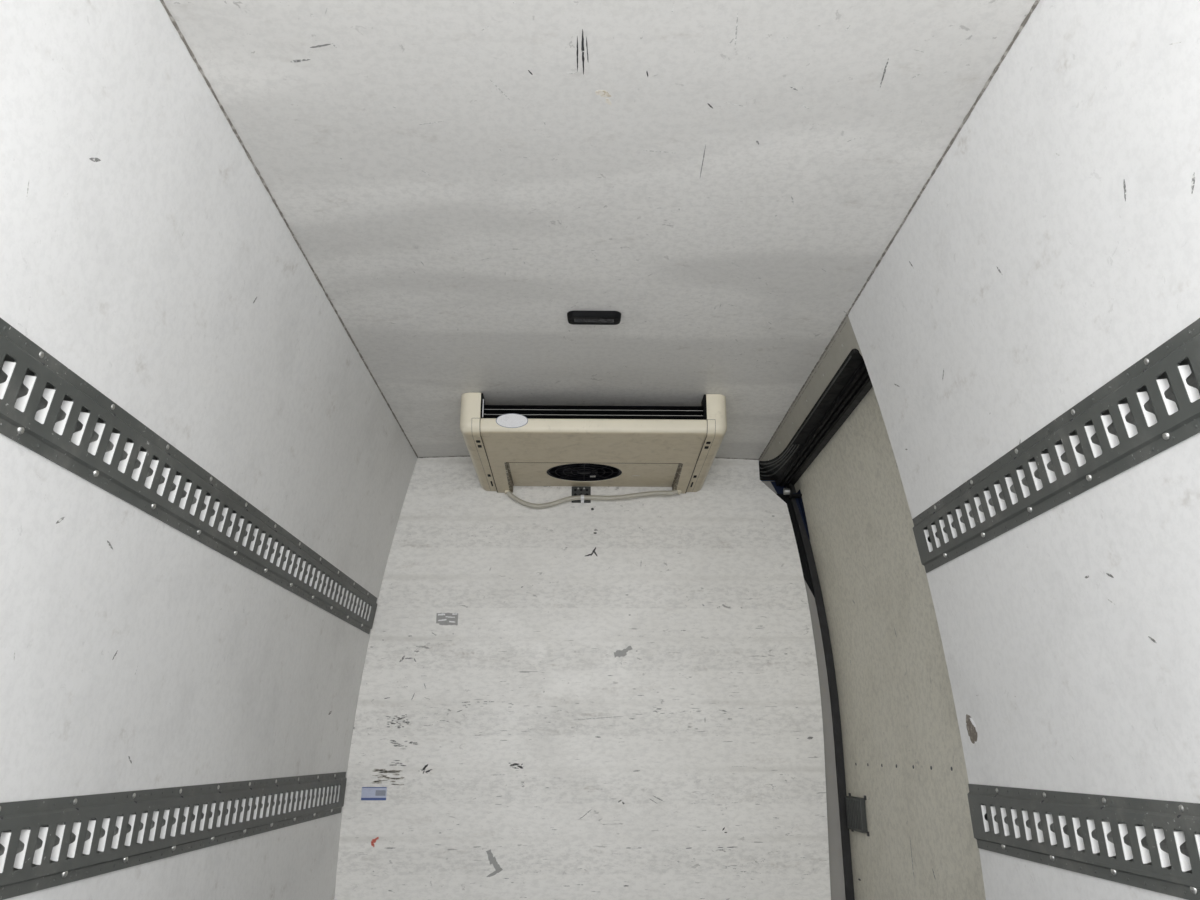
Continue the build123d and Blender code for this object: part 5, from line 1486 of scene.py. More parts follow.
@dataclass(frozen=True)
class Flake:
    """Thin patch on a face: a scratch, a scuff, a blank label or a scrap of tape.

    The size is its length and width, the turn its angle in degrees, and ragged the share of the width by
    which its edge wanders. A square patch keeps its ends wide.
    """

    spot: Flat
    size: Flat
    turn: float
    ragged: float = 0.45
    square: bool = False
    thickness: float = 0.0004

    def outline(self, rng: random.Random) -> list[Flat]:
        """The patch's ragged outline round its middle.

        Args:
            rng: Source of the unevenness.

        Returns:
            The outline's points.
        """
        length, width = self.size
        steps = min(max(int(length / 0.005), 5), 14)
        upper, lower = [], []
        for step in range(steps + 1):
            share = step / steps
            swell = math.sin(math.pi * share) ** 0.45 if 0 < step < steps else 0.0
            half = width / 2 * (1.0 if self.square else max(swell, 0.14))
            for row, sign in ((upper, 1), (lower, -1)):
                row.append(((share - 0.5) * length, sign * half * (1 - self.ragged * rng.random())))
        across, along = math.cos(math.radians(self.turn)), math.sin(math.radians(self.turn))
        return [(x * across - y * along, x * along + y * across) for x, y in (*lower, *reversed(upper))]

    def lay(self, solid: Solid, spot: Callable[[float, float, float], Vector], rng: random.Random) -> None:
        """Adds the patch to a solid.

        Args:
            solid: Mesh that is being gathered.
            spot: Gives the point of the face at two places along it and a lift.
            rng: Source of the ragged edge.
        """
        outline = self.outline(rng)
        u, v = self.spot
        solid.skin([[spot(u + x, v + y, lift) for x, y in outline] for lift in (-0.0004, self.thickness)])


USUAL_FLAKE = (0.0, 0.45, 0.0004)


def flakes(*rows: tuple[float, ...], square: bool = False) -> list[Flake]:
    """Patches from rows of numbers.

    Args:
        rows: Place, length, width and, where they differ from the usual, turn, raggedness and thickness.
        square: True where the patches keep their ends wide.

    Returns:
        The patches.
    """
    made = []
    for u, v, length, width, *rest in rows:
        turn, ragged, thickness = (*rest, *USUAL_FLAKE[len(rest) :])
        made.append(Flake((u, v), (length, width), turn, ragged, square, thickness))
    return made


@dataclass(frozen=True)
class Cluster:
    """Group of small level dashes, such as a dragged pallet leaves."""

    spot: Flat
    spread: Flat
    count: int
    length: float = 0.010
    width: float = 0.0018

    def flakes(self, rng: random.Random) -> list[Flake]:
        """The group's dashes.

        Args:
            rng: Source of the unevenness.

        Returns:
            The dashes.
        """
        made = []
        for _ in range(self.count):
            u, v = (at + reach * rng.uniform(-0.5, 0.5) for at, reach in zip(self.spot, self.spread))
            size = (self.length * rng.uniform(0.6, 1.5), self.width * rng.uniform(0.6, 1.4))
            made.append(Flake((u, v), size, rng.uniform(-6, 6)))
        return made


class Marks:
    """Scratches, scuffs, blank label remains and tape on the inner faces."""

    ceiling_scratches = flakes(
        (-0.025, -0.560, 0.104, 0.0052, 89, 0.7),
        (-0.034, -0.556, 0.082, 0.0030, 90, 0.6),
        (-0.018, -0.566, 0.060, 0.0024, 87, 0.6),
        (0.199, -0.434, 0.018, 0.0040, 50, 0.6),
        (-0.113, -0.512, 0.014, 0.0036, 60),
        (0.083, -0.512, 0.016, 0.0030, 80),
    )
    ceiling_grey = flakes(
        (0.476, -0.530, 0.070, 0.0040, 84, 0.6),
        (-0.445, -0.575, 0.036, 0.0060, -12, 0.7),
        (-0.486, -0.542, 0.034, 0.0070, -8, 0.7),
        (0.206, -0.270, 0.110, 0.0030, 89, 0.6),
        (0.300, -0.335, 0.014, 0.0060, 60, 0.6),
        (0.335, -0.485, 0.018, 0.0040, 30, 0.6),
    )
    ceiling_faint = flakes(
        (0.405, -0.150, 0.032, 0.0044, 70),
        (-0.167, -0.468, 0.060, 0.0028, 60),
        (0.217, -0.610, 0.085, 0.0030, 84),
        (0.240, -0.440, 0.046, 0.0026, 15),
        (0.120, -0.300, 0.064, 0.0030, 6),
        (-0.300, -0.380, 0.052, 0.0026, -12),
        (0.330, 0.120, 0.030, 0.0040, 40),
    )
    left_marks = flakes(
        (-0.658, 1.753, 0.026, 0.0070, 30),
        (-0.062, 1.837, 0.020, 0.0060, 70),
        (-0.445, 1.279, 0.022, 0.0060, 40),
        (-0.290, 1.275, 0.028, 0.0050, -20),
        (1.262, 1.068, 0.034, 0.0120, 20),
        (-0.179, 1.109, 0.020, 0.0050, 60),
        (-0.038, 0.939, 0.024, 0.0050, -35),
    )
    right_marks = flakes(
        (-0.698, 1.694, 0.030, 0.0055, -62),
        (-0.810, 1.630, 0.026, 0.0060, -50),
        (-0.375, 1.215, 0.020, 0.0060, 30),
        (-0.311, 1.224, 0.014, 0.0050, 0),
        (-0.345, 1.763, 0.022, 0.0050, 70),
        (-0.438, 1.109, 0.020, 0.0050, 35),
        (-0.222, 1.479, 0.026, 0.0040, -48),
        (-0.052, 1.938, 0.024, 0.0050, 70),
        (0.213, 1.769, 0.030, 0.0040, 35),
        (-0.021, 1.699, 0.028, 0.0040, -40),
        (0.270, 1.630, 0.016, 0.0045, 20),
    )
    bulkhead_scratches = flakes(
        (0.014, 1.820, 0.012, 0.0110, 0, 0.15),
        (0.024, 1.728, 0.013, 0.0075, 0, 0.2),
        (0.018, 1.658, 0.040, 0.0080, 60),
        (0.026, 1.650, 0.026, 0.0085, -60, 0.5, 0.0006),
        (0.000, 1.644, 0.032, 0.0075, 14, 0.5, 0.0008),
        (0.463, 0.701, 0.014, 0.0060, 50, 0.5),
        (0.470, 0.690, 0.010, 0.0050, 0, 0.5, 0.0006),
        (-0.560, 0.900, 0.028, 0.0110, 50, 0.6),
        (-0.550, 0.888, 0.022, 0.0090, 20, 0.6, 0.0006),
        (-0.565, 0.884, 0.012, 0.0040, 70, 0.6, 0.0008),
        (-0.254, 0.908, 0.034, 0.0100, 10, 0.7),
        (-0.234, 0.901, 0.024, 0.0090, -20, 0.6, 0.0006),
        (-0.246, 0.897, 0.020, 0.0034, 0, 0.6, 0.0008),
        (-0.228, 0.909, 0.008, 0.0040, 40),
        (0.110, 0.790, 0.014, 0.0060, 30, 0.7),
        (0.122, 0.784, 0.010, 0.0080, -40, 0.7, 0.0006),
        (-0.372, 0.646, 0.030, 0.0028, 2),
        (0.139, 0.642, 0.018, 0.0030, 0),
        (0.177, 0.642, 0.013, 0.0028, 0),
        (0.343, 0.641, 0.022, 0.0034, 4),
        (0.450, 0.643, 0.020, 0.0026, 1),
        (0.490, 0.644, 0.040, 0.0032, 1),
        (0.169, 0.888, 0.026, 0.0034, 3),
        (0.129, 0.525, 0.018, 0.0040, 0),
        (0.155, 1.061, 0.022, 0.0032, 0),
        (0.500, 1.061, 0.018, 0.0030, -3),
        (0.412, 1.057, 0.018, 0.0028, 88),
        (0.035, 1.000, 0.022, 0.0034, -4),
        (0.150, 1.424, 0.008, 0.0040, 0),
    )
    bulkhead_scuffs = flakes(
        (-0.577, 1.172, 0.024, 0.0032, -68),
        (-0.617, 1.136, 0.028, 0.0034, 68),
        (-0.451, 1.087, 0.022, 0.0044, 20),
        (-0.649, 1.064, 0.034, 0.0060, 16, 0.7),
        (-0.555, 1.354, 0.024, 0.0032, -32),
        (-0.641, 1.347, 0.016, 0.0040, 0),
        (0.194, 1.614, 0.026, 0.0030, 86),
        (0.243, 0.798, 0.046, 0.0040, -26, 0.7),
        (0.225, 0.790, 0.036, 0.0034, -30, 0.7, 0.0006),
        (-0.002, 0.752, 0.040, 0.0040, 38, 0.7),
        (-0.020, 0.738, 0.022, 0.0034, 30, 0.7),
        (0.032, 1.063, 0.190, 0.0022, 4),
        (-0.243, 1.525, 0.010, 0.0050, 20),
        (0.141, 1.497, 0.012, 0.0040, 0),
        (0.419, 1.461, 0.012, 0.0050, -40),
        (0.695, 1.796, 0.012, 0.0050, 0),
        (0.712, 1.286, 0.014, 0.0040, 0),
        (-0.664, 1.266, 0.034, 0.0110, 53, 0.7),
        (-0.640, 1.268, 0.030, 0.0070, 5, 0.7, 0.0006),
        (-0.618, 1.262, 0.016, 0.0060, -57, 0.7),
        (-0.664, 0.643, 0.040, 0.0040, 0),
        (-0.772, 1.308, 0.020, 0.0040, 0),
        (0.780, 0.997, 0.022, 0.0110, 10),
        (-0.708, 1.131, 0.022, 0.0050, 10),
    )
    clusters = (
        Cluster((-0.666, 1.052), (0.074, 0.046), 34, 0.012, 0.0040),
        Cluster((-0.640, 0.977), (0.086, 0.024), 20, 0.014, 0.0034),
        Cluster((-0.655, 0.914), (0.060, 0.020), 10, 0.016, 0.0034),
        Cluster((-0.250, 0.905), (0.060, 0.018), 7, 0.012, 0.0030),
        Cluster((-0.560, 0.880), (0.050, 0.030), 6, 0.010, 0.0030),
        Cluster((-0.400, 1.110), (0.300, 0.020), 18, 0.016, 0.0026),
        Cluster((0.350, 1.090), (0.300, 0.024), 16, 0.016, 0.0026),
    )
    fleck_rows = (0.46, 0.56, 0.671, 0.78, 0.888, 1.00, 1.09, 1.19, 1.333)

    def build(self) -> None:
        """Lays the marks of each face and finish."""
        rng = random.Random(23)
        self.lay_group("ceiling_scratches", Coat.SCRATCH, Face.CEILING, self.ceiling_scratches, rng)
        self.lay_group("ceiling_grey_marks", Coat.SCUFF, Face.CEILING, self.ceiling_grey, rng)
        flecks = self.flecks(Face.CEILING, 60, (-0.55, 0.55), (-0.75, 0.75), rng)
        self.lay_group("ceiling_scuffs", Coat.FAINT, Face.CEILING, [*self.ceiling_faint, *flecks], rng)
        stain = flakes((0.010, -0.460, 0.030, 0.020, 20, 0.6), (0.020, -0.440, 0.020, 0.012, 60, 0.6, 0.0006))
        self.lay_group("ceiling_stain", Coat.STAIN, Face.CEILING, stain, rng)
        for face, marks in ((Face.LEFT, self.left_marks), (Face.RIGHT, self.right_marks)):
            flecks = self.flecks(face, 26, (-1.35, 0.25), (0.30, 1.85), rng)
            self.lay_group(f"{face.value}_wall_marks", Coat.SCUFF, face, marks, rng)
            self.lay_group(f"{face.value}_wall_flecks", Coat.FAINT, face, flecks, rng)
        self.lay_group("bulkhead_scratches", Coat.SCRATCH, Face.BULKHEAD, self.bulkhead_scratches, rng)
        scuffs = [*self.bulkhead_scuffs, *self.row_flecks(70, rng)]
        for cluster in self.clusters:
            scuffs.extend(cluster.flakes(rng))
        self.lay_group("bulkhead_scuffs", Coat.SCUFF, Face.BULKHEAD, scuffs, rng)
        self.lay_group("bulkhead_flecks", Coat.FAINT, Face.BULKHEAD, self.row_flecks(150, rng), rng)
        self.add_labels(rng)
        self.add_door_marks(rng)

    def add_labels(self, rng: random.Random) -> None:
        """Adds the blank labels, the tape and the scraps.

        Args:
            rng: Source of the unevenness.
        """
        face = Face.BULKHEAD
        abraded = Cluster((-0.684, 0.868), (0.100, 0.050), 42, 0.024, 0.0042).flakes(rng)
        self.lay_group("bulkhead_abrasion", Coat.ABRASION, face, abraded, rng)
        remnant = flakes(
            (-0.511, 1.411, 0.078, 0.040, 0, 0.12),
            (-0.505, 1.392, 0.066, 0.014, 0, 0.3, 0.0006),
            square=True,
        )
        self.lay_group("bulkhead_label_remnant", Coat.TAPE, face, remnant, rng)
        worn = flakes(
            (-0.532, 1.424, 0.026, 0.008, 4, 0.5, 0.0009),
            (-0.500, 1.415, 0.034, 0.005, -4, 0.5, 0.0009),
            (-0.528, 1.404, 0.030, 0.006, 6, 0.5, 0.0009),
            (-0.492, 1.398, 0.022, 0.006, -6, 0.5, 0.0009),
            (-0.484, 1.426, 0.018, 0.006, 0, 0.5, 0.0009),
            square=True,
        )
        self.lay_group("bulkhead_label_worn", Coat.LABEL, face, worn, rng)
        label = flakes((-0.7305, 0.815, 0.085, 0.042, 0, 0.02), square=True)
        self.lay_group("bulkhead_label", Coat.LABEL_PALE, face, label, rng)
        strip = flakes(
            (-0.7305, 0.7975, 0.085, 0.008, 0, 0.02, 0.0007),
            (-0.7305, 0.8345, 0.083, 0.003, 0, 0.02, 0.0007),
            square=True,
        )
        self.lay_group("bulkhead_label_strip", Coat.LABEL_BLUE, face, strip, rng)
        block = flakes((-0.708, 0.817, 0.034, 0.018, 0, 0.05, 0.0007), square=True)
        self.lay_group("bulkhead_label_block", Coat.LABEL_GREY, face, block, rng)
        tape = flakes(
            (0.115, 1.286, 0.044, 0.028, 12, 0.5),
            (0.140, 1.300, 0.036, 0.018, 30, 0.5, 0.0006),
            (-0.325, 0.615, 0.044, 0.020, -70, 0.4),
            (-0.306, 0.590, 0.050, 0.022, -56, 0.4, 0.0006),
            square=True,
        )
        tape += flakes((-0.316, 0.563, 0.046, 0.012, 24, 0.5, 0.0008))
        self.lay_group("bulkhead_tape", Coat.TAPE, face, tape, rng)
        blot = flakes(
            (-0.716, 0.668, 0.030, 0.016, 40, 0.6),
            (-0.723, 0.655, 0.022, 0.011, -60, 0.6, 0.0006),
        )
        self.lay_group("bulkhead_blot", Coat.BLOT, face, blot, rng)
        scrap = flakes(
            (0.281, 1.002, 0.062, 0.050, 64, 0.45),
            (0.292, 0.990, 0.046, 0.030, 60, 0.5, 0.0006),
        )
        self.lay_group("wall_scrap", Coat.SCRAP, Face.RIGHT, scrap, rng)
        tear = flakes((0.268, 1.013, 0.030, 0.012, 40, 0.6, 0.0009))
        self.lay_group("wall_scrap_tear", Coat.LABEL, Face.RIGHT, tear, rng)

    def add_door_marks(self, rng: random.Random) -> None:
        """Adds the marks of the side door's inner panel.

        Args:
            rng: Source of the unevenness.
        """
        streaks = flakes(
            (0.981, 0.673, 0.115, 0.0044, 90),
            (0.819, 0.650, 0.030, 0.0060, 60),
            (0.905, 1.280, 0.030, 0.0050, 75),
            (1.250, 1.420, 0.026, 0.0050, 40),
            (1.120, 1.560, 0.020, 0.0040, -30),
            (1.400, 1.240, 0.020, 0.0040, 70),
        )
        self.lay_group("door_panel_marks", Coat.SCUFF, Face.DOOR, streaks, rng)
        slot = flakes((1.529, 0.551, 0.030, 0.0060, 0, 0.1))
        self.lay_group("door_panel_slot", Coat.SCRATCH, Face.DOOR, slot, rng)

    def flecks(self, face: Face, count: int, us: Flat, vs: Flat, rng: random.Random) -> list[Flake]:
        """Scattered faint flecks.

        Args:
            face: Face on which they lie, which keeps those of a wall off its rails.
            count: How many.
            us: First and last place along the face.
            vs: Lowest and highest place.
            rng: Source of their places.

        Returns:
            The flecks.
        """
        made = []
        while len(made) < count:
            u, v = rng.uniform(*us), rng.uniform(*vs)
            rails = () if face is Face.CEILING else RAILS
            if any(abs(v - FLOOR_Z - rail.height) < 0.085 for rail in rails):
                continue
            size = (rng.uniform(0.006, 0.026), rng.uniform(0.0014, 0.0034))
            made.append(Flake((u, v), size, rng.uniform(0, 180)))
        return made

    def row_flecks(self, count: int, rng: random.Random) -> list[Flake]:
        """Level dashes of the bulkhead, most of them in rows.

        Args:
            count: How many.
            rng: Source of their places.

        Returns:
            The dashes.
        """
        made = []
        for _ in range(count):
            height = rng.gauss(rng.choice(self.fleck_rows), 0.030)
            place = (rng.uniform(-0.76, 0.74), height)
            size = (rng.uniform(0.006, 0.030), rng.uniform(0.0012, 0.0030))
            made.append(Flake(place, size, rng.gauss(0, 3)))
        return made

    def lay_group(
        self, name: str, coat: Coat, face: Face, flakes: Sequence[Flake], rng: random.Random
    ) -> None:
        """Lays flakes of one finish as one piece.

        Args:
            name: Name of the piece.
            coat: Its finish.
            face: Face on which they lie.
            flakes: The patches.
            rng: Source of their ragged edges.
        """
        solid = Solid()
        for flake in flakes:
            flake.lay(solid, face.spot, rng)
        solid.piece(name, coat, slot="door_lining" if face is Face.DOOR else "lining")


@dataclass(frozen=True)
class Evaporator:
    """Dressing of the ceiling evaporator: cap bands, louvre edges, sticker, screws and wear."""

    centre: float = 0.011
    half: float = 0.355
    front: float = 0.944
    rear: float = 1.594
    lip_low: float = FLOOR_Z + 1.680
    slope: float = 0.02923
    cap_front: float = 0.936
    cap_low: float = FLOOR_Z + 1.675
    cap_slope: float = 0.01216
    cap_nose: float = 0.034
    cap_top: float = 1.7205
    band: Flat = (0.3555, 0.3795)
    fan: Flat = (-0.018, 1.385)
    outlets: tuple[float, ...] = (1.7403, 1.7573)
    cap_slots: tuple[Tone, ...] = (
        (1.018, 0.013, 0.018),
        (1.065, 0.012, 0.020),
        (1.388, 0.010, 0.024),
        (1.490, 0.005, 0.060),
    )
    recess_x: Flat = (-0.286, 0.316)
    recess_y: Flat = (1.240, 1.590)
    recess_low: float = FLOOR_Z + 1.672
    recess_slope: float = 0.04237

    def under(self, x: float, y: float, lift: float) -> Vector:
        """Point below the tray's sloping underside.

        Args:
            x: Place across.
            y: Place along the body.
            lift: Distance off the face.

        Returns:
            The point in the body's frame.
        """
        tilt = math.atan(self.slope)
        foot = Vector((x, y, self.lip_low - (y - self.front) * self.slope))
        return foot + Vector((0.0, -math.sin(tilt), -math.cos(tilt))) * lift

    def recess_spot(self, x: float, y: float, lift: float) -> Vector:
        """Point below the floor of the wedge-shaped recess.

        Args:
            x: Place across.
            y: Place along the body.
            lift: Distance off the face.

        Returns:
            The point in the body's frame.
        """
        tilt = math.atan(self.recess_slope)
        foot = Vector((x, y, self.recess_low + (y - self.recess_y[0]) * self.recess_slope))
        return foot + Vector((0.0, math.sin(tilt), -math.cos(tilt))) * lift

    def recess_place(self, x: float, y: float, lift: float) -> Matrix:
        """Seat below the recess's floor, facing down.

        Args:
            x: Place across.
            y: Place along the body.
            lift: Distance off the face.

        Returns:
            The seat's matrix.
        """
        tilt = math.atan(self.recess_slope)
        up = Vector((0, -math.cos(tilt), -math.sin(tilt)))
        return seat(self.recess_spot(x, y, lift), Vector((1, 0, 0)), up)

    def cap_line(self, lift: float) -> list[Flat]:
        """A cap's profile as y and z, from below the lip's top round the nose to the rear.

        Args:
            lift: Distance off the face.

        Returns:
            The profile's points.
        """
        tilt = math.atan(self.cap_slope)
        middle_y = self.cap_front + self.cap_nose
        middle_z = self.cap_level(middle_y) + self.cap_nose / math.cos(tilt)
        points = [(self.cap_front - lift, FLOOR_Z + self.cap_top), (self.cap_front - lift, middle_z + 0.002)]
        reach = self.cap_nose + lift
        for angle in even(math.pi, 1.5 * math.pi - tilt, 9):
            points.append((middle_y + reach * math.cos(angle), middle_z + reach * math.sin(angle)))
        for y in (1.05, 1.30, self.rear - 0.006):
            points.append((y, self.cap_level(y) - lift / math.cos(tilt)))
        return points

    def cap_level(self, y: float) -> float:
        """Height of the caps' sloping underside."""
        return self.cap_low - (y - self.cap_front) * self.cap_slope

    def wrap(self, solid: Solid, start: float, end: float, low: float, high: float) -> None:
        """Adds a band that follows a cap's profile between two x.

        Args:
            solid: Mesh that is being gathered.
            start: x of one edge.
            end: x of the other edge.
            low: Lift of its back.
            high: Lift of its face.
        """
        rings = []
        for inner, outer in zip(self.cap_line(low), self.cap_line(high)):
            section = ((start, inner), (end, inner), (end, outer), (start, outer))
            rings.append([Vector((x, *spot)) for x, spot in section])
        solid.skin(rings)

    def build(self) -> None:
        """Makes the evaporator's pieces."""
        self.add_caps()
        self.add_outlet()
        self.add_sticker()
        self.add_recess()
        self.add_fan()
        self.add_fittings()
        self.add_wear()

    def add_caps(self) -> None:
        """Adds the raised band beside the tray on each cap, with its seams, and black plates in its screw
        slots as painted shade.
        """
        bands, seams, slots = Solid(), Solid(), Solid()
        for side in (-1, 1):
            near, far = (self.centre + side * reach for reach in self.band)
            self.wrap(bands, near, far, -0.0006, 0.0013)
            self.wrap(seams, near - side * 0.0016, near, -0.0006, 0.0016)
            self.wrap(seams, far, far + side * 0.0012, -0.0006, 0.0006)
            edge = []
            for rise in (0.0, 0.0011):
                top = above_floor(near, self.cap_front - 0.0013, self.cap_top + rise)
                edge.append((top, top + Vector((side * 0.025, 0.0, 0.0))))
            seams.strip(edge, Vector((0.0, 0.0018, 0.0)))
            middle = self.centre + side * 0.3675
            # Black plates in the screw slots: painted shade inside them.
            for y, wide, deep in self.cap_slots:
                place = facing_down((middle, y, self.cap_level(y) - 0.0010))
                slots.plate(place, (wide, deep), 0.0022, -0.0006, 0.0022)
            self.seam_below(seams, side)
        bands.piece("evaporator_cap_bands", Coat.CREAM, slot="cream_plastic")
        seams.piece("evaporator_cap_seams", Coat.SEAM, slot="seal")
        slots.piece("evaporator_cap_slot_shades", Coat.TRACK, slot="seal")

    def seam_below(self, seams: Solid, side: int) -> None:
        """Adds the dirty joint below the tray's edge, along whichever of tray and cap hangs lower.

        Args:
            seams: Mesh that is being gathered.
            side: 1 for right, -1 for left.
        """
        pairs = []
        near, far = (self.centre + side * reach for reach in (0.3532, 0.3562))
        for y in even(self.cap_front + self.cap_nose, self.rear - 0.004, 24):
            low = min(self.under(0, y, 0).z, self.cap_level(y)) - 0.0009
            pairs.append((Vector((near, y, low)), Vector((far, y, low))))
        seams.strip(pairs, Vector((0.0, 0.0, 0.0016)))

    def add_outlet(self) -> None:
        """Adds grey strips on the louvres' front edges as painted highlight and near-black plates at the
        outlet's ends as painted shade.
        """
        edges, ends, jamb = Solid(), Solid(), Solid()
        # Grey strips along the louvres' front edges: painted highlight.
        for height in self.outlets:
            place = above_floor(self.centre, self.front + 0.0092, height)
            edges.plate(facing_back(place), (2 * self.half - 0.020, 0.0015), 0.0004, -0.0008, 0.0004)
        edges.piece("evaporator_louvre_glints", Coat.LOUVRE_GLINT, slot="black_plastic")
        # Near-black plates at the outlet's ends: painted shade inside the outlet.
        for side, width in ((-1, 0.0050), (1, 0.0068)):
            x = self.centre + side * (self.half - 0.0002 - width / 2)
            place = above_floor(x, self.cap_front + 0.004, 1.7675)
            ends.plate(facing_back(place), (width, 0.079), 0.0010, -0.070, 0.0006)
        ends.piece("evaporator_outlet_shades", Coat.TRACK, slot="black_plastic")
        place = above_floor(self.centre - self.half + 0.0068, self.front + 0.002, 1.759)
        jamb.plate(facing_back(place), (0.0028, 0.060), 0.0006, -0.004, 0.0006)
        jamb.piece("evaporator_outlet_jamb", Coat.LABEL, slot="cream_plastic")

    def add_sticker(self) -> None:
        """Adds the blank oval sticker that hangs over the lip's upper edge."""
        oval = [(0.0505 * math.cos(angle), 0.0240 * math.sin(angle)) for angle in around(40)]
        inner = [(x * 0.955, y * 0.93) for x, y in oval]
        place = facing_back((-0.245, self.front, FLOOR_Z + 1.7165))
        rim = Solid()
        rim.stack(place, [(oval, 0.0001), (oval, 0.0008)])
        rim.piece("evaporator_sticker_rim", Coat.LABEL_GREY, slot="cream_plastic")
        face = Solid()
        face.stack(place, [(inner, 0.0006), (inner, 0.0012)])
        face.piece("evaporator_sticker", Coat.LABEL, slot="cream_plastic")

    def add_recess(self) -> None:
        """Adds the painted shade along the recess's fold and side walls, and the tray's screws."""
        fold_shade, walls, screws = Solid(), Solid(), Solid()
        left, right = self.recess_x
        near, far = self.recess_y
        # Dark lines along the fold: painted shade in the crease.
        for y, width in ((near - 0.0012, 0.0014), (near + 0.0030, 0.0010)):
            edge = [(self.under(x, y, -0.0003), self.under(x, y + width, -0.0003)) for x in (left, right)]
            fold_shade.strip(edge, Vector((0.0, 0.0, -0.0006)))
        fold_shade.piece("evaporator_recess_fold_shade", Coat.SEAM, slot="seal")
        # Brown strips on, beside and along each side wall: painted shade of the recess's walls.
        for x, side in ((left, 1), (right, -1)):
            inner, outer = [], []
            for share in even(0.0, 1.0, 14):
                y = near + 0.003 + (far - near - 0.003) * share
                ends = (x + side * 0.0002, x + side * (0.010 - 0.007 * share))
                inner.append(tuple(self.recess_spot(end, y, -0.0003) for end in ends))
                ends = (x - side * (0.005 + 0.007 * share), x)
                outer.append(tuple(self.under(end, y, -0.0003) for end in ends))
            walls.strip(inner, Vector((0.0, 0.0, -0.0008)))
            walls.strip(outer, Vector((0.0, 0.0, -0.0007)))
            stations = (near + 0.05, near + 0.2, far)
            face = [(self.under(x, y, -0.0006), self.recess_spot(x, y, -0.0002)) for y in stations]
            walls.strip(face, Vector((side * 0.0006, 0.0, 0.0)))
        walls.piece("evaporator_recess_shade", Coat.RECESS_SHADE, slot="seal")
        for x in (-0.250, 0.280):
            for y in (1.275, 1.540):
                screws.head(self.recess_place(x, y, 0.0), 0.0036, 0.0016)
        screws.piece("evaporator_screws", Coat.CREAM, slot="zinc")

    def add_fan(self) -> None:
        """Adds the guard's hub cap, its blank tag and the screws of its rim."""
        x, y = self.fan
        hub, tag, rim, housing = Solid(), Solid(), Solid(), Solid()
        above = self.recess_place(x, y, 0.0)
        housing.pierced(above, circle(0.1335, 48), [circle(0.0475, 32)], -0.0420, -0.0400)
        housing.pierced(above, circle(0.1344, 48), [circle(0.1326, 48)], -0.0400, -0.0056)
        housing.piece("evaporator_fan_housing", Coat.FAN, slot="black_plastic")
        profile = [(0.0225, 0.0), (0.0225, 0.0016), (0.0190, 0.0030), (0.008, 0.0034)]
        hub.lathe(self.recess_place(x, y, -0.0022), profile, 28)
        hub.piece("evaporator_fan_hub", Coat.FAN, slot="black_plastic")
        tag.plate(self.recess_place(x + 0.031, y + 0.058, -0.0022), (0.020, 0.022), 0.0010, 0.0, 0.0012)
        tag.piece("evaporator_fan_tag", Coat.TAPE, slot="cream_plastic")
        for angle in around(8):
            place = self.recess_place(x + 0.130 * math.cos(angle), y + 0.130 * math.sin(angle), -0.0022)
            rim.head(place, 0.0030, 0.0012, sides=10)
        rim.piece("evaporator_guard_screws", Coat.FAN, slot="black_plastic")

    def add_fittings(self) -> None:
        """Adds the hose's spigots under the tray's rear corners."""
        spigots = Solid()
        ends = (
            (Vector((-0.3075, 1.572, 1.8835)), Vector((-0.3050, 1.572, 1.8770))),
            (Vector((0.3400, 1.561, 1.8845)), Vector((0.3340, 1.560, 1.8790))),
        )
        for start, end in ends:
            spigots.tube([start, end], 0.0108, sides=18)
            spigots.tube([end, end + (end - start) * 0.25], 0.0118, sides=18)
        spigots.piece("evaporator_spigots", Coat.CREAM, slot="cream_plastic")

    def add_wear(self) -> None:
        """Adds the scratches of the lip and the underside and the smudge of the recess."""
        rng = random.Random(7)
        dark, faint, smudge = Solid(), Solid(), Solid()
        Flake((0.238, 0.52), (0.018, 0.003), -12).lay(dark, self.lip_spot, rng)
        Flake((0.262, 0.64), (0.024, 0.003), 4).lay(dark, self.lip_spot, rng)
        Flake((0.205, 0.50), (0.014, 0.002), 10).lay(faint, self.lip_spot, rng)
        for _ in range(16):
            place = (rng.uniform(-0.30, 0.33), rng.uniform(0.99, 1.22))
            size = (rng.uniform(0.004, 0.014), rng.uniform(0.0012, 0.0024))
            Flake(place, size, rng.uniform(-15, 15)).lay(faint, self.under, rng)
        dark.piece("evaporator_scratches", Coat.SCRATCH, slot="cream_plastic")
        faint.piece("evaporator_faint_marks", Coat.STAIN, slot="cream_plastic")
        Flake((0.165, 1.425), (0.040, 0.016), -12, 0.7).lay(smudge, self.recess_spot, rng)
        smudge.piece("evaporator_smudges", Coat.STAIN, slot="cream_plastic")

    def lip_spot(self, x: float, turn: float, lift: float) -> Vector:
        """Point on the rounding at the lip's lower edge, from its front at 0 to its underside at 1.

        Args:
            x: Place across.
            turn: Share of the rounding, from its front.
            lift: Distance off the face.

        Returns:
            The point in the body's frame.
        """
        angle = math.radians(90) * turn
        middle = Vector((x, self.front + 0.018, self.lip_low + 0.018))
        return middle + Vector((0.0, -math.cos(angle), -math.sin(angle))) * (0.018 + lift)


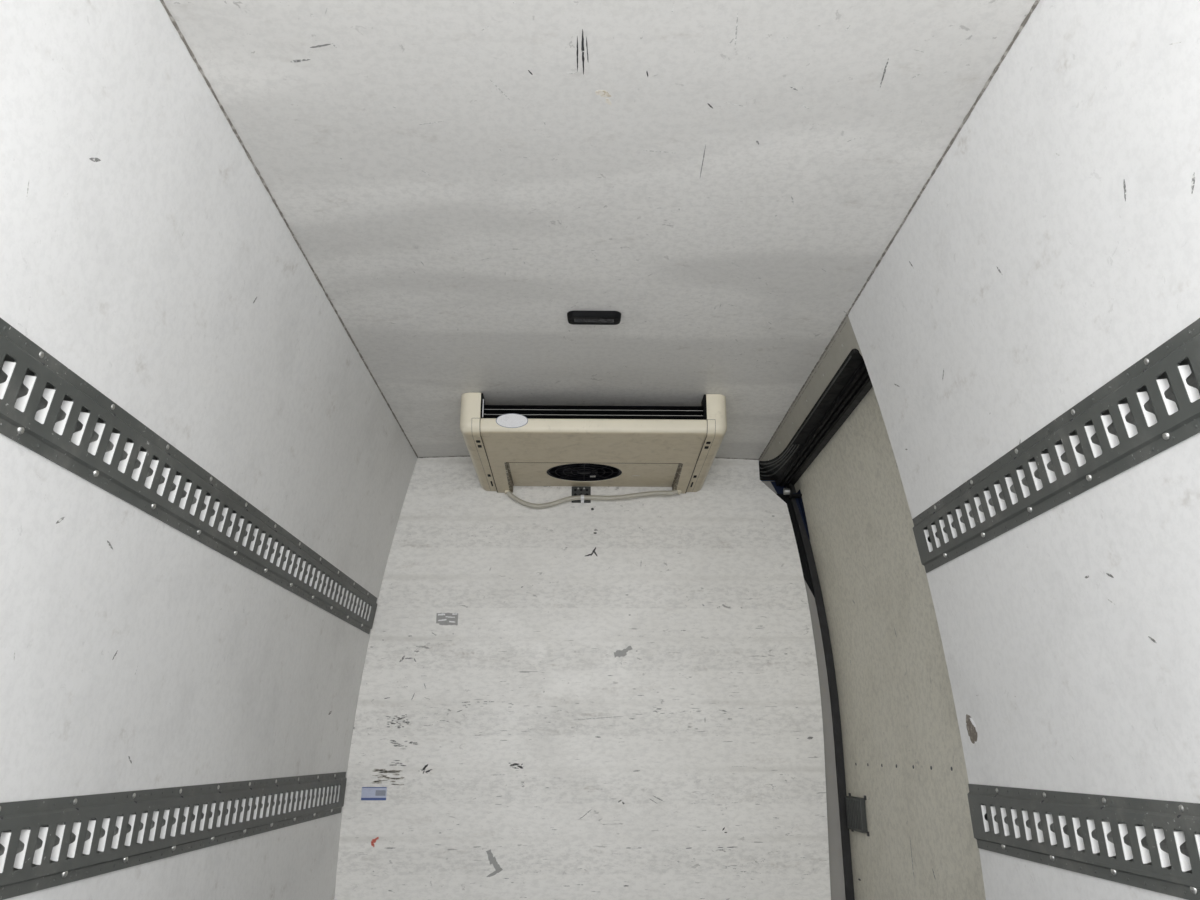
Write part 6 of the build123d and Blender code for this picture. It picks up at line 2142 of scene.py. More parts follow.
@dataclass(frozen=True)
class HoseBracket:
    """Perforated grey strap on the bulkhead and the clamp that holds the hose."""

    width: float = 0.070
    height: float = 0.061
    middle: Tone = (-0.029, 1.5972, FLOOR_Z + 1.6555)
    hose: Tone = (-0.0240, 1.5750, FLOOR_Z + 1.6377)

    def build(self) -> None:
        """Makes the strap, the clamp and the screws."""
        strap, clamp, screws = Solid(), Solid(), Solid()
        place = facing_back(Vector(self.middle))
        holes = [circle(0.0052, 14, (x, y)) for x in (-0.022, 0.0, 0.022) for y in (-0.018, 0.0, 0.018)]
        strap.pierced(place, round_outline(self.width, self.height, 0.004), holes, 0.0, 0.0014)
        strap.piece("hose_strap", Coat.SLATE, slot="zinc")
        hose = Vector(self.hose)
        along = Vector((0.0600, 0.0, 0.0006)).normalized()
        up = Vector((0.0, 0.0, 1.0))
        up = (up - up.project(along)).normalized()
        ring = seat(hose, up.cross(along), up)
        clamp.pierced(ring, circle(0.0108, 24), [circle(0.0086, 24)], -0.0065, 0.0065)
        tongue = facing_back(hose + Vector((0.0, 0.0, -0.0150)))
        clamp.plate(tongue, (0.0110, 0.014), 0.002, -0.0010, 0.0012)
        clamp.piece("hose_clamp", Coat.LABEL, slot="cream_plastic")
        for x in (-0.011, 0.011):
            screws.head(place @ shift(x, 0.024, 0.0014), 0.0036, 0.0018)
        screws.piece("hose_strap_screws", Coat.ZINC, slot="zinc")


@dataclass(frozen=True)
class CeilingLamp:
    """Rim, ribbed lens and end screws of the ceiling lamp."""

    centre: Flat = (0.005, 0.396)
    level: float = FLOOR_Z + 1.815 - 0.0008 - 0.015
    rim: Flat = (0.135, 0.044)
    window: Flat = (0.108, 0.025)

    def build(self) -> None:
        """Makes the lamp's rim, lens and screws."""
        place = facing_down((*self.centre, self.level))
        rim, lens, screws = Solid(), Solid(), Solid()
        window = round_outline(*self.window, 0.004)
        rim.pierced(place, round_outline(*self.rim, 0.015), [window], -0.0006, 0.0024)
        rim.piece("lamp_rim", Coat.TRACK, slot="black_plastic")
        lens.plate(place, (self.window[0] - 0.004, self.window[1] - 0.003), 0.003, -0.0006, 0.0010, 0.0005)
        rib = (self.window[0] - 0.010, 0.0014)
        for y in even(-0.009, 0.009, 6):
            lens.plate(place @ shift(0, y, 0), rib, 0.0006, 0.0006, 0.0016, 0.0003)
        lens.piece("lamp_lens", Coat.SMOKE, slot="black_plastic")
        for side in (-1, 1):
            screws.head(place @ shift(side * 0.0606, 0.0, 0.0024), 0.0026, 0.0010)
        screws.piece("lamp_screws", Coat.TRACK, slot="black_plastic")


@dataclass(frozen=True)
class SideDoor:
    """Dressing of the side doorway: header, gasket, notch, jamb, seal bulb with painted highlights on its
    lips, and the panel's fittings.
    """

    rear: float = 0.350
    opening_top: float = 1.715
    curve_start: float = 1.190
    curve_rise: float = 0.4336
    corner: float = 0.050
    track_x: float = 0.7140
    jamb_y: float = 1.620
    seal_width: float = 0.027
    cover_top: float = 1.668
    cover_foot: float = 1.270
    pillar_foot: float = 1.486
    panel_screws: tuple[float, ...] = (0.616, 0.758, 0.896, 1.041, 1.179, 1.325, 1.461)

    def header_edge(self, y: float) -> float:
        """Height of the header's lower edge above the load floor.

        Args:
            y: Place along the body.

        Returns:
            The height.
        """
        if y < self.rear + self.corner:
            reach = self.rear + self.corner - y
            return self.opening_top - self.corner + math.sqrt(max(self.corner**2 - reach**2, 0.0))
        return self.opening_top + self.curve_rise * max(y - self.curve_start, 0.0) ** 2

    def bulkhead_edge(self, height: float) -> float:
        """x of the bulkhead's cut edge at a height above the load floor.

        Args:
            height: Height above the load floor.

        Returns:
            The edge's x.
        """
        shoulder, shoulder_x = 1.625, 0.749
        if height > shoulder:
            return shoulder_x - (height - shoulder) * 1.032
        drop = shoulder - height
        return shoulder_x + 0.1997 * drop - 0.1268 * drop**2

    def place(self, y: float, height: float, lift: float, curve: WallCurve = BODY_INNER) -> Matrix:
        """Seat on the door's inner face or on the lining beside it."""
        up = curve.upward(Side.RIGHT, height)
        return seat(curve.spot(Side.RIGHT, y, height, lift), Vector((0, -1, 0)), up)

    def build(self) -> None:
        """Makes the doorway's pieces."""
        self.add_header_lines()
        self.add_gasket()
        self.add_notch()
        self.add_jamb_cover()
        self.add_seal_lips()
        self.add_panel_fittings()
        self.add_outside()
        self.darken_roller()

    def add_header_lines(self) -> None:
        """Adds the dotted bead's second line and the header's screws."""
        line, screws = Solid(), Solid()
        pairs = []
        for index, y in enumerate(even(self.rear + 0.012, FRONT - 0.018, 60)):
            heights = (1.7882, 1.7900 + 0.0004 * math.sin(index * 1.7))
            pairs.append(tuple(LINING.spot(Side.RIGHT, y, height, -0.0003) for height in heights))
        line.strip(pairs, LINING.inward(Side.RIGHT, 1.789) * 0.0008)
        line.piece("header_line", Coat.BEAD, slot="seal")
        for y in even(self.rear + 0.100, self.rear + 1.125, 5):
            screws.head(self.place(y, 1.758, 0.0, LINING), 0.0038, 0.0018)
        screws.piece("header_screws", Coat.SCREW, slot="zinc")

    def gasket_ring(self, y: float) -> list[Vector]:
        """Section of the gasket between the header's lower edge and the track.

        Args:
            y: Place along the body.

        Returns:
            The section's points.
        """
        height = self.header_edge(y)
        cover = 0.0065
        return [
            LINING.spot(Side.RIGHT, y, height + cover, 0.0030),
            LINING.spot(Side.RIGHT, y, height - 0.0045, 0.0030),
            above_floor(self.track_x, y, 1.7085),
            above_floor(self.track_x, y, 1.7128),
            LINING.spot(Side.RIGHT, y, height - 0.0010, -0.0040),
            LINING.spot(Side.RIGHT, y, height + cover, -0.0004),
        ]

    def add_gasket(self) -> None:
        """Adds the black gasket along the header and the ribs that curve down at its front end."""
        gasket, ribs = Solid(), Solid()
        straight = even(self.rear + 0.06, FRONT - 0.0015, 60)
        stations = [*even(self.rear + 0.012, self.rear + 0.054, 7), *straight]
        gasket.skin([self.gasket_ring(y) for y in stations])
        gasket.piece("header_gasket", Coat.TRACK, slot="seal")
        for share, end in ((0.18, 1.766), (0.42, 1.750), (0.68, 1.735)):
            points = []
            for y in even(1.140, 1.545, 12):
                ring = self.gasket_ring(y)
                points.append(ring[1].lerp(ring[2], share) + Vector((-0.0012, 0.0, -0.0012)))
            last = above_floor(0.6560, 1.5975, end)
            start = points[-1]
            bend = Vector((start.x - 0.012, 1.590, start.z + 0.002))
            for t in even(0.0, 1.0, 7)[1:]:
                points.append(start * (1 - t) ** 2 + bend * (2 * t * (1 - t)) + last * t**2)
            ribs.tube(points, 0.0024, sides=8)
        ribs.tube([self.gasket_ring(y)[1] + Vector((-0.0004, 0, 0)) for y in straight], 0.0020, sides=8)
        ribs.piece("header_gasket_ribs", Coat.SLATE, slot="seal")

    def add_notch(self) -> None:
        """Closes the notch above the jamb with a black liner, and adds the pillar's blue edge in a darker
        copy of the body's paint, as painted shade.
        """
        liner, pillar = Solid(), Solid()
        flat = [(0.6522, 1.7185), (0.7600, 1.7185), (0.7600, 1.7240), (0.7000, 1.7890), (0.6522, 1.7890)]
        liner.skin([[above_floor(x, y, z) for x, z in flat] for y in (1.6030, 1.6055)])
        liner.piece("notch_liner", Coat.TRACK, slot="seal")
        # Pillar corner and edge strip in the darker blue: painted shade.
        corner = [(0.6960, 1.7170), (0.7535, 1.7170), (0.7540, 1.6900), (0.7480, 1.6680), (0.7230, 1.6640)]
        pillar.skin([[above_floor(x, y, z) for x, z in corner] for y in (1.6182, 1.6203)])
        top, foot = self.cover_top, self.pillar_foot
        reach = [(1.552, top), (1.6065, top), (1.6065, foot), (1.5990, 1.500), (1.5720, 1.590)]
        lifts = (-0.0004, 0.0010)
        pillar.skin([[BODY_INNER.spot(Side.RIGHT, y, z, lift) for y, z in reach] for lift in lifts])
        strip = []
        for share in even(0.0, 1.0, 8):
            height = self.cover_top + (self.pillar_foot - self.cover_top) * share
            edge = BODY_INNER.reach(height)
            width = 0.014 * (1 - 0.75 * share)
            strip.append(tuple(above_floor(edge - inset, 1.6083, height) for inset in (width, 0.0006)))
        pillar.strip(strip, Vector((0.0, -0.0012, 0.0)))
        pillar.piece("pillar_edge_shaded", Coat.PAINT_SHADED, slot="body_paint")

    def add_jamb_cover(self) -> None:
        """Adds the black liner on the jamb's upper part, from the shoulder down to a point."""
        cover = Solid()
        pairs = []
        for height in even(self.cover_top, self.cover_foot, 24):
            far = BODY_INNER.reach(height) - self.seal_width + 0.0006
            taper = min(1.0, (height - self.cover_foot) / 0.10 + 0.02)
            near = far - (far - self.bulkhead_edge(height) + 0.003) * taper
            pairs.append((above_floor(near, self.jamb_y, height), above_floor(far, self.jamb_y, height)))
        cover.strip(pairs, Vector((0.0, -0.0020, 0.0)))
        cover.piece("jamb_cover", Coat.TRACK, slot="seal")

    def add_seal_lips(self) -> None:
        """Adds the two grey lines along the upright seal's face, painted highlights on its lips, and the bulb
        between them.
        """
        lips, bulb = Solid(), Solid()
        for inset in (0.0210, 0.0075):
            # Grey lines on the lips: painted highlight.
            lips.tube(self.seal_line(inset, 1.6081, even(0.020, 1.300, 49)), 0.0010, sides=6)
        lips.piece("seal_lips", Coat.RUBBER_GLINT, slot="seal")
        bulb.tube(self.seal_line(0.0140, 1.6085, even(0.020, 1.690, 59)), 0.0042, sides=10)
        bulb.piece("seal_bulb", Coat.RUBBER, slot="seal")

    def seal_line(self, inset: float, y: float, heights: Sequence[float]) -> list[Vector]:
        """Line up the upright seal, at an inset from the body's inner wall."""
        return [above_floor(BODY_INNER.reach(height) - inset, y, height) for height in heights]

    def add_panel_fittings(self) -> None:
        """Adds the panel's screws, the latch's ridges and its corner tabs."""
        screws, ridges, tabs = Solid(), Solid(), Solid()
        for y in self.panel_screws:
            screws.head(self.place(y, 0.692, 0.0), 0.0050, 0.0022, sides=14)
        screws.piece("panel_screws", Coat.HUB, slot="zinc")
        face_x = BODY_INNER.reach(0.5) - 0.019
        for index in range(8):
            middle = above_floor(face_x, 1.407 + 0.0195 * index, 0.536)
            ridges.plate(facing_side(middle, -1), (0.0060, 0.086), 0.002, -0.0006, 0.0022, 0.0008)
        ridges.piece("latch_ridges", Coat.SLATE, slot="black_plastic")
        for y in (1.384, 1.566):
            for height in (0.482, 0.590):
                tabs.plate(self.place(y, height, 0.0), (0.020, 0.014), 0.003, -0.0006, 0.0024)
        tabs.piece("latch_tabs", Coat.BLACK, slot="black_plastic")

    def add_outside(self) -> None:
        """Adds the grip's lock and the running rail's end caps and screws."""
        lock, caps, screws = Solid(), Solid(), Solid()
        face = BODY_OUTER.half_width
        barrel = facing_side((face + 0.0100, 1.458, FLOOR_Z + 0.702), 1)
        lock.lathe(barrel, [(0.0085, -0.0006), (0.0085, 0.0020), (0.0070, 0.0030), (0.0020, 0.0031)], 24)
        lock.plate(barrel @ shift(0, 0, 0.003), (0.0012, 0.0070), 0.0005, -0.0004, 0.0004)
        lock.piece("grip_lock", Coat.SCREW, slot="zinc")
        for y, inset in ((-0.760, -0.006), (0.320, 0.006)):
            middle = above_floor(face + 0.0066, y + inset, 0.812)
            caps.plate(facing_side(middle, 1), (0.0150, 0.048), 0.004, -0.0060, 0.0070, 0.002)
        caps.piece("runner_caps", Coat.BLACK, slot="black_plastic")
        for index in range(7):
            middle = above_floor(face + 0.0061, -0.700 + index * 0.160, 0.812)
            screws.head(facing_side(middle, 1), 0.0050, 0.0022, sides=14)
        screws.piece("runner_screws", Coat.SCREW, slot="zinc")

    def darken_roller(self) -> None:
        """Paints the roller bracket's arm dark, which leaves the roller and its plate bright."""
        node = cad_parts["side_door_roller"]
        node.data.materials.append(Coat.TRACK.value.material())
        for face in node.data.polygons:
            if (node.matrix_world @ face.center).x > 0.7523:
                face.material_index = 1


@dataclass(frozen=True)
class RearDoor:
    """Dressing of one rear door, stored open: bolts, inner fittings, trims and a blank plate."""

    side: Side
    skin_x: float = 0.785
    hinge_y: float = -1.746
    lining_depth: float = 0.091
    hinge_heights: tuple[float, ...] = (0.190, 0.860, 1.530)

    @property
    def body(self) -> str:
        """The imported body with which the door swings."""
        return f"rear_door_{self.side.word}"

    def place(self, reach: float, height: float, depth: float, outward: bool) -> Matrix:
        """Seat on the door.

        Args:
            reach: Distance from the hinge towards the free edge.
            height: Height above the load floor.
            depth: Depth in from the outer skin.
            outward: True to face away from the load space.

        Returns:
            The seat's matrix.
        """
        origin = above_floor(self.side.value * (self.skin_x - depth), self.hinge_y - reach, height)
        turn = self.side.value if outward else -self.side.value
        return facing_side(origin, turn)

    def build(self) -> None:
        """Makes the door's pieces."""
        self.add_bolts()
        self.add_lining_fittings()
        self.add_edge_trim()
        if self.side is Side.RIGHT:
            self.add_lock()
        else:
            self.add_blank_plate()

    def add_bolts(self) -> None:
        """Adds the hinge leaves' bolts and the bolts of the fixed plates."""
        moving, fixed = Solid(), Solid()
        for height in self.hinge_heights:
            for reach in (0.046, 0.082):
                moving.bolt(self.place(reach, height, -0.006, True), 0.0065, 0.0042)
            for rise in (-0.018, 0.018):
                origin = above_floor(self.side.value * 0.849, -1.737, height + rise)
                fixed.bolt(facing_back(origin), 0.0060, 0.0040)
        moving.piece(f"hinge_bolts_{self.side.word}", Coat.SCREW, self.body, "zinc")
        fixed.piece(f"hinge_plate_bolts_{self.side.word}", Coat.SCREW, slot="zinc")

    def add_lining_fittings(self) -> None:
        """Adds the lining's screws, its kick plate and the inner release lever."""
        screws, kick, lever, pull = Solid(), Solid(), Solid(), Solid()
        spots = [
            (reach, height)
            for height in even(0.060, 1.610, 10)
            for reach in (0.092, 0.752)
            if reach > 0.1 or height < 1.6
        ]
        spots += [(reach, height) for reach in (0.20, 0.33, 0.46, 0.59, 0.68) for height in (0.030, 1.692)]
        for reach, height in spots:
            screws.head(self.place(reach, height, self.lining_depth, False), 0.0050, 0.0022, sides=14)
        screws.piece(f"door_lining_screws_{self.side.word}", Coat.SCREW, self.body, "zinc")
        middle = self.place(0.4215, 0.165, self.lining_depth, False)
        kick.plate(middle, (0.600, 0.200), 0.010, -0.0004, 0.0014, 0.0004)
        for reach in (0.140, 0.330, 0.510, 0.700):
            for height in (0.080, 0.250):
                kick.head(self.place(reach, height, self.lining_depth - 0.0014, False), 0.0042, 0.0016)
        kick.piece(f"door_kick_plate_{self.side.word}", Coat.ALLOY, self.body, "zinc")
        base = self.place(0.690, 0.900, self.lining_depth, False)
        lever.plate(base, (0.070, 0.150), 0.012, -0.0004, 0.0050, 0.0020)
        lever.plate(base @ shift(0.0, 0.020, 0.005), (0.026, 0.086), 0.008, -0.0004, 0.0110, 0.0030)
        lever.piece(f"door_release_{self.side.word}", Coat.BLACK, self.body, "black_plastic")
        points = []
        for share in even(0.0, 1.0, 12):
            rise = 0.026 * math.sin(math.pi * share) ** 0.6 if 0 < share < 1 else 0.0
            spot = self.place(0.640, 0.560 + 0.200 * share, self.lining_depth - 0.002 - rise, False)
            points.append(spot.translation)
        pull.tube(points, 0.0075, sides=12)
        for height in (0.560, 0.760):
            foot = self.place(0.640, height, self.lining_depth, False)
            pull.plate(foot, (0.034, 0.040), 0.008, -0.0004, 0.0050, 0.0015)
        pull.piece(f"door_pull_{self.side.word}", Coat.BLACK, self.body, "black_plastic")

    def add_edge_trim(self) -> None:
        """Adds the lining's corner trims and the drain slots low on the skin."""
        trim, drains = Solid(), Solid()
        for reach in (0.0745, 0.7685):
            place = self.place(reach, 0.790, self.lining_depth, False)
            trim.plate(place, (0.0120, 1.500), 0.0020, -0.0030, 0.0012, 0.0006)
        trim.piece(f"door_lining_trims_{self.side.word}", Coat.ALLOY, self.body, "zinc")
        for reach in (0.20, 0.42, 0.64):
            drains.plate(self.place(reach, 0.020, 0.0, True), (0.030, 0.006), 0.0028, -0.0010, 0.0008)
        drains.piece(f"door_drains_{self.side.word}", Coat.BLACK, self.body, "black_plastic")

    def add_lock(self) -> None:
        """Adds the lock barrel below the handle's pull and the plate's screws."""
        lock, screws = Solid(), Solid()
        barrel = self.place(0.736, 0.758, -0.006, True)
        lock.lathe(barrel, [(0.0100, -0.0006), (0.0100, 0.0024), (0.0085, 0.0034), (0.0020, 0.0035)], 24)
        lock.plate(barrel @ shift(0, 0, 0.0034), (0.0014, 0.0080), 0.0006, -0.0004, 0.0004)
        lock.piece("door_lock", Coat.SCREW, self.body, "zinc")
        for reach in (0.703, 0.769):
            for height in (0.746, 0.834):
                screws.head(self.place(reach, height, -0.006, True), 0.0034, 0.0014)
        screws.piece("handle_screws", Coat.SCREW, self.body, "zinc")

    def add_blank_plate(self) -> None:
        """Adds the blank plate and its lamp bar in the lower pressing."""
        plate, bar = Solid(), Solid()
        plate.plate(self.place(0.4255, 0.420, 0.007, True), (0.500, 0.108), 0.008, -0.0004, 0.0022, 0.0006)
        for reach in (0.250, 0.601):
            plate.head(self.place(reach, 0.420, 0.0048, True), 0.0050, 0.0016)
        plate.piece("blank_plate", Coat.LABEL, self.body, "door_lining")
        bar.plate(self.place(0.4255, 0.505, 0.007, True), (0.260, 0.026), 0.010, -0.0004, 0.0110, 0.0030)
        bar.piece("plate_lamp_bar", Coat.BLACK, self.body, "black_plastic")


@dataclass(frozen=True)
class BodyShell:
    """Dressing of the outer shell: gutters, lamps, step pad, side markers and service fittings."""

    rear: float = -1.731
    front: float = 1.700
    lamp_x: float = 0.925
    lamp_height: float = 0.560

    def build(self) -> None:
        """Makes the shell's pieces."""
        self.add_gutters()
        self.add_lamps()
        self.add_markers()
        self.add_step_pad()
        self.add_moulding_lines()
        self.add_service_fittings()

    def add_gutters(self) -> None:
        """Adds the black gutter strip along each edge of the roof."""
        gutters = Solid()
        for side in (-1, 1):
            stations = even(self.rear + 0.02, self.front - 0.02, 24)
            gutters.tube([above_floor(side * 0.8275, y, 1.8775) for y in stations], 0.0050, sides=8)
        gutters.piece("roof_gutters", Coat.BLACK, slot="black_plastic")

    def add_lamps(self) -> None:
        """Adds the sections of the rear lamps and the high brake lamp."""
        red, amber, clear, rims = Solid(), Solid(), Solid(), Solid()
        sections = ((red, 0.092, 0.108), (amber, 0.008, 0.052), (clear, -0.052, 0.056), (red, -0.118, 0.066))
        for side in (-1, 1):
            base = above_floor(side * self.lamp_x, self.rear - 0.016, self.lamp_height)
            for solid, rise, height in sections:
                place = facing_back(base + Vector((0, 0, rise)))
                solid.plate(place, (0.060, height), 0.010, -0.0010, 0.0011, 0.0006)
            for rise in (-0.157, 0.157):
                rims.head(facing_back(base + Vector((0, 0, rise))), 0.0030, 0.0009, sides=10)
        high = facing_back((0, self.rear, FLOOR_Z + 1.832))
        rims.plate(high, (0.300, 0.040), 0.014, -0.0010, 0.0120, 0.0040)
        red.plate(high @ shift(0, 0, 0.012), (0.262, 0.022), 0.008, -0.0010, 0.0014, 0.0006)
        red.piece("lamp_sections_red", Coat.LAMP_RED, slot="lamp_red")
        amber.piece("lamp_sections_amber", Coat.LAMP_AMBER, slot="lamp_red")
        clear.piece("lamp_sections_clear", Coat.LAMP_CLEAR, slot="lamp_red")
        rims.piece("lamp_rims", Coat.BLACK, slot="black_plastic")

    def add_markers(self) -> None:
        """Adds the amber side markers above the side mouldings."""
        lenses, bases = Solid(), Solid()
        for side, places in ((-1, (-1.45, 0.20, 1.48)), (1, (-1.45, 0.04, 1.48))):
            for y in places:
                origin = above_floor(side * BODY_OUTER.half_width, y, 0.232)
                place = facing_side(origin, side)
                bases.plate(place, (0.078, 0.030), 0.012, -0.0010, 0.0030, 0.0010)
                lenses.plate(place, (0.066, 0.020), 0.008, 0.0010, 0.0066, 0.0024)
        lenses.piece("side_marker_lenses", Coat.LAMP_AMBER, slot="lamp_red")
        bases.piece("side_marker_bases", Coat.BLACK, slot="black_plastic")

    def add_step_pad(self) -> None:
        """Adds the rear step's grit pad and the ridges along its edge."""
        pad, ridges = Solid(), Solid()
        top = facing_up((0, self.rear - 0.054, FLOOR_Z - 0.060))
        pad.plate(top, (1.600, 0.070), 0.006, -0.0006, 0.0020, 0.0006)
        pad.piece("step_pad", Coat.TREAD, slot="floor")
        for height in even(-0.090, -0.138, 3):
            middle = above_floor(0, self.rear - 0.114, height)
            ridges.plate(facing_back(middle), (1.640, 0.0060), 0.002, -0.0020, 0.0008)
        ridges.piece("step_ridges", Coat.BLACK, slot="black_plastic")

    def add_moulding_lines(self) -> None:
        """Adds the line along each side moulding's face."""
        lines = Solid()
        face = BODY_OUTER.half_width + 0.0100
        runs = ((-1, -1.70, -1.26), (-1, -0.24, 1.67), (1, -1.70, -1.26), (1, -0.24, 0.32), (1, 0.37, 1.63))
        for side, start, end in runs:
            for height in (0.134, 0.176):
                place = facing_side(above_floor(side * face, (start + end) / 2, height), side)
                lines.plate(place, (end - start - 0.06, 0.0040), 0.0015, -0.0030, -0.0001)
        lines.piece("moulding_lines", Coat.HUB, slot="black_plastic")

    def add_service_fittings(self) -> None:
        """Adds the plate with the capped refrigerant pipes and the cable on the bulkhead's front."""
        plate, pipes, nuts = Solid(), Solid(), Solid()
        face = FRONT + 0.075
        place = seat(above_floor(0.30, face, 1.36), Vector((-1, 0, 0)), Vector((0, 0, 1)))
        plate.plate(place, (0.220, 0.130), 0.012, -0.0006, 0.0024, 0.0008)
        for x in (-0.095, 0.095):
            for z in (-0.050, 0.050):
                nuts.bolt(place @ shift(x, z, 0.0024), 0.0050, 0.0036)
        for x, radius in ((0.250, 0.0085), (0.345, 0.0060)):
            bend = 0.0115
            points = [above_floor(x, face + 0.001, 1.375)]
            for angle in even(0.0, math.pi / 2, 6):
                drop = bend * (1 - math.cos(angle))
                points.append(above_floor(x, face + 0.001 + bend * math.sin(angle), 1.375 - drop))
            points.append(above_floor(x, face + 0.001 + bend, 1.140))
            pipes.tube(points, radius, sides=14)
            ends = [above_floor(x, face + 0.001 + bend, height) for height in (1.165, 1.140)]
            nuts.tube(ends, radius + 0.0030, sides=6)
        plate.piece("service_plate", Coat.ALLOY, slot="zinc")
        pipes.piece("service_pipes", Coat.RUBBER, slot="seal")
        nuts.piece("service_nuts", Coat.SCREW, slot="zinc")


@dataclass(frozen=True)
class RoofUnit:
    """Dressing of the roof unit: guard and cover screws, side catches, blank plate and conduit."""

    centre_y: float = 1.200
    base: float = FLOOR_Z + 1.962
    top: float = FLOOR_Z + 2.132
    taper: float = math.radians(7)
    half: Flat = (0.520, 0.320)
    fan_x: float = 0.255

    def build(self) -> None:
        """Makes the unit's pieces."""
        screws, catches, hubs = Solid(), Solid(), Solid()
        deck = Vector((0, self.centre_y, self.top))
        for side in (-1, 1):
            middle = deck + Vector((side * self.fan_x, 0, 0.0032))
            for angle in around(10, math.pi / 10):
                spot = middle + Vector((math.cos(angle), math.sin(angle), 0.0)) * 0.196
                if abs(spot.x) < 0.052 and side * spot.x < 0.03:
                    continue
                screws.head(facing_up(spot), 0.0050, 0.0008)
            hub = facing_up(middle)
            hubs.lathe(hub, [(0.034, -0.0004), (0.034, 0.0004), (0.028, 0.0007)], 32)
            self.add_catches(catches, side)
            for y in (-0.20, 0.20):
                foot = above_floor(side * 0.424, self.centre_y + y, 1.9505)
                screws.bolt(facing_side(foot, side), 0.0060, 0.0044)
        screws.piece("unit_screws", Coat.SCREW, slot="zinc")
        catches.piece("unit_catches", Coat.BLACK, slot="black_plastic")
        hubs.piece("unit_guard_hubs", Coat.HUB, slot="black_plastic")
        self.add_plate()
        self.add_conduit()
        self.add_baffle()

    def slanted(self, reach: float, rise: float, out: Vector, along: Vector) -> Matrix:
        """Seat on one of the cover's slanted faces, at a rise above its base.

        Args:
            reach: Distance of the face's foot from the unit's middle.
            rise: Height above the base.
            out: Level direction in which the face looks.
            along: Direction along the face.

        Returns:
            The seat's matrix.
        """
        up = Vector((0, 0, 1)) * math.cos(self.taper) - out * math.sin(self.taper)
        origin = Vector((0, self.centre_y, self.base)) + out * (reach - rise * math.tan(self.taper))
        return seat(origin + Vector((0, 0, rise)), along, up)

    def add_catches(self, catches: Solid, side: int) -> None:
        """Adds the two catches of one side of the cover.

        Args:
            catches: Mesh that is being gathered.
            side: 1 for right, -1 for left.
        """
        for y in (-0.150, 0.150):
            place = self.slanted(self.half[0], 0.036, Vector((side, 0, 0)), Vector((0, side, 0)))
            place = shift(0, y, 0) @ place
            catches.plate(place, (0.034, 0.056), 0.006, -0.0030, 0.0050, 0.0014)
            catches.plate(place @ shift(0, 0.006, 0.005), (0.022, 0.030), 0.005, -0.0004, 0.0060, 0.0020)

    def add_plate(self) -> None:
        """Adds the blank plate on the cover's rear face."""
        plate = Solid()
        place = self.slanted(self.half[1], 0.128, Vector((0, -1, 0)), Vector((1, 0, 0)))
        plate.plate(place, (0.240, 0.034), 0.006, -0.0010, 0.0012, 0.0005)
        plate.piece("unit_blank_plate", Coat.LABEL_GREY, slot="unit_cover")

    def add_conduit(self) -> None:
        """Adds the ribbed conduit from the cover's front down to its grommet on the roof."""
        conduit, grommet = Solid(), Solid()
        points, radii = [], []
        path = ((1.506, 2.222), (1.532, 2.218), (1.556, 2.206), (1.572, 2.186), (1.576, 2.160))
        route = [Vector((0.360, y, z)) for y, z in path]
        for start, end in zip(route, route[1:]):
            for step in range(8):
                points.append(start.lerp(end, step / 8))
                radii.append(0.0115 if step % 2 else 0.0098)
        conduit.tube(points, radii, sides=14)
        conduit.piece("unit_conduit", Coat.BLACK, slot="black_plastic")
        place = facing_up((0.360, 1.576, 2.157))
        grommet.lathe(place, [(0.026, -0.002), (0.026, 0.004), (0.020, 0.009), (0.014, 0.012)], 28)
        grommet.piece("unit_grommet", Coat.RUBBER, slot="seal")

    def add_baffle(self) -> None:
        """Adds the cover's rubber foot strip."""
        foot = Solid()
        outline = round_outline(2 * self.half[0] + 0.006, 2 * self.half[1] + 0.006, 0.092, 8)
        hole = round_outline(2 * self.half[0] - 0.004, 2 * self.half[1] - 0.004, 0.088, 8)
        place = facing_up((0, self.centre_y, self.base))
        foot.pierced(place, outline, [hole], -0.0020, 0.0060)
        foot.piece("unit_foot_strip", Coat.RUBBER, slot="seal")


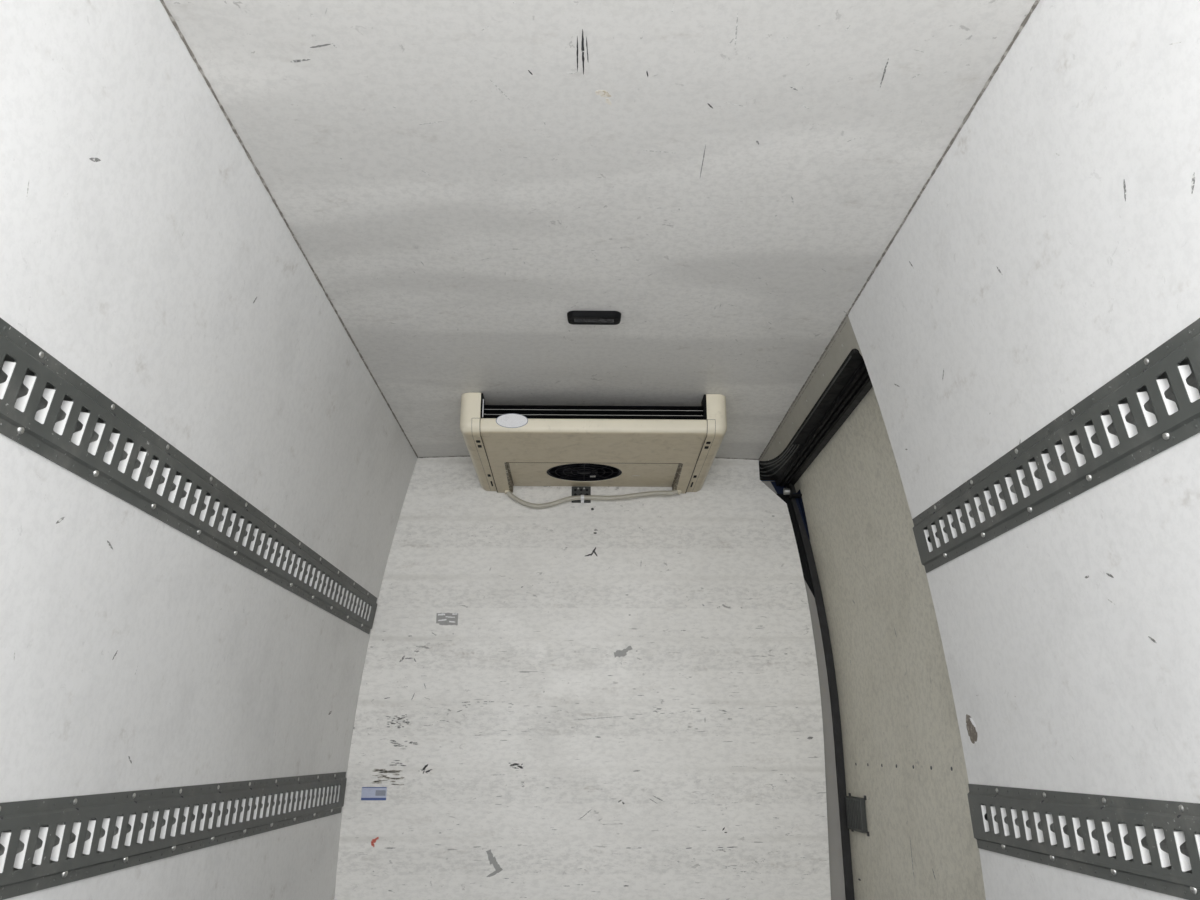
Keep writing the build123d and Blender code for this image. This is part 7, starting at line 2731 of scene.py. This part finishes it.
@dataclass(frozen=True)
class LoadFloor:
    """Dressing of the floor and its frame: sills, coving, lashing rings, bolts and weld beads."""

    half: float = 0.837
    box_half: float = 0.5970
    box_rear: float = -1.200
    box_front: float = -0.300
    member_x: float = 0.450
    member_half: float = 0.035

    def build(self) -> None:
        """Makes the floor's pieces."""
        self.add_coving()
        self.add_sills()
        self.add_lashing_rings()
        self.add_frame_bolts()

    def add_coving(self) -> None:
        """Adds the sealing fillet where the floor meets the walls and the wheel boxes."""
        coving = Solid()
        size = 0.016
        for side, front in ((-1, FRONT - 0.002), (1, 0.348)):
            wall = side * self.half
            for start, end in ((REAR + 0.050, self.box_rear - 0.002), (self.box_front + 0.002, front)):
                coving.skin([self.fillet_ring((wall, y), (-side, 0), size) for y in (start, end)])
            box = side * self.box_half
            ends = (self.box_rear, self.box_front)
            coving.skin([self.fillet_ring((box, y), (-side, 0), size) for y in ends])
            for y, out in ((self.box_rear, -1), (self.box_front, 1)):
                coving.skin([self.fillet_ring((x, y), (0, out), size) for x in (box, wall)])
        coving.skin([self.fillet_ring((x, FRONT), (0, -1), size) for x in (-self.half, 0.800)])
        coving.piece("floor_coving", Coat.RUBBER, slot="seal")

    def fillet_ring(self, corner: Flat, out: Flat, size: float) -> list[Vector]:
        """Section of a fillet at a corner of the floor, which runs out along one direction.

        Args:
            corner: x and y of the corner.
            out: Direction away from the wall.
            size: Size of the fillet.

        Returns:
            The section's points.
        """
        x, y = corner
        across = Vector((*out, 0.0))
        foot = Vector((x, y, FLOOR_Z)) - across * 0.0006 + Vector((0, 0, -0.0006))
        points = [foot, foot + across * size]
        for angle in (20, 45, 70):
            reach = 1 - math.sin(math.radians(angle))
            rise = 1 - math.cos(math.radians(angle))
            points.append(foot + across * (size * reach) + Vector((0, 0, size * rise)))
        points.append(foot + Vector((0, 0, size)))
        return points

    def add_sills(self) -> None:
        """Adds the ridged alloy sills at the rear and the side doorway, with their screws."""
        sills, screws = Solid(), Solid()
        rear = facing_up((0, REAR + 0.022, FLOOR_Z))
        sills.plate(rear, (1.460, 0.042), 0.002, -0.0004, 0.0012, 0.0003)
        for offset in (-0.015, -0.009, 0.009, 0.015):
            sills.plate(rear @ shift(0, offset, 0.0012), (1.450, 0.0026), 0.0008, -0.0002, 0.0010)
        for x in even(-0.66, 0.6602, 7):
            screws.head(rear @ shift(x, 0, 0.0012), 0.0044, 0.0014)
        side = seat(Vector((0.812, 0.975, FLOOR_Z)), Vector((0, 1, 0)), Vector((-1, 0, 0)))
        sills.plate(side, (1.230, 0.040), 0.002, -0.0004, 0.0012, 0.0003)
        for offset in (-0.014, -0.008, 0.008, 0.014):
            sills.plate(side @ shift(0, offset, 0.0012), (1.220, 0.0026), 0.0008, -0.0002, 0.0010)
        for x in even(-0.56, 0.5602, 6):
            screws.head(side @ shift(x, 0, 0.0012), 0.0044, 0.0014)
        sills.piece("door_sills", Coat.ALLOY, slot="zinc")
        screws.piece("sill_screws", Coat.SCREW, slot="zinc")

    def add_lashing_rings(self) -> None:
        """Adds the folding lashing rings in their pans."""
        pans, rings = Solid(), Solid()
        for x in (-0.530, 0.530):
            for y in (-1.430, 0.050, 1.330):
                place = facing_up((x, y, FLOOR_Z))
                pans.pierced(place, round_outline(0.088, 0.088, 0.018), [circle(0.0300, 24)], -0.0006, 0.0016)
                pans.lathe(place, [(0.0302, -0.0006), (0.0302, 0.0004), (0.0001, 0.0004)], 24)
                pans.plate(place @ shift(0, -0.021, 0), (0.022, 0.010), 0.003, 0.0, 0.0062, 0.0014)
                for across in (-0.034, 0.034):
                    for along in (-0.034, 0.034):
                        pans.head(place @ shift(across, along, 0.0016), 0.0034, 0.0012, sides=10)
                self.add_ring(rings, place)
        pans.piece("lashing_pans", Coat.ZINC, slot="zinc")
        rings.piece("lashing_rings", Coat.SCREW, slot="zinc")

    def add_ring(self, rings: Solid, place: Matrix) -> None:
        """Adds one ring that lies folded in its pan.

        Args:
            rings: Mesh that is being gathered.
            place: Place of the pan.
        """
        sections = []
        for angle in around(24):
            out = Vector((math.cos(angle), math.sin(angle), 0.0))
            section = []
            for reach, rise in circle(0.0032, 8, (0.0205, 0.0042)):
                section.append(place @ (out * reach + Vector((0.0, 0.0, rise))))
            sections.append(section)
        rings.skin(sections, looped=True)

    def add_frame_bolts(self) -> None:
        """Adds the bolts and the weld beads at each cross member."""
        bolts, welds = Solid(), Solid()
        rng = random.Random(5)
        for side in (-1, 1):
            face = side * (self.member_x + self.member_half)
            for y in (-1.55, -0.75, 0.0, 0.80, 1.60):
                for offset in (-0.024, 0.024):
                    bolts.bolt(facing_side((face, y + offset, 0.052), side), 0.0075, 0.0060)
                points = []
                for z in even(0.030, 0.120, 15):
                    wander = rng.uniform(-0.0006, 0.0006)
                    points.append(Vector((face + side * 0.0004, y + 0.036 + wander, z)))
                welds.tube(points, [0.0034 * rng.uniform(0.8, 1.2) for _ in points], sides=8)
        bolts.piece("frame_bolts", Coat.SCREW, slot="zinc")
        welds.piece("frame_welds", Coat.STEEL, slot="frame_steel")


def main() -> None:
    """Builds the compartment's looks and reports each piece."""
    logging.basicConfig(level=logging.INFO, format="%(message)s")
    bpy.context.scene.view_settings.view_transform = "Standard"
    Studio().build()
    DrainHose().build()
    paint_nodes()
    for rail in RAILS:
        rail.build()
    JointBeads().build()
    Marks().build()
    Evaporator().build()
    HoseBracket().build()
    CeilingLamp().build()
    SideDoor().build()
    for side in Side:
        RearDoor(side).build()
    BodyShell().build()
    RoofUnit().build()
    LoadFloor().build()


if __name__ == "__main__":
    main()
